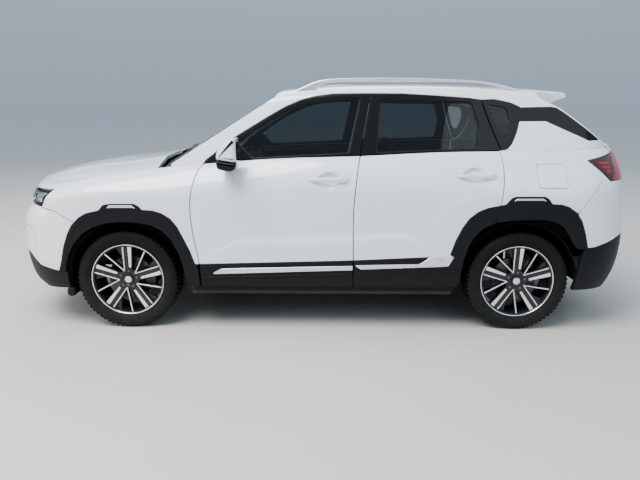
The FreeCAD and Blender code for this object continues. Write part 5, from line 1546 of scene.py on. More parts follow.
@dataclass
class Doors:
    """The four side doors with their frames, glass, cladding, handles and mirrors."""

    half_gap: float = 2.5
    thickness: float = 62.0
    trim_lift: float = 4.0
    strip_lift: float = 9.0
    glass_wall: float = 5.0
    handle_length: float = 262.0
    handle_height: float = 30.0

    def build(self) -> None:
        """Builds every door piece."""
        self._shells()
        self._frames()
        self._glass()
        self._cladding()
        self._strips()
        self._handles()
        self._mirrors()

    def _shells(self) -> None:
        """Painted doors below the belt, closed by the inner trim."""
        gap = self.half_gap
        front = [(803.5, 459), (-119, 484), (-204.5, 488)]
        front += gap_line(MIDDLE_GAP, gap, 500.0, 1150.0) + belt_line(-245.0, 770.0, -3.0)
        front += gap_line(FRONT_GAP, -gap, 470.0, 1092.0)[::-1]
        rear = [(-208.5, 488), (-710, 513), (-897, 515), (-931, 510), (-955, 584), (-988, 647),
            (-1043, 708), (-1117, 742)]
        rear += gap_line(REAR_GAP, gap, 760.0, 1172.0) + belt_line(-1156.0, -252.0, -3.0)
        rear += gap_line(MIDDLE_GAP, -gap, 500.0, 1150.0)[::-1]
        paint = [Coat.PAINT, Coat.TRIM]
        for name, points in (("door_front", front), ("door_rear", rear)):
            patch = WALL.cut(trace(points, 10.0), spacing=15.0, inner=self.thickness)
            make_pair(f"{name}_shell", patch, paint, name, [name])

    def _frames(self) -> None:
        """Gloss black window frames and the corner panels beside the mirrors."""
        front = belt_line(770.0, -246.0, 1.0) + gap_line(MIDDLE_GAP, 2.5, 1175.0, 1551.0)
        front += [(-69, 1549), (48, 1534), (141, 1509), (241, 1468), (349, 1407), (465, 1337),
            (572, 1272), (695, 1175)]
        rear = belt_line(-253.0, -1157.0, 1.0)
        rear += [(-1161, 1200), (-1091, 1367), (-1043, 1511), (-965, 1523), (-748, 1538), (-530, 1551)]
        rear += gap_line(MIDDLE_GAP, -2.5, 1175.0, 1551.0)[::-1]
        rows = (("door_front", front, FRONT_WINDOW), ("door_rear", rear, REAR_WINDOW_SIDE))
        for name, points, window in rows:
            hole = rounded(window, 16.0, 9.0)
            hem = Hem(roll=2.5, depth=24.0)
            patch = WALL.cut(trace(points, 10.0), [hole], spacing=14.0, hem=hem, lift=-1.0)
            make_pair(f"{name}_frame", patch, [Coat.GLOSS_BLACK], name)
            seal = WALL.cut(grown(hole, 1.0), [grown(hole, -7.0)], spacing=30.0,
                hem=Hem(roll=2.0, depth=6.0, steps=2), lift=-7.0)
            make_pair(f"{name}_window_seal", seal, [Coat.SEAL], name)

    def _glass(self) -> None:
        """Tinted panes set in from the frames."""
        for name, window in (("front", FRONT_WINDOW), ("rear", REAR_WINDOW_SIDE)):
            loop = grown(rounded(window, 14.0, 12.0), 3.0)
            patch = WALL.cut(loop, spacing=40.0, hem=THIN, lift=-12.0)
            back = WALL.cut(loop, spacing=40.0, hem=THIN, lift=-12.0 - self.glass_wall)
            make_pair(f"side_pane_{name}", patch.merged(back.turned()), [Coat.SIDE_GLASS],
                f"door_{name}", [f"glass_{name}"])

    def _cladding(self) -> None:
        """Black cladding along the foot of each door, with its raised ledge."""
        front = [(797, 305), (802, 457), (-119, 482), (-204, 486), (-204, 303)]
        rear = [(-209, 303), (-209, 486), (-707, 511), (-866, 513)]
        rear += [(-837, 528), (-869, 628), (-908, 712), (-949, 772), (-1005, 817), (-1069, 843),
            (-1138, 855)]
        rear += gap_line(REAR_GAP, 2.5, 745.0, 850.0)[::-1]
        rear += [(-1113, 739), (-1042, 705), (-986, 644), (-953, 582), (-929, 490), (-916, 400),
            (-893, 303)]
        for name, points in (("door_front", front), ("door_rear", rear)):
            patch = WALL.cut(trace(points, 9.0), spacing=14.0, hem=Hem(roll=4.0, depth=16.0),
                lift=self.trim_lift)
            make_pair(f"{name}_cladding", patch, [Coat.CLADDING], name,
                [name.replace("door_", "door_trim_")])
        ledges = (("front", [(794, 372), (-203, 398), (-203, 388), (794, 362)]),
            ("rear", [(-210, 398), (-905, 424), (-905, 414), (-210, 388)]))
        for name, points in ledges:
            patch = WALL.cut(trace(points, 12.0), spacing=30.0, hem=Hem(roll=4.0, depth=3.0),
                lift=self.trim_lift + 5.0)
            make_pair(f"cladding_ledge_{name}", patch, [Coat.CLADDING], f"door_{name}")

    def _strips(self) -> None:
        """Satin strips on the door cladding."""
        rows = (("front", [(718, 398), (700, 410), (656, 431), (-119, 451), (-203, 453), (-203, 420),
            (-120, 418), (711, 391)]), ("rear", [(-211, 457), (-642, 468), (-707, 514), (-866, 515),
            (-830, 450), (-256, 426), (-211, 455)]))
        for name, points in rows:
            patch = WALL.cut(rounded(points, 5.0, 7.0), spacing=12.0,
                hem=Hem(roll=6.0, depth=4.0, steps=4), lift=self.strip_lift)
            make_pair(f"satin_strip_{name}", patch, [Coat.SILVER], f"door_{name}")

    def _handles(self) -> None:
        """Painted pull handles that bridge their cups."""
        rows = (("front", -45.0, 1012.0), ("rear", -985.0, 1038.0))
        for name, centre, height in rows:
            patch = self._handle(centre, height)
            make_pair(f"door_handle_{name}", patch, [Coat.PAINT], f"door_{name}")

    def _handle(self, centre: float, height: float) -> Patch:
        """One handle: a bar with full ends that stands out from the skin.

        Args:
            centre: station of the middle.
            height: height of the middle.

        Returns:
            The handle's mesh data.
        """
        count, ring = 30, 18
        along = np.linspace(-1.0, 1.0, count)
        turn = turn_angles(ring)
        xs = centre + along * self.handle_length / 2.0
        SKIN.relief_on = False
        base = SKIN.wall(xs, np.full(count, height))[:, 1]
        SKIN.relief_on = True
        full = np.maximum((1.0 - np.abs(along) ** 8) ** 0.5, 0.02)
        lift = 13.0 * (1.0 - np.abs(along) ** 4) + 3.0
        tall = (self.handle_height / 2.0 - 3.0 * along) * full
        points = np.zeros((count, ring, 3))
        points[..., 0] = xs[:, None]
        points[..., 1] = (base + lift)[:, None] + 10.0 * full[:, None] * squared(np.cos(turn), 0.8)
        points[..., 2] = height + tall[:, None] * squared(np.sin(turn), 0.8)
        return tube_patch(points)

    def _mirrors(self) -> None:
        """Mirror housings: white shell, black foot and lower half, and glass."""
        shell = [(655, 1150), (648, 1196), (600, 1248), (545, 1279), (530, 1279), (528, 1140),
            (540, 1132), (600, 1140)]
        lower = [(655, 1146), (600, 1136), (540, 1128), (530, 1122), (533, 1100), (552, 1078),
            (590, 1076), (648, 1090), (656, 1120)]
        front = Blob(shell, 868.0, 1016.0, 22.0).patch()
        make_pair("mirror_shell", front, [Coat.PAINT], "door_front", ["mirror"])
        under = Blob(lower, 872.0, 1010.0, 20.0).patch()
        foot = Blob([(640, 1090), (640, 1118), (560, 1118), (560, 1090)], 760.0, 884.0, 8.0)
        under.merged(foot.patch())
        make_pair("mirror_base", under, [Coat.GLOSS_BLACK], "door_front")
        pane = Patch()
        rim = rounded([(884, 1110), (1000, 1116), (1000, 1255), (940, 1262), (884, 1222)], 20.0, 8.0)
        spots = np.stack([np.full(len(rim), 526.5), rim[:, 0], rim[:, 1]], axis=-1)
        pane.add_points(spots, np.tile([-1.0, 0.0, 0.0], (len(rim), 1)))
        pane.add_faces([tuple(range(len(rim)))[::-1]])
        make_pair("mirror_pane", pane, [Coat.MIRROR], "door_front")


def tube_patch(points: Array) -> Patch:
    """Smooth patch through closed rings of points, with a cap at each end.

    Args:
        points: one closed ring a row.

    Returns:
        The patch, facing outwards.
    """
    count, ring = points.shape[:2]
    along = np.gradient(points, axis=0)
    around = np.roll(points, -1, axis=1) - np.roll(points, 1, axis=1)
    normal = np.cross(around, along)
    centre = points.mean(axis=1, keepdims=True)
    inward = bool(np.sum(normal * (points - centre)) < 0)
    normal = unit(-normal if inward else normal)
    patch = Patch()
    first = patch.add_points(points.reshape(-1, 3), normal.reshape(-1, 3))
    for row in range(count - 1):
        patch.strip(first + row * ring, first + (row + 1) * ring, ring, True, 0, inward)
    for row, sign in ((0, -1.0), (count - 1, 1.0)):
        face_normal = along[row].mean(axis=0) * sign
        start = patch.add_points(points[row], np.tile(face_normal, (ring, 1)))
        order = tuple(range(start, start + ring))
        patch.add_faces([order[::-1] if (row == 0) != inward else order])
    return patch


@dataclass
class Blob:
    """Upright side-view outline run between two distances from the centre, edges rolled."""

    outline: Points
    low: float
    high: float
    roll: float
    steps: int = 5
    radius: float = 18.0

    def patch(self) -> Patch:
        """Mesh of the rolled block.

        Returns:
            The block's mesh data.
        """
        loop = rounded(self.outline, self.radius, 7.0)
        if loop_area(loop) < 0:
            loop = loop[::-1]
        rows = [(self.low + self.roll * (1 - math.cos(a)), -self.roll * (1 - math.sin(a)))
            for a in np.linspace(0.0, 0.5 * math.pi, self.steps + 1)]
        rows += [(self.high - self.roll * (1 - math.cos(a)), -self.roll * (1 - math.sin(a)))
            for a in np.linspace(0.5 * math.pi, 0.0, self.steps + 1)]
        rings = []
        for y, grow in rows:
            edge = grown(loop, grow)
            rings.append(np.stack([edge[:, 0], np.full(len(edge), y), edge[:, 1]], axis=-1))
        return tube_patch(np.array(rings))


def side_u(points: Points) -> list[tuple[float, float]]:
    """Plan distance and height of side-view points in X and Z."""
    spots = np.array([point[:2] for point in points], float)
    return list(zip(on_lower(spots)[:, 0].tolist(), spots[:, 1].tolist()))


def end_u(points: Points, sign: float = 1.0) -> list[tuple[float, float]]:
    """Plan distance and height of end-view points in Y and Z; sign 1 is the nose."""
    spots = np.array([point[:2] for point in points], float)
    return list(zip(on_lower_front(spots, sign)[:, 0].tolist(), spots[:, 1].tolist()))


def tail_u(y: float, z: float) -> tuple[float, float]:
    """Plan distance and height of a point of the tail in Y and Z."""
    return end_u([(y, z)], -1.0)[0]


def nose_spots(points: Points) -> tuple[Array, Array]:
    """Places on the nose at end-view points in Y and Z, and the normals there."""
    spots = np.array(end_u(points))
    return LOWER.at(np.stack([spots[:, 0], SKIN.row_at(spots[:, 0], spots[:, 1])], axis=-1))


def top_run(u_from: float, u_to: float) -> list[tuple[float, float]]:
    """Points along the lower body's top edge."""
    us = np.linspace(u_from, u_to, max(int(abs(u_to - u_from) / 30.0), 2))
    return list(zip(us.tolist(), SKIN.rows(us)[1][:, -1].tolist()))


def foot_run(u_from: float, u_to: float) -> list[tuple[float, float]]:
    """Points just above the lower body's foot."""
    us = np.linspace(u_from, u_to, 60)
    return list(zip(us.tolist(), (SKIN.rows(us)[1][:, 0] + 2.0).tolist()))


def lower_loop(points: Points, step: float = 9.0, closed: bool = True) -> Array:
    """Dense lower-body outline from plan distances and heights.

    Args:
        points: points of the outline.
        step: distance between the points.
        closed: True where the run closes on itself.

    Returns:
        Rows of plan distance and row number.
    """
    dense = trace(points, step, closed)
    us = np.clip(dense[:, 0], -SKIN.u_end, SKIN.u_end)
    return np.stack([us, SKIN.row_at(us, dense[:, 1])], axis=-1)


def on_centre(loop: Array) -> Array:
    """True for each outline point on the centre plane of either end."""
    return np.abs(loop[:, 0]) > SKIN.u_end - 0.6


def on_top(loop: Array) -> Array:
    """True for each outline point on the lower body's top edge."""
    return loop[:, 1] > 10.995


def arc_run(station: float, radius: float, start: float, end: float) -> list[tuple[float, float]]:
    """Side-view points on a circle round an axle, angles in degrees from the nose side."""
    angles = np.radians(np.linspace(start, end, max(int(abs(end - start) / 5.0), 2)))
    return [(station + radius * math.cos(a), SKIN.s.tyre_radius + radius * math.sin(a)) for a in angles]


NOSE_SEAM = [(1856, 822), (1740, 806), (1620, 735)]
TAIL_SEAM = [(-1885, 1000), (-1803, 1006), (-1654, 816), (-1630, 790)]
NOSE = SKIN.u_end
BONNET_SEAM = [(1620, 1009), (1690, 996), (1742, 968), (1779, 941)]
QUARTER_FRAME = [(-1048, 1512), (-1128, 1517), (-1235, 1494), (-1294, 1468), (-1288, 1378),
                 (-1267, 1305), (-1238, 1242), (-1205, 1205), (-1167, 1195), (-1097, 1367)]
PILLAR_PANEL = [(-1290, 1468), (-1500, 1472), (-1540, 1466), (-1604, 1424), (-1730, 1335),
                (-1836, 1258), (-1754, 1254), (-1607, 1316), (-1464, 1379), (-1287, 1378)]
FUEL_FLAP = [(-1372, 1111), (-1548, 1113), (-1575, 968), (-1384, 966)]


@dataclass
class Sides:
    """Fenders, quarter panels, pillars, arch cladding, sills and the fuel flap."""

    half_gap: float = 2.5
    trim_lift: float = 5.0
    insert_lift: float = 7.0

    def build(self) -> None:
        """Builds both sides."""
        self._fender()
        self._quarter()
        self._upper()
        self._quarter_glass()
        self._flap()
        self._arch_trims()
        self._sills()

    def _fender(self) -> None:
        """Front fender between the door, the bonnet and the bumper."""
        points = gap_line(FRONT_GAP, self.half_gap, 458.0, 1104.0)[::-1]
        points += [(870, 455)] + arc_run(1300.0, 438.0, 163.0, 56.0)
        lamp = [(1852, 822), (1744, 940)]
        loop = top_run(1614.0, 779.0)
        loop += side_u(points) + side_u([(x - 2.0, z + 2.0) for x, z in NOSE_SEAM[::-1]])
        loop += side_u(lamp) + [(u, z - 3.0) for u, z in BONNET_SEAM[::-1]]
        outline = lower_loop(loop)
        flush = on_top(outline) & (outline[:, 0] < 1075.0)
        patch = LOWER.cut(outline, flush=flush, hem=Hem(depth=26.0))
        make_pair("fender_skin", patch, [Coat.PAINT], "root", ["fender"])

    def _quarter(self) -> None:
        """Quarter panel below the belt, round the rear arch and the tail lamp."""
        points = gap_line(REAR_GAP, -self.half_gap, 742.0, 1186.0)[::-1]
        points += [(-1126, 752), (-1200, 768), (-1310, 776), (-1420, 777), (-1508, 762), (-1565, 727),
            (-1609, 672), (-1650, 607)]
        loop = top_run(-1157.0, -2075.0) + side_u([(-1926, 1177), (-1715, 1135)])
        loop += side_u([(-1877, 996)] + [(x + 2.0, z) for x, z in TAIL_SEAM[1:]])
        loop += side_u(points[::-1])
        outline = lower_loop(loop)
        hole = lower_loop(side_u(trace(rounded(grown(trace(FUEL_FLAP, 200.0), 3.0), 26.0), 9.0)))
        left = LOWER.cut(outline, [hole], flush=on_top(outline), hem=Hem(depth=26.0))
        right = LOWER.cut(outline, flush=on_top(outline), hem=Hem(depth=26.0)).mirrored()
        for side, patch in (("left", left), ("right", right)):
            make_piece(f"quarter_skin_{side}", patch, [Coat.PAINT], "root")

    def _upper(self) -> None:
        """Pillars and roof edge in one, with the black panel behind the quarter window."""
        front = self._screen_edge(np.linspace(1100.0, 1575.0, 22))
        sill = [(x, z + 0.2) for x, z in belt_line(front[0][0] - 4.0, 778.0, 0.0)]
        window = [(765, 1128), (696, 1180), (572, 1277), (465, 1342), (349, 1412), (241, 1473),
            (141, 1514), (48, 1539), (-69, 1555), (-313, 1558), (-530, 1556), (-748, 1543),
            (-965, 1528), (-1041, 1517), (-1128, 1521), (-1238, 1499), (-1300, 1472), (-1294, 1378),
            (-1272, 1302), (-1242, 1238), (-1208, 1201), (-1170, 1194.5)]
        belt = belt_line(-1180.0, -1900.0, 0.2)
        gate = [(-1862, 1250), (-1700, 1367), (-1560, 1466), (-1428, 1532)]
        params = on_pillar(trace(sill + window + belt + gate, 10.0, closed=False))
        params[: len(trace(sill, 10.0, closed=False)), 1] = 0.0
        params[:, 1] = np.where(params[:, 1] < 0.012, 0.0, params[:, 1])
        rear = np.array([(-1400.0, 1.6), (-1371.0, 1.8), (-1371, 2)])
        top = np.stack([np.linspace(-1371.0, 300.0, 90), np.full(90, 2.0)], axis=-1)
        screen = on_pillar(np.array(front[::-1]))
        screen = screen[screen[:, 0] > 300.0]
        loop = self._thinned(np.concatenate([params, rear, top[:-1], screen]))
        patch = PILLAR.cut(loop, hem=Hem(depth=20.0), spacing=14.0)
        make_pair("upper_side", patch, [Coat.PAINT], "root", ["body_side"])
        panel = PILLAR.cut(on_pillar(trace(PILLAR_PANEL, 9.0)), hem=Hem(roll=1.5, depth=1.0), lift=1.2,
            spacing=18.0)
        make_pair("rear_pillar_panel", panel, [Coat.GLOSS_BLACK], "root")

    @staticmethod
    def _thinned(loop: Array) -> Array:
        """The outline without points that nearly coincide.

        Args:
            loop: closed outline.

        Returns:
            The outline that is left.
        """
        kept = [loop[0]]
        for point in loop[1:]:
            if np.hypot(point[0] - kept[-1][0], 250.0 * (point[1] - kept[-1][1])) > 2.5:
                kept.append(point)
        return np.array(kept)

    @staticmethod
    def _screen_edge(heights: Array) -> list[tuple[float, float]]:
        """Side-view line where the windscreen's surface meets the pillar.

        Args:
            heights: heights at which the line is read.

        Returns:
            Points in X and Z.
        """
        out = []
        for z in heights:
            low, high = 100.0, 1160.0
            for _ in range(40):
                x = 0.5 * (low + high)
                row = on_pillar(np.array([(x, z)]))
                spot = SKIN.pillar(row[:, 0], row[:, 1])[0]
                glass_x = SKIN.screen(np.array([spot[1]]), np.array([spot[2]]))[0][0]
                if x > glass_x:
                    high = x
                else:
                    low = x
            out.append((x, float(z)))
        return out

    def _quarter_glass(self) -> None:
        """Fixed quarter window with its black surround."""
        hole = on_pillar(rounded(QUARTER_WINDOW, 14.0, 8.0))
        patch = PILLAR.cut(on_pillar(trace(QUARTER_FRAME, 9.0)), [hole], spacing=14.0,
            hem=Hem(roll=2.0, depth=14.0), lift=-1.0)
        make_pair("quarter_frame", patch, [Coat.GLOSS_BLACK], "root")
        pane = PILLAR.cut(on_pillar(grown(rounded(QUARTER_WINDOW, 14.0, 10.0), 3.0)), spacing=30.0,
            hem=Hem(roll=0.5, depth=3.0, steps=1), lift=-7.0)
        both_sides("quarter_pane", pane, Coat.SIDE_GLASS, ["quarter_glass"])

    def _flap(self) -> None:
        """Fuel flap in the left quarter panel."""
        loop = lower_loop(side_u(rounded(grown(trace(FUEL_FLAP, 200.0), -1.0), 24.0, 8.0)))
        patch = LOWER.cut(loop, spacing=12.0, hem=Hem(roll=2.0, depth=5.0))
        make_piece("flap_skin", patch, [Coat.PAINT], "fuel_flap", ["fuel_flap"])

    def _arch_trims(self) -> None:
        """Black arch cladding with the raised handle shape and its satin insert."""
        front = [(1752, 400), (1738, 434), (1724, 477), (1699, 570), (1665, 655), (1629, 716),
            (1579, 765), (1525, 796), (1441, 815), (1412, 849), (1380, 856), (1349, 858), (1208, 858),
            (1180, 842), (1160, 820), (1093, 816), (1035, 798), (978, 760), (936, 704), (896, 620),
            (862, 543), (836, 465), (816, 440), (806, 300)]
        front_in = [(875, 300), (905, 370), (916, 452), (944, 545), (985, 622), (1040, 680),
            (1110, 717), (1200, 735), (1300, 738), (1400, 730), (1490, 702), (1565, 655), (1625, 590),
            (1665, 520), (1690, 452), (1700, 398)]
        rear = [(-1129, 855), (-1174, 862), (-1210, 903), (-1236, 913), (-1421, 914), (-1446, 900),
            (-1472, 867), (-1527, 864), (-1580, 849), (-1634, 812), (-1677, 753), (-1707, 677),
            (-1739, 567)]
        rear_in = [(-1672, 566), (-1634, 601), (-1598, 662), (-1556, 714), (-1502, 748), (-1420, 763),
            (-1310, 762), (-1200, 754), (-1122, 742)]
        whole = Patch()
        for outer, inner in ((front, front_in), (rear, rear_in)):
            loop = lower_loop(side_u(trace(outer + inner, 9.0)))
            whole.merged(LOWER.cut(loop, spacing=13.0, lift=self.trim_lift,
                hem=Hem(roll=5.0, depth=30.0, steps=4)))
            whole.merged(self._bead(outer))
        both_sides("arch_cladding", whole, Coat.CLADDING, ["arch_trims"])
        inserts = Patch()
        for points in ([(1388, 829), (1372, 848), (1220, 848), (1198, 829)],
                [(-1222, 884), (-1240, 901), (-1412, 902), (-1432, 884)]):
            loop = lower_loop(side_u(rounded(points, 6.0, 5.0)))
            inserts.merged(LOWER.cut(loop, spacing=10.0, lift=self.insert_lift,
                hem=Hem(roll=2.5, depth=2.0)))
        both_sides("arch_inserts", inserts, Coat.SILVER)

    def _bead(self, outer: Points) -> Patch:
        """Step line that follows the cladding's outer edge.

        Args:
            outer: the cladding's outer edge.

        Returns:
            The line's mesh data.
        """
        middle = trace(outer[1:-2], 12.0, closed=False)
        run = np.gradient(middle, axis=0)
        away = np.stack([run[:, 1], -run[:, 0]], axis=-1)
        away = unit(away)
        centre = np.array([math.copysign(1300.0, middle[:, 0].mean()), 336.0])
        away *= np.where(np.sum((middle - centre) * away, axis=1) > 0, 1.0, -1.0)[:, None]
        one, two = middle - away * 24.0, middle - away * 30.0
        loop = lower_loop(side_u(np.concatenate([one, two[::-1]])))
        return LOWER.cut(loop, spacing=30.0, lift=self.trim_lift + 2.5,
            hem=Hem(roll=2.0, depth=2.0, steps=2))

    def _sills(self) -> None:
        """Rubber edges under the doors."""
        patch = Blob([(860, 262), (860, 300), (-880, 300), (-880, 262)], 828.0, 862.0, 8.0,
            radius=8.0).patch()
        make_pair("sill_edge", patch, [Coat.CLADDING], "root")


def turned_patch(profile: Points, centre: Array, axis: Array, count: int = 40,
        finish: int = 0) -> Patch:
    """Smooth surface of revolution.

    Args:
        profile: rows of distance along the axis and radius; a repeated row makes a sharp edge.
        centre: point where the distance is zero.
        axis: direction of the axis.
        count: facets round the axis.
        finish: finish number.

    Returns:
        The patch, its outside on the left of the profile's run.
    """
    axis = np.asarray(axis, float) / np.linalg.norm(axis)
    one = unit(np.cross(UP if abs(axis[2]) < 0.9 else np.array([1.0, 0.0, 0.0]), axis))
    two = np.cross(axis, one)
    angles = turn_angles(count)
    spokes = np.cos(angles)[:, None] * one + np.sin(angles)[:, None] * two
    patch = Patch()
    rows = np.array(profile, float)
    for start, end in zip(rows[:-1], rows[1:]):
        run = end - start
        if np.hypot(*run) < 1e-6:
            continue
        slope = np.array([run[1], -run[0]]) / np.hypot(*run)
        normal = -slope[0] * axis[None, :] - slope[1] * spokes
        firsts = [patch.add_points(np.asarray(centre) + along * axis + radius * spokes, normal)
            for along, radius in (start, end)]
        patch.strip(firsts[0], firsts[1], count, True, finish, False)
    return patch


# share of a bar's length, share of its width there
BAR_ENDS = [(0.0, 0.75), (0.012, 0.95), (0.03, 1.0), (0.97, 1.0), (0.988, 0.95), (1.0, 0.75)]


def bar_patch(start: Array, end: Array, across: Array, width: float, depth: float,
        finish: int = 0) -> Patch:
    """Rounded bar between two points; across is the direction of its width.

    Args:
        start: the first point.
        end: the last point.
        across: direction of its width.
        width: size along that direction.
        depth: size across its width.
        finish: finish number of the faces.

    Returns:
        The bar's mesh data.
    """
    start, end = np.asarray(start, float), np.asarray(end, float)
    along = end - start
    side = np.asarray(across, float) / np.linalg.norm(across)
    third = np.cross(along / np.linalg.norm(along), side)
    turn = turn_angles(14)
    wide, tall = squared(np.cos(turn), 0.55)[:, None], squared(np.sin(turn), 0.55)[:, None]
    rings = []
    for part, size in BAR_ENDS:
        spot = start + along * part
        rings.append(spot + wide * side * width / 2 * size + tall * third * depth / 2 * size)
    patch = tube_patch(np.array(rings))
    patch.finish = [finish] * len(patch.faces)
    return patch


GRILLE = [(-1, 806), (392, 796), (322, 644), (-1, 634)]
INTAKE = [(-1, 468), (512, 468), (424, 334), (-1, 334)]
NOSE_PAINT_LOW = [(1990, 487), (1896, 423), (1752, 399)]
TAIL_PAINT_LOW = [(-1969, 623), (-1784, 576), (-1720, 572)]
LAMP_SIDE = [(1756, 934), (1859, 826)]


@dataclass
class Nose:
    """Front bumper, grille, headlamps and the black lower bumper."""

    lamp_depth: float = 46.0
    lamp_reach: float = 433.0
    slat_count: int = 7
    slat_height: float = 9.0
    slat_out: float = 14.0
    plate_width: float = 440.0
    plate_height: float = 140.0
    # width of the dark strips that paint the shade of the bumper's creases
    crease: float = 4.5

    def build(self) -> None:
        """Builds the nose."""
        self._bumper()
        self._lower()
        self._headlamps()
        self._grille()
        self._fog_lamps()
        self._crease_shade_strips()
        self._plate()

    def _lamp_loop(self, grow: float) -> Array:
        """Headlamp outline on the skin."""
        points = side_u(LAMP_SIDE) + end_u([(self.lamp_reach, 842.0), (self.lamp_reach, 914.0)])
        return lower_loop(grown(rounded(points, 5.0, 7.0), grow))

    def _bumper(self) -> None:
        """Painted bumper from lamp to lamp; the shade in its creases is painted on by separate dark
        strips.
        """
        low = end_u([(620, 508)]) + side_u(NOSE_PAINT_LOW)
        arch = side_u(arc_run(1300.0, 432.0, 8.5, 54.0))
        seam = side_u([(x + 2.0, z - 2.5) for x, z in NOSE_SEAM[::-1]])
        lamp = side_u([(1861, 822)]) + end_u([(430, 838), (430, 917)])
        loop = [(NOSE, 512.0)] + low + arch + seam + lamp + end_u([(300, 915)])
        loop += [(NOSE, 913.0)]
        outline = lower_loop(loop)
        grille = self._half_hole(GRILLE)
        patch = LOWER.cut(self._with_notch(outline, grille), hem=Hem(depth=24.0))
        both_sides("front_bumper_skin", patch, Coat.PAINT, ["bumper_front"])

    @staticmethod
    def _half_hole(points: Points) -> Array:
        """Left half of an opening on the centre plane, upper edge first.

        Args:
            points: upper edge, two corners and lower edge in Y and Z.

        Returns:
            An open run of parameters, top to foot.
        """
        high, corner, low, foot = points
        run = [(NOSE, high[1])]
        for start, end, skip in (((0.5, high[1]), corner, 0), (corner, low, 1),
                (low, (0.5, foot[1]), 1)):
            run += end_u(trace([start, end], 12.0, closed=False))[skip:]
        return lower_loop(run + [(NOSE, foot[1])], closed=False)

    @staticmethod
    def _with_notch(outline: Array, notch: Array) -> Array:
        """Outline whose edge on the centre plane is broken by half an opening.

        Args:
            outline: closed outline of the panel.
            notch: half of the opening.

        Returns:
            The broken outline.
        """
        top, foot = notch[0, 1], notch[-1, 1]
        ring = np.roll(outline, -int(np.argmax(on_centre(outline))), axis=0)
        kept = ring[~(on_centre(ring) & (ring[:, 1] < top + 0.02) & (ring[:, 1] > foot - 0.02))]
        line = on_centre(kept)
        for i in range(len(kept)):
            j = (i + 1) % len(kept)
            low, high = sorted((kept[i, 1], kept[j, 1]))
            if line[i] and line[j] and low <= foot and high >= top:
                part = notch if kept[i, 1] > kept[j, 1] else notch[::-1]
                return np.concatenate([kept[: i + 1], part, kept[i + 1:]])
        raise ValueError("the opening doesn't meet the outline's edge on the centre plane")

    def _lower(self) -> None:
        """Black lower bumper with the intake."""
        top = [(NOSE, 508.0)] + end_u([(620, 504)])
        top += side_u([(x, z - 4.0) for x, z in NOSE_PAINT_LOW]) + side_u([(1690, 396)])
        foot = foot_run(side_u([(1690, 300)])[0][0], NOSE)
        outline = lower_loop(top + foot)
        outline = self._with_notch(outline, self._half_hole(INTAKE))
        patch = LOWER.cut(outline, hem=Hem(depth=24.0), lift=-0.5)
        both_sides("front_lower_skin", patch, Coat.CLADDING, ["bumper_front_lower"])
        flap = bar_patch((1686, 690, 252), (1686, 878, 252), (1, 0, 0), 50.0, 58.0)
        both_sides("wheel_deflectors", flap, Coat.CLADDING)
        guard = bar_patch((1696, 560, 318), (1696, 868, 318), UP, 210.0, 8.0)
        both_sides("splash_guards", guard, Coat.LINER)
        lip = LOWER.cut(lower_loop([(NOSE, 300.0)] + end_u([(520, 300), (520, 276)])
            + [(NOSE, 262.0)]), hem=Hem(roll=3.0, depth=3.0), lift=3.5)
        both_sides("front_skid_plate", lip, Coat.SILVER)

    def _headlamps(self) -> None:
        """Lamp bowls with their reflectors and light strips, under clear lenses."""
        lens = LOWER.cut(self._lamp_loop(-2.0), hem=Hem(roll=2.0, depth=4.0), lift=-0.5, spacing=14.0)
        both_sides("headlamp_lenses", lens, Coat.LENS, ["headlamps"])
        dark = LOWER.cut(self._lamp_loop(-4.0), hem=THIN, lift=-self.lamp_depth, spacing=18.0)
        dark.merged(self._wall(self._lamp_loop(-4.0), -6.0, -self.lamp_depth))
        dark.merged(LOWER.cut(self._lamp_loop(-3.0), [self._lamp_loop(-13.0)], spacing=30.0,
            hem=Hem(roll=1.0, depth=6.0), lift=-7.0))
        both_sides("headlamp_bowls", dark, Coat.GLOSS_BLACK)
        bright = Patch()
        for reach, height, radius in ((705, 880, 27), (612, 878, 27), (520, 876, 24)):
            (place,), (face,) = nose_spots([(reach, height)])
            rows = [(0.0, radius + 2.5), (24.0, radius + 2.5), (24.0, radius), (14.0, radius * 0.85),
                (4.0, radius * 0.55), (0.0, 0.5)]
            bright.merged(turned_patch(rows, place - face * (self.lamp_depth - 8.0),
                face + np.array([0.9, 0.0, 0.0]), 28))
        for fin in range(3):
            places, faces = nose_spots([(770.0 - 14.0 * fin, 905.0 - 17.0 * fin),
                (795.0 - 14.0 * fin, 868.0 - 12.0 * fin)])
            one, two = places - faces * 20.0
            bright.merged(bar_patch(one, two, UP, 7.0, 5.0))
        wing = lower_loop(rounded(side_u([(1812, 916), (1902, 912), (1888, 850), (1852, 850)]), 8.0,
            7.0))
        bright.merged(LOWER.cut(wing, hem=Hem(roll=3.0, depth=8.0), lift=-9.0))
        strip = LOWER.cut(self._light_strip(), hem=Hem(roll=2.0, depth=6.0), lift=-12.0)
        bright.merged(strip)
        both_sides("headlamp_reflectors", bright, Coat.CHROME)

    def _light_strip(self) -> Array:
        """Day light strip along the lamp's upper edge.

        Returns:
            The strip's outline.
        """
        points = side_u([(1775, 927), (1800, 903)])
        points += end_u([(445, 895), (445, 906)])
        return lower_loop(rounded(points, 5.0, 8.0))

    @staticmethod
    def _wall(loop: Array, near: float, far: float) -> Patch:
        """Inward wall of a recess between two depths.

        Args:
            loop: closed outline.
            near: first depth, outwards.
            far: second depth, outwards.

        Returns:
            The wall's mesh data.
        """
        place, normal = LOWER.at(loop)
        run = np.roll(place, -1, axis=0) - np.roll(place, 1, axis=0)
        inward = unit(np.cross(run, normal))
        flip = bool(np.sum((place.mean(axis=0) - place) * inward) < 0)
        patch = Patch()
        facing = -inward if flip else inward
        one = patch.add_points(place + normal * near, facing)
        two = patch.add_points(place + normal * far, facing)
        patch.strip(one, two, len(loop), True, 0, flip)
        return patch

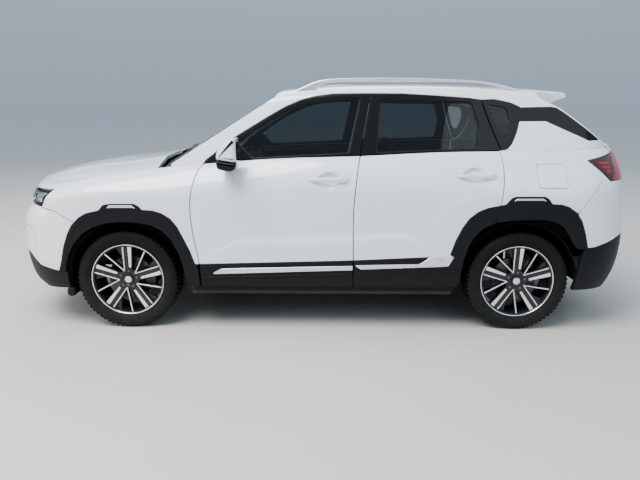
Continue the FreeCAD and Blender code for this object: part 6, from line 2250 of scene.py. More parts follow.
    def _grille(self) -> None:
        """Grille backing and slats, and the lower intake's mesh."""
        back = Patch()
        for points in (GRILLE, INTAKE):
            loop = [(NOSE, points[0][1] + 6.0)]
            loop += end_u([(points[1][0] + 10.0, points[1][1] + 6.0),
                (points[2][0] + 6.0, points[2][1] - 6.0)])
            loop += [(NOSE, points[3][1] - 6.0)]
            back.merged(LOWER.cut(lower_loop(loop), lift=-25.0, spacing=24.0,
                hem=Hem(roll=0.5, depth=4.0, steps=1)))
        both_sides("grille_backing", back, Coat.LINER, ["grille"])
        slats = Patch()
        for first, step, count, foot, wide, slope in ((652.0, 24.0, self.slat_count, 644.0, 322.0,
                66.0 / 152.0), (350.0, 24.0, 5, 334.0, 424.0, 84.0 / 134.0)):
            for number in range(count):
                height = first + number * step
                slats.merged(self._slat(height, wide + (height - foot) * slope, -self.slat_out))
        make_piece("grille_slats", slats, [Coat.GLOSS_BLACK], "root")
        frame = LOWER.cut(lower_loop(end_u([(385, 803), (380, 797), (314, 650), (322, 642),
            (395, 800)])), lift=1.4, hem=Hem(roll=1.5, depth=8.0))
        both_sides("grille_trim", frame, Coat.CHROME)

    def _slat(self, height: float, half: float, lift: float) -> Patch:
        """One curved slat across the nose.

        Args:
            height: height of the middle.
            half: half its width.
            lift: how far it stands out from the skin.

        Returns:
            The slat's mesh data.
        """
        across = np.linspace(-half, half, 41)
        place, normal = nose_spots(np.stack([np.abs(across), np.full(41, height)], axis=-1))
        flip = np.ones((41, 3))
        flip[:, 1] = np.where(across < 0, -1.0, 1.0)
        place, normal = place * flip, normal * flip
        rings = [p + n * lift + UP * math.sin(a) * self.slat_height / 2 + n * math.cos(a) * 7.0 for p,
            n in zip(place, normal) for a in turn_angles(12)]
        return tube_patch(np.array(rings).reshape(41, 12, 3))

    def _crease_shade_strips(self) -> None:
        """Dark strips of painted shade along the creases of the bumper's corner, level and then down
        round the corner.
        """
        high = end_u([(610, 716), (700, 706)])
        high += side_u([(1950, 672), (1936, 656)])
        foot = side_u([(1922, 632), (1910, 569)])
        patch = Patch()
        for run in (high, foot):
            middle = trace(run, 9.0, closed=False)
            way = np.gradient(middle, axis=0)
            away = np.stack([-way[:, 1], way[:, 0]], axis=-1)
            away *= self.crease / 2 / np.linalg.norm(away, axis=1, keepdims=True)
            loop = lower_loop(np.concatenate([middle + away, (middle - away)[::-1]]))
            patch.merged(LOWER.cut(loop, lift=0.3, hem=Hem(roll=0.5, depth=0.6, steps=1)))
        # near-black strips laid on the bumper paint as painted shade in its creases
        both_sides("bumper_creases", patch, Coat.CLADDING)

    def _fog_lamps(self) -> None:
        """Corner pods with their lamps, low on the bumper."""
        loop = lower_loop(end_u(rounded([(430, 652), (556, 646), (604, 600), (590, 556), (470, 562)],
            18.0, 8.0)))
        pod = LOWER.cut(loop, lift=1.0, hem=Hem(roll=1.5, depth=2.0), spacing=12.0)
        both_sides("fog_pods", pod, Coat.GLOSS_BLACK)
        (place,), (face,) = nose_spots([(520, 603)])
        rows = [(0, 29), (6, 28), (6, 24), (3, 22), (3.5, 14.0), (1.5, 0.5)]
        both_sides("fog_lamp_rings", turned_patch(rows, place, face, 30), Coat.CHROME)

    def _plate(self) -> None:
        """Blank number plate on the bumper."""
        half, tall = self.plate_width / 2, self.plate_height / 2
        loop = lower_loop(end_u(rounded([(half, 570.0 - tall), (half, 570.0 + tall),
            (1.0, 570.0 + tall), (1.0, 570.0 - tall)], 8.0, 9.0)))
        patch = LOWER.cut(loop, lift=1.0, hem=Hem(roll=1.0, depth=2.5), spacing=20.0)
        both_sides("front_plate", patch, Coat.SILVER)


@dataclass
class Top:
    """Roof, rails, bonnet, cowl, wipers and windscreen."""

    roof_half: float = 540.0
    gate_front: float = -1368.0
    rail_low: float = 570.0
    rail_high: float = 596.0

    def build(self) -> None:
        """Builds the top."""
        self._roof()
        self._rails()
        self._bonnet()
        self._cowl()
        self._windscreen()
        self._wipers()

    def _roof(self) -> None:
        """Roof panel between the two edge seams."""
        half = self.roof_half - 1.5
        ys = np.linspace(-half, half, 41)
        front = []
        for y in ys:
            low, high = 100.0, 600.0
            for _ in range(40):
                x = 0.5 * (low + high)
                z = float(SKIN.roof_z(np.array(x), np.array(y)))
                glass_x = float(SKIN.screen(np.array([y]), np.array([z]))[0][0])
                low, high = (low, x) if x > glass_x else (x, high)
            front.append((x - 2.0, float(y)))
        back = [(self.gate_front + 3.0, y) for y in np.linspace(half, -half, 30)]
        loop = trace(front + back, 14.0)
        patch = ROOF.cut(loop, spacing=24.0, hem=Hem(roll=3.0, depth=24.0))
        lining = ROOF.cut(grown(loop, -30.0), spacing=40.0, lift=-46.0, hem=THIN, finish=1)
        make_piece("roof_skin", patch.merged(lining.turned()), [Coat.PAINT, Coat.HEADLINER], "root",
            ["roof"])

    def _rails(self) -> None:
        """Roof rails: arched bars that stand on the roof at both ends."""
        top = SmoothTable([(205, 1556), (160, 1584), (100, 1613), (45, 1634), (-23, 1647),
            (-115, 1653), (-252, 1656), (-522, 1657), (-792, 1651), (-1061, 1636), (-1197, 1612),
            (-1290, 1588), (-1350, 1566)])
        foot = SmoothTable([(205, 1553), (150, 1553), (70, 1553), (17, 1604), (-64, 1628),
            (-500, 1631), (-1008, 1627), (-1172, 1597), (-1215, 1563), (-1290, 1563), (-1350, 1563)])
        xs = np.linspace(204.0, -1349.0, 120)
        high, low = top(xs), np.minimum(foot(xs), top(xs) - 2.0)
        turn = turn_angles(16)
        middle = 0.5 * (self.rail_low + self.rail_high)
        half = 0.5 * (self.rail_high - self.rail_low)
        rings = np.zeros((len(xs), len(turn), 3))
        rings[..., 0] = xs[:, None]
        lean = (high - 1600.0)[:, None] * 0.12
        rings[..., 1] = middle + half * squared(np.cos(turn), 0.6) - np.clip(lean, 0, 6)
        tall = squared(np.sin(turn), 0.7)
        rings[..., 2] = 0.5 * (high + low)[:, None] + 0.5 * (high - low)[:, None] * tall
        patch = tube_patch(rings)
        both_sides("rail_bars", patch, Coat.RAIL, ["roof_rails"])

    def _bonnet(self) -> None:
        """Bonnet with its two raised lines and the lip down to the headlamps."""
        edge = SKIN.lower(np.linspace(1300.0, NOSE, 90), np.full(90, 11.0))[:, :2]
        xs = np.linspace(1089.0, 1290.0, 16)
        left = np.concatenate([np.stack([xs, SKIN.top_edge(xs)[0]], axis=-1), edge])
        run = np.gradient(left, axis=0)
        away = np.stack([-run[:, 1], run[:, 0]], axis=-1)
        away = unit(away)
        away[:, 1] = np.abs(away[:, 1])
        gap = np.where(left[:, 0] < 1600.0, 6.0, 6.0 * np.clip((1640.0 - left[:, 0]) / 40.0, 0, 1))
        left = left - away * gap[:, None]
        left[-1, 1] = 0.0
        ys = np.linspace(-left[0, 1], left[0, 1], 50)[1:-1]
        rear = np.stack([1087.0 + 45.0 * (1 - (ys / 762.0) ** 2), ys], axis=-1)
        right = left[-2::-1] * np.array([1.0, -1.0])
        dense = trace(np.concatenate([rear, left, right]), 14.0)
        patch = BONNET.cut(dense, flush=dense[:, 0] > 1650.0, spacing=20.0,
            hem=Hem(roll=3.0, depth=22.0))
        loop = [(u, z + 3.0) for u, z in BONNET_SEAM[1:]]
        loop += end_u([(430, 921), (300, 919)]) + [(NOSE, 917.0)]
        outline = lower_loop(loop + top_run(NOSE, 1668.0))
        lip = LOWER.cut(outline, flush=on_centre(outline) | on_top(outline),
            hem=Hem(roll=3.0, depth=22.0), spacing=14.0)
        make_piece("bonnet_skin", patch.merged(lip.with_mirror()), [Coat.PAINT], "bonnet",
            ["bonnet"])

    def _cowl(self) -> None:
        """Black cowl under the windscreen's foot, with its louvres."""
        patch = Patch()
        for y in np.linspace(-560.0, 560.0, 29):
            x = 1010.0 - 0.00008 * y * y
            z = float(SKIN.bonnet_z(np.array(x), np.array(y))) - 33.0
            patch.merged(bar_patch((x - 34.0, y, z), (x + 34.0, y, z), (0, 1, 0), 7.0, 6.0))
        make_piece("cowl_louvres", patch, [Coat.CLADDING], "root")

    def _windscreen(self) -> None:
        """Windscreen with its black border."""
        edge = [(738, 1148), (699, 1320), (646, 1502), (598, 1545)]
        loop = rounded(edge + [(-y, z) for y, z in edge[::-1]], 24.0, 16.0)
        pane = SCREEN.cut(loop, spacing=40.0, lift=-3.0, hem=Hem(roll=0.5, depth=4.0, steps=1))
        make_piece("windscreen_pane", pane, [Coat.SCREEN_GLASS], "root", ["windscreen"])
        inner = grown(loop, -34.0)
        band = SCREEN.cut(grown(loop, 1.0), [inner], spacing=30.0, lift=-1.6,
            hem=Hem(roll=0.5, depth=1.0, steps=1))
        make_piece("windscreen_band", band, [Coat.GLOSS_BLACK], "root")

    def _wipers(self) -> None:
        """Two parked wipers along the foot of the windscreen."""
        patch = Patch()
        for start, end, elbow in ((610, -60, 560), (20, -560, -40)):
            low = SKIN.screen(np.array([start, elbow, end]), np.array([1156.0, 1172.0, 1176.0]))
            offset = np.array([8.0, 0.0, 6.0])
            patch.merged(bar_patch(low[0] + offset * 1.5, low[1] + offset, UP, 16.0, 8.0))
            patch.merged(bar_patch(low[1] + offset, (low[1] + low[2]) / 2 + offset, UP, 11.0, 6.0))
            patch.merged(bar_patch(low[1] + offset * 0.8, low[2] + offset * 0.8, (1, 0, 1), 8.0, 9.0))
        make_piece("wipers", patch, [Coat.CLADDING], "root")


@dataclass
class Tail:
    """Rear bumper, tailgate, its window, lamps and spoiler."""

    gate_half: float = 610.0
    gate_low: float = 748.0
    gap: float = 6.0
    lamp_reach: float = 433.0
    plate_width: float = 440.0
    plate_height: float = 130.0

    def build(self) -> None:
        """Builds the tail."""
        self._bumper()
        self._lower()
        self._gate()
        self._window()
        self._spoiler()
        self._lamps()
        self._plate()

    def _bumper(self) -> None:
        """Painted rear bumper round the tailgate's lower edge."""
        edge = self.gate_half + 6.0
        low = side_u(TAIL_PAINT_LOW[::-1]) + [tail_u(600.0, 640.0), (-NOSE, 646.0)]
        gate = [(-NOSE, self.gate_low - self.gap), tail_u(edge, self.gate_low - self.gap)]
        gate += [tail_u(edge, 1004.0)]
        seam = side_u([(-1890, 1000)] + [(x - 2.0, z - 2.5) for x, z in TAIL_SEAM[1:3]])
        arch = side_u([(-1624, 706), (-1652, 655), (-1676, 605), (-1694, 572)])
        outline = lower_loop(low + gate + seam + arch)
        patch = LOWER.cut(outline, flush=on_centre(outline), hem=Hem(depth=24.0))
        both_sides("rear_bumper_skin", patch, Coat.PAINT, ["bumper_rear"])

    def _lower(self) -> None:
        """Black lower bumper, skid plate and reflectors."""
        top = side_u([(-1712, 563)] + [(x, z - 3.0) for x, z in TAIL_PAINT_LOW[1::-1]])
        top += [tail_u(600.0, 637.0), (-NOSE, 643.0)]
        foot = foot_run(-NOSE, side_u([(-1672, 330)])[0][0])
        back = side_u([(-1686, 400), (-1700, 500)])
        outline = lower_loop(top + foot + back)
        patch = LOWER.cut(outline, flush=on_centre(outline), hem=Hem(depth=24.0), lift=-0.5)
        both_sides("rear_lower_skin", patch, Coat.CLADDING, ["bumper_rear_lower"])
        plate = lower_loop([(-NOSE, 338.0), tail_u(430.0, 338.0), tail_u(470.0, 300.0), (-NOSE, 296.0)])
        skid = LOWER.cut(plate, lift=3.0, hem=Hem(roll=3.0, depth=4.0), flush=on_centre(plate))
        both_sides("rear_skid_plate", skid, Coat.SILVER)
        strip = lower_loop(rounded([tail_u(700.0, 548.0), tail_u(560.0, 548.0), tail_u(560.0, 524.0),
            tail_u(700.0, 524.0)], 8.0, 6.0))
        # the red lens finish's faint emission gives these reflectors a painted glow
        lens = LOWER.cut(strip, lift=2.0, hem=Hem(roll=2.0, depth=2.5))
        both_sides("rear_reflectors", lens, Coat.RED_LENS)

    def _gate(self) -> None:
        """Lower panel of the tailgate and the shelf under its window."""
        half = self.gate_half
        points = [tail_u(half, self.gate_low), tail_u(half, 1008.0),
            tail_u(self.lamp_reach - 3.0, 1014.0), tail_u(self.lamp_reach - 3.0, 1186.0),
            tail_u(half, 1184.0)]
        u_edge = points[-1][0]
        points += [(u_edge, float(SKIN.rows(np.array([u_edge]))[1][0, -1]))]
        points += top_run(u_edge, -NOSE)[1:] + [(-NOSE, self.gate_low)]
        outline = lower_loop(points)
        flush = on_centre(outline) | on_top(outline)
        patch = LOWER.cut(outline, flush=flush, hem=Hem(depth=22.0))
        rim = SKIN.lower(np.linspace(u_edge, -NOSE, 40), np.full(40, 11.0))
        foot_y = np.linspace(0.0, half, 40)
        inner = SKIN.rear_window(foot_y, np.full(40, 1236.0))
        inner[:, 0] -= 2.0
        shelf = Sheet(partial(self._shelf, rim[np.argsort(rim[:, 1])]), Facing.DIRECT)
        loop = trace(np.concatenate([rim[:, :2], inner[:, :2]]), 12.0)
        rims = np.array([np.min(np.hypot(*(rim[:, :2] - p).T)) for p in loop])
        shelf_patch = shelf.cut(loop, flush=(rims < 6.0) | (loop[:, 1] < 0.6), spacing=18.0,
            hem=Hem(roll=2.0, depth=10.0))
        make_piece("tailgate_skin", patch.merged(shelf_patch).with_mirror(), [Coat.PAINT], "tailgate",
            ["tailgate"])

    @staticmethod
    def _shelf(rim: Array, x: Array, y: Array) -> Array:
        """Point of the shelf behind the rear window, level with its rim.

        Args:
            rim: points of its rear edge.
            x: stations, positive towards the nose.
            y: distances from the centre plane.

        Returns:
            Rows of X, Y and Z.
        """
        edge_x = np.interp(np.abs(y), rim[:, 1], rim[:, 0])
        z = np.interp(np.abs(y), rim[:, 1], rim[:, 2]) + 0.14 * (x - edge_x)
        return np.stack([x, y, z], axis=-1)

    def _window(self) -> None:
        """Frame, glass, printed border and wiper of the rear window."""
        low, high = self.gate_half - 2.0, 532.0
        outer = rounded([(-low, 1236.0), (low, 1236.0), (high, 1538.0), (-high, 1538.0)], 14.0)
        glass = rounded([(-562, 1254), (562, 1254), (502, 1500), (-502, 1500)], 34.0, 12.0)
        frame = REAR_WINDOW.cut(outer, [grown(glass, 3.0)], lift=-2.0, spacing=24.0,
            hem=Hem(roll=2.5, depth=16.0))
        make_piece("tailgate_frame", frame, [Coat.GLOSS_BLACK], "tailgate")
        pane = REAR_WINDOW.cut(glass, lift=-4.0, spacing=30.0, hem=Hem(0.5, 4.0, 1))
        make_piece("tailgate_pane", pane, [Coat.SIDE_GLASS], "tailgate", ["tailgate_glass"])
        self._surrounds()
        wiper = Patch()
        spots = SKIN.rear_window(np.array([0.0, -40.0, -330.0]), np.array([1268.0, 1290.0, 1318.0]))
        spots[:, 0] -= 16.0
        wiper.merged(bar_patch(spots[0], spots[1], (0, 1, 0), 20.0, 10.0))
        wiper.merged(bar_patch(spots[1], spots[2], (0.7, 0, 0.7), 12.0, 8.0))
        wiper.merged(turned_patch([(-6, 19), (2, 19), (17, 14), (20.0, 0.4)],
            spots[0] + np.array([6.0, 0, 0]), (-0.58, 0, 0.82), 26))
        make_piece("rear_wiper", wiper, [Coat.CLADDING], "tailgate")

    def _surrounds(self) -> None:
        """Black panels between the rear pillars and the tailgate's window frame."""
        edge = trace([(-1866, 1240), (-1862, 1250), (-1700, 1367), (-1560, 1466), (-1440, 1528)], 12.0,
            closed=False)
        rows = on_pillar(edge + np.array([2.0, 0.0]))
        outer = SKIN.pillar(rows[:, 0], rows[:, 1])
        share = (outer[:, 2] - 1236.0) / (1538.0 - 1236.0)
        inner = SKIN.rear_window(614.0 - 77.0 * share, outer[:, 2])
        parts = np.linspace(0.0, 1.0, 5)[:, None, None]
        grid = outer[None] * (1.0 - parts) + inner[None] * parts
        grid[..., 0] += 3.0
        rim = grid[-1] + np.array([22.0, 0.0, 0.0])
        patch = Patch()
        self._grid_faces(patch, np.concatenate([grid, rim[None]]))
        both_sides("gate_surrounds", patch, Coat.GLOSS_BLACK)

    def _spoiler(self) -> None:
        """Roof spoiler with its flanks and the high brake lamp."""
        front = -1368.0 - self.gap
        ys = np.linspace(-533.0, 533.0, 49)
        rows = [(front + 1.0, -16.0), (front, -3.0), (front - 2.5, -0.4)]
        rows += [(float(x), 0.0) for x in np.linspace(front - 20.0, -1650.0, 22)]
        rows += [(-1658.0, -1.2), (-1663.0, -4.5), (-1665, -10), (-1663.5, -18.0), (-1659, -22),
            (-1640, -28), (-1600, -44), (-1570, -60), (-1530, -74)]
        grid = np.zeros((len(ys), len(rows), 3))
        for j, (x, drop) in enumerate(rows):
            bow = 0.00008 * ys ** 2 * min(max((front - x) / 290.0, 0.0), 1.0)
            xs = x + bow
            grid[:, j, 0] = xs
            grid[:, j, 1] = ys
            grid[:, j, 2] = SKIN.roof_z(xs, ys) + drop - 1.0
        round_off = ease((533.0 - np.abs(ys)) / 16.0)
        grid[..., 2] -= (1.0 - round_off)[:, None] * 9.0
        patch = Patch()
        self._grid_faces(patch, grid)
        for row, sign in ((0, -1.0), (-1, 1.0)):
            high = grid[row, 1:28]
            foot = grid[row, 27:][::-1]
            low = high.copy()
            low[:, 2] = np.interp(high[:, 0], foot[::-1, 0], foot[::-1, 2])
            low[:, 2] = np.minimum(low[:, 2], high[:, 2] - 0.5)
            facing = np.tile([0.0, sign, 0.0], (len(high), 1))
            one, two = patch.add_points(high, facing), patch.add_points(low, facing)
            patch.strip(one, two, len(high), False, 0, sign > 0)
        make_piece("spoiler_skin", patch, [Coat.PAINT], "tailgate", ["spoiler"])
        lamp = bar_patch((-1664, -150, 1566), (-1664, 150, 1566), UP, 9.0, 4.0)
        make_piece("high_brake_lamp", lamp, [Coat.RED_LENS], "tailgate")

    @staticmethod
    def _grid_faces(patch: Patch, grid: Array) -> None:
        """Adds a smooth grid of points, its outside on the left of the second direction.

        Args:
            patch: the mesh data that is added to.
            grid: rows of points.
        """
        along = np.gradient(grid, axis=0)
        across = np.gradient(grid, axis=1)
        normal = np.cross(across, along)
        normal /= np.maximum(np.linalg.norm(normal, axis=2, keepdims=True), 1e-9)
        up = np.sum(normal[:, grid.shape[1] // 3, 2]) > 0
        normal = normal if up else -normal
        firsts = [patch.add_points(grid[i], normal[i]) for i in range(grid.shape[0])]
        for one, two in zip(firsts[:-1], firsts[1:]):
            patch.strip(one, two, grid.shape[1], False, 0, not up)

    def _lamps(self) -> None:
        """Tail lamps: dark housings, red bars and red rims, split at the tailgate."""
        u_out = tail_u(self.gate_half + 6.0, 1100.0)[0]
        u_in = tail_u(self.gate_half, 1100.0)[0]
        side = side_u([(-1882, 1002), (-1723, 1132), (-1922, 1171)])
        outer = rounded(side + [(u_out, 1177.0), (u_out, 1008.0)], 8.0, 7.0)
        inner = rounded([(u_in, 1012.0), (u_in, 1177.0), tail_u(self.lamp_reach, 1179.0),
            tail_u(self.lamp_reach, 1019.0)], 8.0, 7.0)
        for name, loop, body, node in (("tail_lamp_housings", outer, "root", "tail_lamps"),
                ("gate_lamp_housings", inner, "tailgate", "tailgate_lamps")):
            lens = LOWER.cut(lower_loop(loop), lift=-1.0, spacing=14.0, hem=Hem(roll=2.5, depth=20.0))
            make_piece(name, lens.with_mirror(), [Coat.SMOKED_LENS], body, [node])
        bars = Patch()
        for low, high, start, end in ((1108.0, 1124.0, -1792.0, -1880.0),
                (1080.0, 1098.0, -1808.0, -1880.0), (1056.0, 1072.0, -1838.0, -1880.0)):
            points = side_u([(start - (high - low) * 0.9, low), (start, high), (end, high),
                (end - 3.0, low)])
            bars.merged(LOWER.cut(lower_loop(rounded(points, 3.0, 5.0)), lift=0.6,
                hem=Hem(roll=1.5, depth=2.0)))
        rim = side_u([(-1905, 1006), (-1908, 1030), (-1925, 1060), (-1925, 1150), (-1905, 1160),
            (-1922, 1167)])
        rim += [(u_out + 4.0, 1170.0), (u_out + 4.0, 1014.0)]
        bars.merged(LOWER.cut(lower_loop(rim), lift=0.6, hem=Hem(roll=1.5, depth=2.0)))
        both_sides("tail_lamp_bars", bars, Coat.RED_LENS)
        glow = Patch()
        for low, high in ((1150, 1168), (1028, 1044)):
            points = [(u_in - 6.0, low), (u_in - 6.0, high), tail_u(self.lamp_reach + 14.0, high),
                tail_u(self.lamp_reach + 14.0, low)]
            glow.merged(LOWER.cut(lower_loop(rounded(points, 4.0, 5.0)), lift=0.6,
                hem=Hem(roll=1.5, depth=2.0)))
        both_sides("gate_lamp_bars", glow, Coat.RED_LENS, body="tailgate")

    def _plate(self) -> None:
        """Blank number plate and the handle bar above it."""
        half, low = self.plate_width / 2, 800.0
        points = [(-NOSE, low), (-NOSE, low + self.plate_height), tail_u(half,
            low + self.plate_height), tail_u(half, low)]
        loop = lower_loop(points)
        patch = LOWER.cut(loop, lift=1.5, flush=on_centre(loop), hem=Hem(roll=1.0, depth=3.0),
            spacing=20.0)
        both_sides("rear_plate", patch, Coat.SILVER, body="tailgate")
        points = [(-NOSE, 955.0), (-NOSE, 985.0), tail_u(300.0, 985.0), tail_u(290.0, 955.0)]
        loop = lower_loop(points)
        bar = LOWER.cut(loop, lift=4.0, flush=on_centre(loop), hem=Hem(roll=3.0, depth=6.0))
        both_sides("gate_handle_bar", bar, Coat.GLOSS_BLACK, body="tailgate")


def ring_tree(name: str) -> bpy.types.NodeTree:
    """Tree that sets copies of its object's mesh in rows round the Y axis.

    Args:
        name: the name it is given.

    Returns:
        The tree.
    """
    sheet = new_group(name, "GeometryNodeTree", [("Geometry", Socket.GEOMETRY),
        ("Count", Socket.WHOLE, 60), ("Radius", Socket.NUMBER, 0.3),
        ("Row Distance", Socket.NUMBER, 0.04), ("Rows", Socket.WHOLE, 3), ("Lean", Socket.NUMBER, 0.3),
        ("Material", Socket.MATERIAL)], [("Geometry", Socket.GEOMETRY)])
    given = sheet.node("NodeGroupInput").outputs
    total = sheet.math("MULTIPLY", given["Count"], given["Rows"])
    points = sheet.node("GeometryNodePoints", {"Count": total}).outputs[0]
    index = sheet.node("GeometryNodeInputIndex").outputs[0]
    row = sheet.math("FLOOR", sheet.math("DIVIDE", index, given["Count"]))
    along = sheet.math("ADD", index, sheet.math("MULTIPLY", row, 0.37))
    angle = sheet.math("MULTIPLY", sheet.math("DIVIDE", along, given["Count"]), FULL_TURN)
    middle = sheet.math("MULTIPLY", sheet.math("SUBTRACT", given["Rows"], 1.0), 0.5)
    offset = sheet.math("MULTIPLY", sheet.math("SUBTRACT", row, middle), given["Row Distance"])
    spot = sheet.node("ShaderNodeCombineXYZ", {0: sheet.math("MULTIPLY", sheet.math("COSINE", angle),
        given["Radius"]), 1: offset, 2: sheet.math("MULTIPLY", sheet.math("SINE", angle),
        given["Radius"])})
    place = sheet.node("GeometryNodeSetPosition", {"Geometry": points, "Position": spot.outputs[0]})
    facing = sheet.node("ShaderNodeCombineXYZ", {1: sheet.math("MULTIPLY", angle, -1.0)})
    copies = sheet.node("GeometryNodeInstanceOnPoints", {"Points": place.outputs[0],
        "Instance": given["Geometry"], "Rotation": facing.outputs[0]})
    side = sheet.math("SUBTRACT", sheet.math("MODULO", row, 2.0), 0.5)
    tilt = sheet.node("ShaderNodeCombineXYZ", {0: sheet.math("MULTIPLY", side, given["Lean"])})
    lean = sheet.node("GeometryNodeRotateInstances", {"Instances": copies.outputs[0],
        "Rotation": tilt.outputs[0], "Local Space": True})
    real = sheet.node("GeometryNodeRealizeInstances", {0: lean.outputs[0]})
    finish = sheet.node("GeometryNodeSetMaterial", {"Geometry": real.outputs[0],
        "Material": given["Material"]})
    sheet.node("NodeGroupOutput", {0: finish.outputs[0]})
    return sheet.tree


def grown_mesh(name: str, base: bpy.types.Mesh, tree: bpy.types.NodeTree,
        inputs: dict[str, object]) -> bpy.types.Mesh:
    """Runs a tree on a mesh and gives back the plain result.

    Args:
        name: name of the new mesh.
        base: mesh that the tree copies.
        tree: the geometry tree.
        inputs: values of the tree's named inputs.

    Returns:
        A mesh with no modifier behind it.
    """
    holder = bpy.data.objects.new(name + "_seed", base)
    bpy.context.scene.collection.objects.link(holder)
    modifier = holder.modifiers.new("ring", "NODES")
    modifier.node_group = tree
    for item in tree.interface.items_tree:
        if item.item_type == "SOCKET" and item.in_out == "INPUT" and item.name in inputs:
            modifier[item.identifier] = inputs[item.name]
    holder.update_tag()
    graph = bpy.context.evaluated_depsgraph_get()
    result = bpy.data.meshes.new_from_object(holder.evaluated_get(graph))
    result.name = name
    holder.modifiers.remove(modifier)
    bpy.data.objects.remove(holder)
    return result


@dataclass
class Wheels:
    """Four wheels: tyres with their tread, spoked rims, bolts and brake discs."""

    axle: float = 1300.0
    track_half: float = 775.0
    radius: float = 336.0
    bead: float = 226.0
    lip: float = 243.0
    rim_half: float = 95.0
    hub: float = 70.0
    cap: float = 28.0
    bolt_circle: float = 57.15
    disc: float = 150.0
    sectors: int = 5
    leg_angle: float = 129.9
    leg_spread: float = 34.0
    bar_offset: float = 45.0
    apex_radius: float = 60.0
    blocks: int = 66
    block_height: float = 8.0

    def build(self) -> None:
        """Builds the four wheels."""
        parts = (("rim", self._rim(), [Coat.DARK_RIM, Coat.MACHINED, Coat.SILVER, Coat.STEEL], "rim"),
            ("tyre", self._tyre(), [Coat.RUBBER], "tyre"), ("disc", self._brake_disc(), [Coat.DISC],
            "iron"))
        tree = ring_tree("tread_rows")
        for end, x in (("front", self.axle), ("rear", -self.axle)):
            for side, sign in (("left", 1.0), ("right", -1.0)):
                body = f"wheel_{end}_{side}"
                place = np.array([x, self.track_half, self.radius])
                for part, patch, coats, slot in parts:
                    moved = patch.moved(place)
                    nodes = [] if part == "disc" else [f"{part}_{end}_{side}"]
                    make_piece(f"wheel_{part}_{end}_{side}", moved if sign > 0 else moved.mirrored(),
                        coats, body, nodes)
                self._tread(tree, f"tread_{end}_{side}", body, place * (1.0, sign, 1.0))

    def _tread(self, tree: bpy.types.NodeTree, name: str, body: str, place: Array) -> None:
        """Tread blocks in rows and shoulder blocks, as one mesh.

        Args:
            tree: the tread's tree.
            name: the piece's name.
            body: the CAD body it moves with.
            place: the wheel's centre.
        """
        rubber = MATERIALS[Coat.RUBBER]
        meshes = []
        for rows, distance, width, length, radius, lean, tilt in ((3, 37.0, 29.0, 23.0,
                self.radius - 4.5, 0.5, 0.0), (2, 152.0, 36.0, 20.0, self.radius - 6.0, 0.16, 4.0)):
            block = self._block(width, length, tilt)
            meshes.append(grown_mesh(name, block, tree, {"Count": self.blocks, "Radius": radius * MM,
                "Row Distance": distance * MM, "Rows": rows, "Lean": lean, "Material": rubber}))
        joined = bmesh.new()
        for mesh in meshes:
            joined.from_mesh(mesh)
        bmesh.ops.translate(joined, verts=joined.verts, vec=Vector((place * MM).tolist()))
        result = bpy.data.meshes.new(name)
        joined.to_mesh(result)
        joined.free()
        result.materials.append(rubber)
        result.polygons.foreach_set("material_index", np.zeros(len(result.polygons), np.int32))
        seat_piece(bpy.data.objects.new(name, result), body)

    def _block(self, width: float, length: float, tilt: float) -> bpy.types.Mesh:
        """One tread block with chamfered top edges, its top towards +X.

        Args:
            width: size across the tyre.
            length: size round the tyre.
            tilt: how far its ends drop.

        Returns:
            The block's mesh.
        """
        low, high = -self.block_height / 2, self.block_height / 2
        shape = bmesh.new()
        rows = []
        for x, size in ((low, 1.0), (high - 1.2, 0.97), (high, 0.88)):
            ring = []
            for y, z in ((-1, -1), (1, -1), (1, 1), (-1, 1)):
                drop = tilt * abs(y) * 0.2
                ring.append(shape.verts.new(((x - drop) * MM, y * width / 2 * size * MM,
                    z * length / 2 * size * MM)))
            rows.append(ring)
        for lower, upper in zip(rows[:-1], rows[1:]):
            for i in range(4):
                j = (i + 1) % 4
                shape.faces.new((lower[i], lower[j], upper[j], upper[i]))
        shape.faces.new(rows[-1])
        shape.faces.new(rows[0][::-1])
        bmesh.ops.recalc_face_normals(shape, faces=shape.faces)
        mesh = bpy.data.meshes.new("tread_block")
        shape.to_mesh(mesh)
        shape.free()
        return mesh

    def _tyre(self) -> Patch:
        """Carcass with its bead, rim guard, ribs and the floor of the tread.

        Returns:
            The carcass's mesh data.
        """
        side = [(83.5, 226.0), (84.5, 241.0), (90, 246), (97, 249), (99.5, 252.0), (99.5, 256.0),
            (101, 259), (105, 270), (105.8, 273.0), (106.9, 273.6), (106.9, 276.4), (106.4, 277.0),
            (107.2, 284.0), (107.3, 292.0), (106.4, 299.0), (106.9, 299.6), (106.6, 302.2),
            (105.6, 302.8), (103.4, 309.0), (100.5, 315.5), (98.0, 319.5), (95, 324), (88.0, 327.6)]
        floor = [(-75, 328), (-40.0, 328.6), (0, 329), (40.0, 328.6), (75, 328)]
        rows = [(-a, r) for a, r in side] + floor + side[::-1]
        return turned_patch(rows, np.zeros(3), LEFT, 96)

    def _face(self, x: Array, z: Array) -> Array:
        """Point of the spokes' outer face, a little hollow towards the hub.

        Args:
            x: stations, positive towards the nose.
            z: heights.

        Returns:
            Rows of X, Y and Z.
        """
        r = np.hypot(x, z)
        y = 78.0 + 7.0 * ease((r - 70.0) / 150.0)
        return np.stack([x, y, z], axis=-1)

    @staticmethod
    def _spot(radius: float, angle: float) -> tuple[float, float]:
        """Point of the wheel's face, the angle seen from outside with the nose to the left."""
        return (-radius * math.cos(math.radians(angle)), radius * math.sin(math.radians(angle)))

    def _strip(self, start: tuple[float, float], end: tuple[float, float], width_in: float,
            width_out: float) -> Array:
        """Outline of a tapered straight strip between two points.

        Args:
            start: the inner point.
            end: the outer point.
            width_in: width at the start.
            width_out: width at the end.

        Returns:
            The outline's points.
        """
        one, two = np.array(start), np.array(end)
        run = (two - one) / np.linalg.norm(two - one)
        away = np.array([-run[1], run[0]])
        corners = [one + away * width_in / 2, two + away * width_out / 2, two - away * width_out / 2,
            one - away * width_in / 2]
        return trace([tuple(c) for c in corners], 7.0)

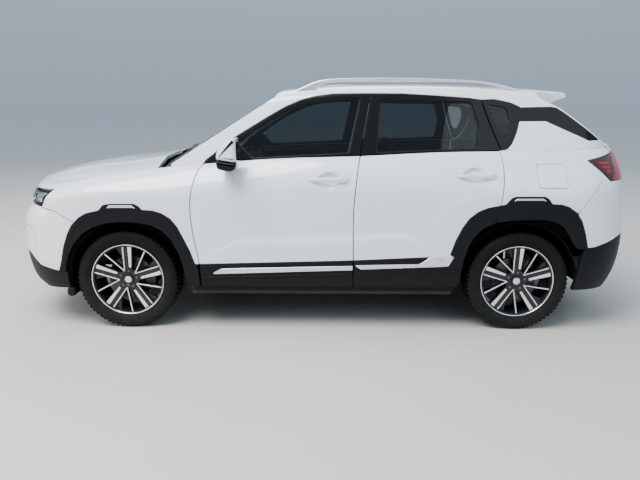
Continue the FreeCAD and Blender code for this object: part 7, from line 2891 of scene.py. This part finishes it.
    def _rim(self) -> Patch:
        """Barrel, dark spokes, bright faces, bare cap and bolts.

        Returns:
            The rim's mesh data.
        """
        axis, centre = LEFT, np.zeros(3)
        half = self.rim_half
        dark, bright, silver, steel = range(4)
        barrel = turned_patch([(88, 227), (70, 221), (40, 216), (-40, 213), (-84, 217), (-half, 232.0),
            (-half, self.lip), (-half + 9.0, self.lip), (-half + 11.0, self.bead),
            (half - 11.0, self.bead), (half - 9.0, self.lip)], centre, axis, 96, dark)
        barrel.merged(turned_patch([(half - 9.0, self.lip), (half - 1.5, self.lip),
            (half, self.lip - 1.5), (half, self.lip - 5.5), (half - 1.5, self.lip - 7.0)], centre,
            axis, 96, bright))
        barrel.merged(turned_patch([(half - 1.5, self.lip - 7.0), (half - 6.0, self.lip - 12.0),
            (88, 227)], centre, axis, 96, dark))
        barrel.merged(turned_patch([(20.0, self.hub), (64.0, self.hub + 3.0), (74.0, self.hub),
            (77, 62), (77, 44), (74, 40), (73, 31), (73, 20)], centre, axis, 72, dark))
        barrel.merged(turned_patch([(70.0, self.cap), (82.0, self.cap), (84.5, self.cap - 2.0),
            (84.0, self.cap - 5.0)], centre, axis, 48, dark))
        barrel.merged(turned_patch([(84.0, self.cap - 5.0), (85.0, self.cap - 7.0), (86.5, 10.0),
            (86.8, 0.3)], centre, axis, 48, silver))
        face = Sheet(self._face, Facing.TURNED)
        for number in range(self.sectors):
            first = self.leg_angle - number * 360.0 / self.sectors
            second, bar = first - self.leg_spread, first - self.bar_offset
            apex = self._spot(self.apex_radius, first - self.leg_spread / 2)
            rim_r = self.bead + 1.0
            web = [self._spot(48.0, first - 8.0), self._spot(rim_r, second + 3.2),
                self._spot(rim_r, bar), self._spot(rim_r, bar - 5.0), self._spot(88.0, bar - 14.0),
                self._spot(50.0, bar - 24.0)]
            barrel.merged(self._cut(face, trace(web, 8.0), -2.0, 30.0, dark))
            leg = self._strip(self._spot(50.0, first - 26.0), self._spot(rim_r, first), 15.0, 15.0)
            barrel.merged(self._cut(face, leg, -2.0, 30.0, dark))
            for angle in (first, second):
                strip = self._strip(apex, self._spot(rim_r, angle), 6.5, 9.0)
                barrel.merged(self._cut(face, strip, 0.6, 5.0, bright))
            wide = self._strip(self._spot(84.0, bar - 6.0), self._spot(rim_r, bar - 0.5), 15.0, 26.0)
            barrel.merged(self._cut(face, wide, 0.6, 5.0, bright))
            blade = [self._spot(222.0, second + 2.0), self._spot(222.0, second + 13.0),
                self._spot(190.0, second + 11.0), self._spot(128.0, second + 4.0)]
            barrel.merged(self._cut(face, trace(blade, 8.0), -16.0, 20.0, dark))
            bolt = self._spot(self.bolt_circle, first - 46.0)
            foot = np.array([bolt[0], 0.0, bolt[1]])
            barrel.merged(turned_patch([(68, 10), (80, 10), (82.5, 8.2), (83.0, 0.3)], foot, axis, 6,
                steel))
            barrel.merged(turned_patch([(76, 15), (78.6, 15.0), (78.6, 12.5), (76.5, 12.0)], foot,
                axis, 24, dark))
        return barrel

    @staticmethod
    def _cut(face: Sheet, loop: Array, lift: float, depth: float, finish: int) -> Patch:
        """Cuts one piece of the wheel's face with rounded edges."""
        return face.cut(loop, spacing=12.0, lift=lift, finish=finish,
            hem=Hem(roll=1.2, depth=depth, steps=2))

    def _brake_disc(self) -> Patch:
        """Brake disc with its bell.

        Returns:
            The disc's mesh data.
        """
        rows = [(-6, 60), (-6.0, self.disc), (3.0, self.disc), (3.0, self.disc - 5.0),
            (9.0, self.disc - 5.0), (9.0, self.disc), (18.0, self.disc), (18, 92), (19.5, 90.0),
            (34, 86), (36, 82), (36, 60)]
        return turned_patch(rows, np.zeros(3), LEFT, 72)


@dataclass
class Underside:
    """Finishes of the CAD nodes that keep their own shape."""

    coats: dict[str, Coat] = field(default_factory=lambda: {"cowl": Coat.CLADDING,
        "wheel_liners": Coat.LINER, "underbody": Coat.STRUCTURE, "engine": Coat.IRON,
        "cooling_pack": Coat.STEEL, "front_suspension": Coat.IRON, "rear_axle": Coat.IRON,
        "exhaust": Coat.STEEL, "knuckle_left": Coat.IRON, "knuckle_right": Coat.IRON,
        "dashboard": Coat.TRIM, "steering_wheel": Coat.SEAL})

    def build(self) -> None:
        """Gives each kept node its material."""
        for node, coat in self.coats.items():
            for slot in bpy.data.objects[node].material_slots:
                slot.material = MATERIALS[coat]
            LOG.info("%s keeps its shape", node)


@dataclass
class Pad:
    """One upholstered pad along a centre line, its crowned face on the upper side."""

    start: tuple[float, float]
    end: tuple[float, float]
    centre: float
    width: float
    thick: float
    taper: float = 0.0
    bolster: float = 0.22
    seams: tuple[float, ...] = (0.36, 0.66)
    channel: float = 5.0

    def patch(self, rings: int = 44, around: int = 64) -> Patch:
        """Closed pad with rounded ends, raised bolsters and sewn channels.

        Args:
            rings: sections along the pad.
            around: points round each section.

        Returns:
            The pad's mesh data.
        """
        run = np.array([self.end[0] - self.start[0], self.end[1] - self.start[1]])
        length = float(np.hypot(*run))
        run = run / length
        over = np.array([-run[1], run[0]])
        over = over if over[0] + over[1] > 0 else -over
        part = 0.5 - 0.5 * np.cos(np.linspace(0.0, math.pi, rings))
        angles = turn_angles(around)
        sin = np.sin(angles)
        side = squared(np.cos(angles), 0.42)
        rise = squared(sin, 0.62)
        points = np.zeros((rings, around, 3))
        for row, s in enumerate(part):
            close = max(1.0 - abs(2.0 * s - 1.0) ** 7.0, 0.0) ** 0.45
            close = max(close, 0.02)
            half = self.width / 2 * (1.0 - self.taper * s * s) * (0.93 + 0.07 * close) * close ** 0.35
            tall = self.thick / 2 * close
            across = side * half
            share = np.abs(side)
            lift = 1.0 + self.bolster * ease((share - 0.58) / 0.22) * (sin > 0)
            lift -= 0.10 * (1.0 - share ** 2) * (sin > 0) * (self.bolster > 0)
            dip = self.channel * np.exp(-((share - 0.60) / 0.018) ** 2) * (sin > 0)
            for seam in self.seams:
                dip = dip + (self.channel * math.exp(-((s - seam) * length / 7.0) ** 2)
                    * (share < 0.60) * (sin > 0))
            height = rise * tall * lift - dip * close
            along = np.array(self.start) + run * length * s
            points[row, :, 0] = along[0] + over[0] * height
            points[row, :, 1] = self.centre + across
            points[row, :, 2] = along[1] + over[1] * height
        return tube_patch(points)


@dataclass
class Cabin:
    """Seats, head restraints, console, screens and mirror."""

    seat_centre: float = 370.0

    def build(self) -> None:
        """Builds the cabin's pieces."""
        self._front_seats()
        self._bench()
        self._details()

    def _pad(self, name: str, pads: Sequence[Pad], replaces: Sequence[str] = ()) -> None:
        """One padded piece from its pads.

        Args:
            name: the piece's name.
            pads: its pads.
            replaces: CAD nodes it stands for.
        """
        patch = Patch()
        for pad in pads:
            patch.merged(pad.patch())
        piece = make_piece(name, patch, [Coat.FABRIC], "root", replaces)

    def _front_seats(self) -> None:
        """Two front seats: cushions, backs and head restraints."""
        for side, sign in (("left", 1.0), ("right", -1.0)):
            y = sign * self.seat_centre
            self._pad(f"seat_cushion_{side}", [Pad((-268, 418), (196, 446), y, 480.0, 132.0)],
                ["seats"] if side == "left" else [])
            self._pad(f"seat_back_{side}", [Pad((-258, 458), (-482, 1052), y, 460.0, 112.0, taper=0.16,
                seams=(0.30, 0.52, 0.74))])
            self._pad(f"seat_head_{side}", [Pad((-496, 1062), (-545, 1216), y, 232.0, 92.0,
                bolster=0.0, seams=(), channel=0.0)])
        frame = Patch()
        for sign in (1, -1):
            y = sign * self.seat_centre
            for off in (-55, 55):
                frame.merged(bar_patch((-476.0, y + off, 1020.0), (-510.0, y + off, 1110.0), (0, 1, 0),
                    12.0, 12.0, 1))
            for off in (-170, 170):
                frame.merged(bar_patch((-230.0, y + off, 292.0), (130.0, y + off, 302.0), (0, 1, 0),
                    36.0, 54.0))
            frame.merged(bar_patch((-240.0, y, 345.0), (170.0, y, 362.0), (0, 1, 0), 420.0, 60.0))
        make_piece("seat_frames", frame, [Coat.TRIM, Coat.STEEL], "root")

    def _bench(self) -> None:
        """Rear bench with three head restraints."""
        self._pad("bench_cushion", [Pad((-890, 452), (-566, 484), 0.0, 1206.0, 108.0, bolster=0.10,
            seams=(0.5,))])
        self._pad("bench_back", [Pad((-902, 522), (-1128, 1086), 0.0, 1188.0, 104.0, bolster=0.08,
            seams=(0.35, 0.7))])
        self._pad("bench_heads", [Pad((-1140, 1084), (-1178, 1198), y, 212.0, 76.0, bolster=0.0,
            seams=(), channel=0.0) for y in (-400, 0, 400)])
        base = bar_patch((-730, -600, 350), (-730, 600, 350), (1, 0, 0), 300.0, 170.0)
        make_piece("bench_base", base, [Coat.TRIM], "root")

    def _details(self) -> None:
        """Centre screen, instrument hood, console and mirror."""
        plastic = Patch()
        plastic.merged(bar_patch((566, 240, 1068), (566, 500, 1068), (1, 0, 0), 120.0, 46.0))
        plastic.merged(bar_patch((560, 0, 380), (-240, 0, 360), (0, 1, 0), 190.0, 210.0))
        plastic.merged(bar_patch((440, 0, 470), (425, 0, 560), (0, 1, 0), 44.0, 40.0))
        make_piece("cabin_console", plastic, [Coat.TRIM], "root")
        screens = Patch()
        screens.merged(bar_patch((522, -130, 1010), (522, 130, 1010), (0.15, 0, 1), 150.0, 14.0))
        screens.merged(bar_patch((540, 285, 1022), (540, 455, 1022), (0.3, 0, 1), 84.0, 10.0))
        make_piece("cabin_screens", screens, [Coat.GLOSS_BLACK], "root")
        mirror = bar_patch((395, -115, 1452), (395, 115, 1452), (0.1, 0, 1), 62.0, 26.0)
        mirror.merged(bar_patch((398, 0, 1478), (420, 0, 1512), (0, 1, 0), 24.0, 18.0))
        make_piece("cabin_mirror", mirror, [Coat.GLOSS_BLACK], "root")


def main() -> None:
    """Builds the vehicle's pieces in order, then the studio."""
    for part in (Doors(), Sides(), Nose(), Top(), Tail(), Wheels(), Cabin(), Underside()):
        LOG.info("building %s", type(part).__name__)
        part.build()
    Studio().build()


if __name__ == "__main__":
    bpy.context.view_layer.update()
    main()
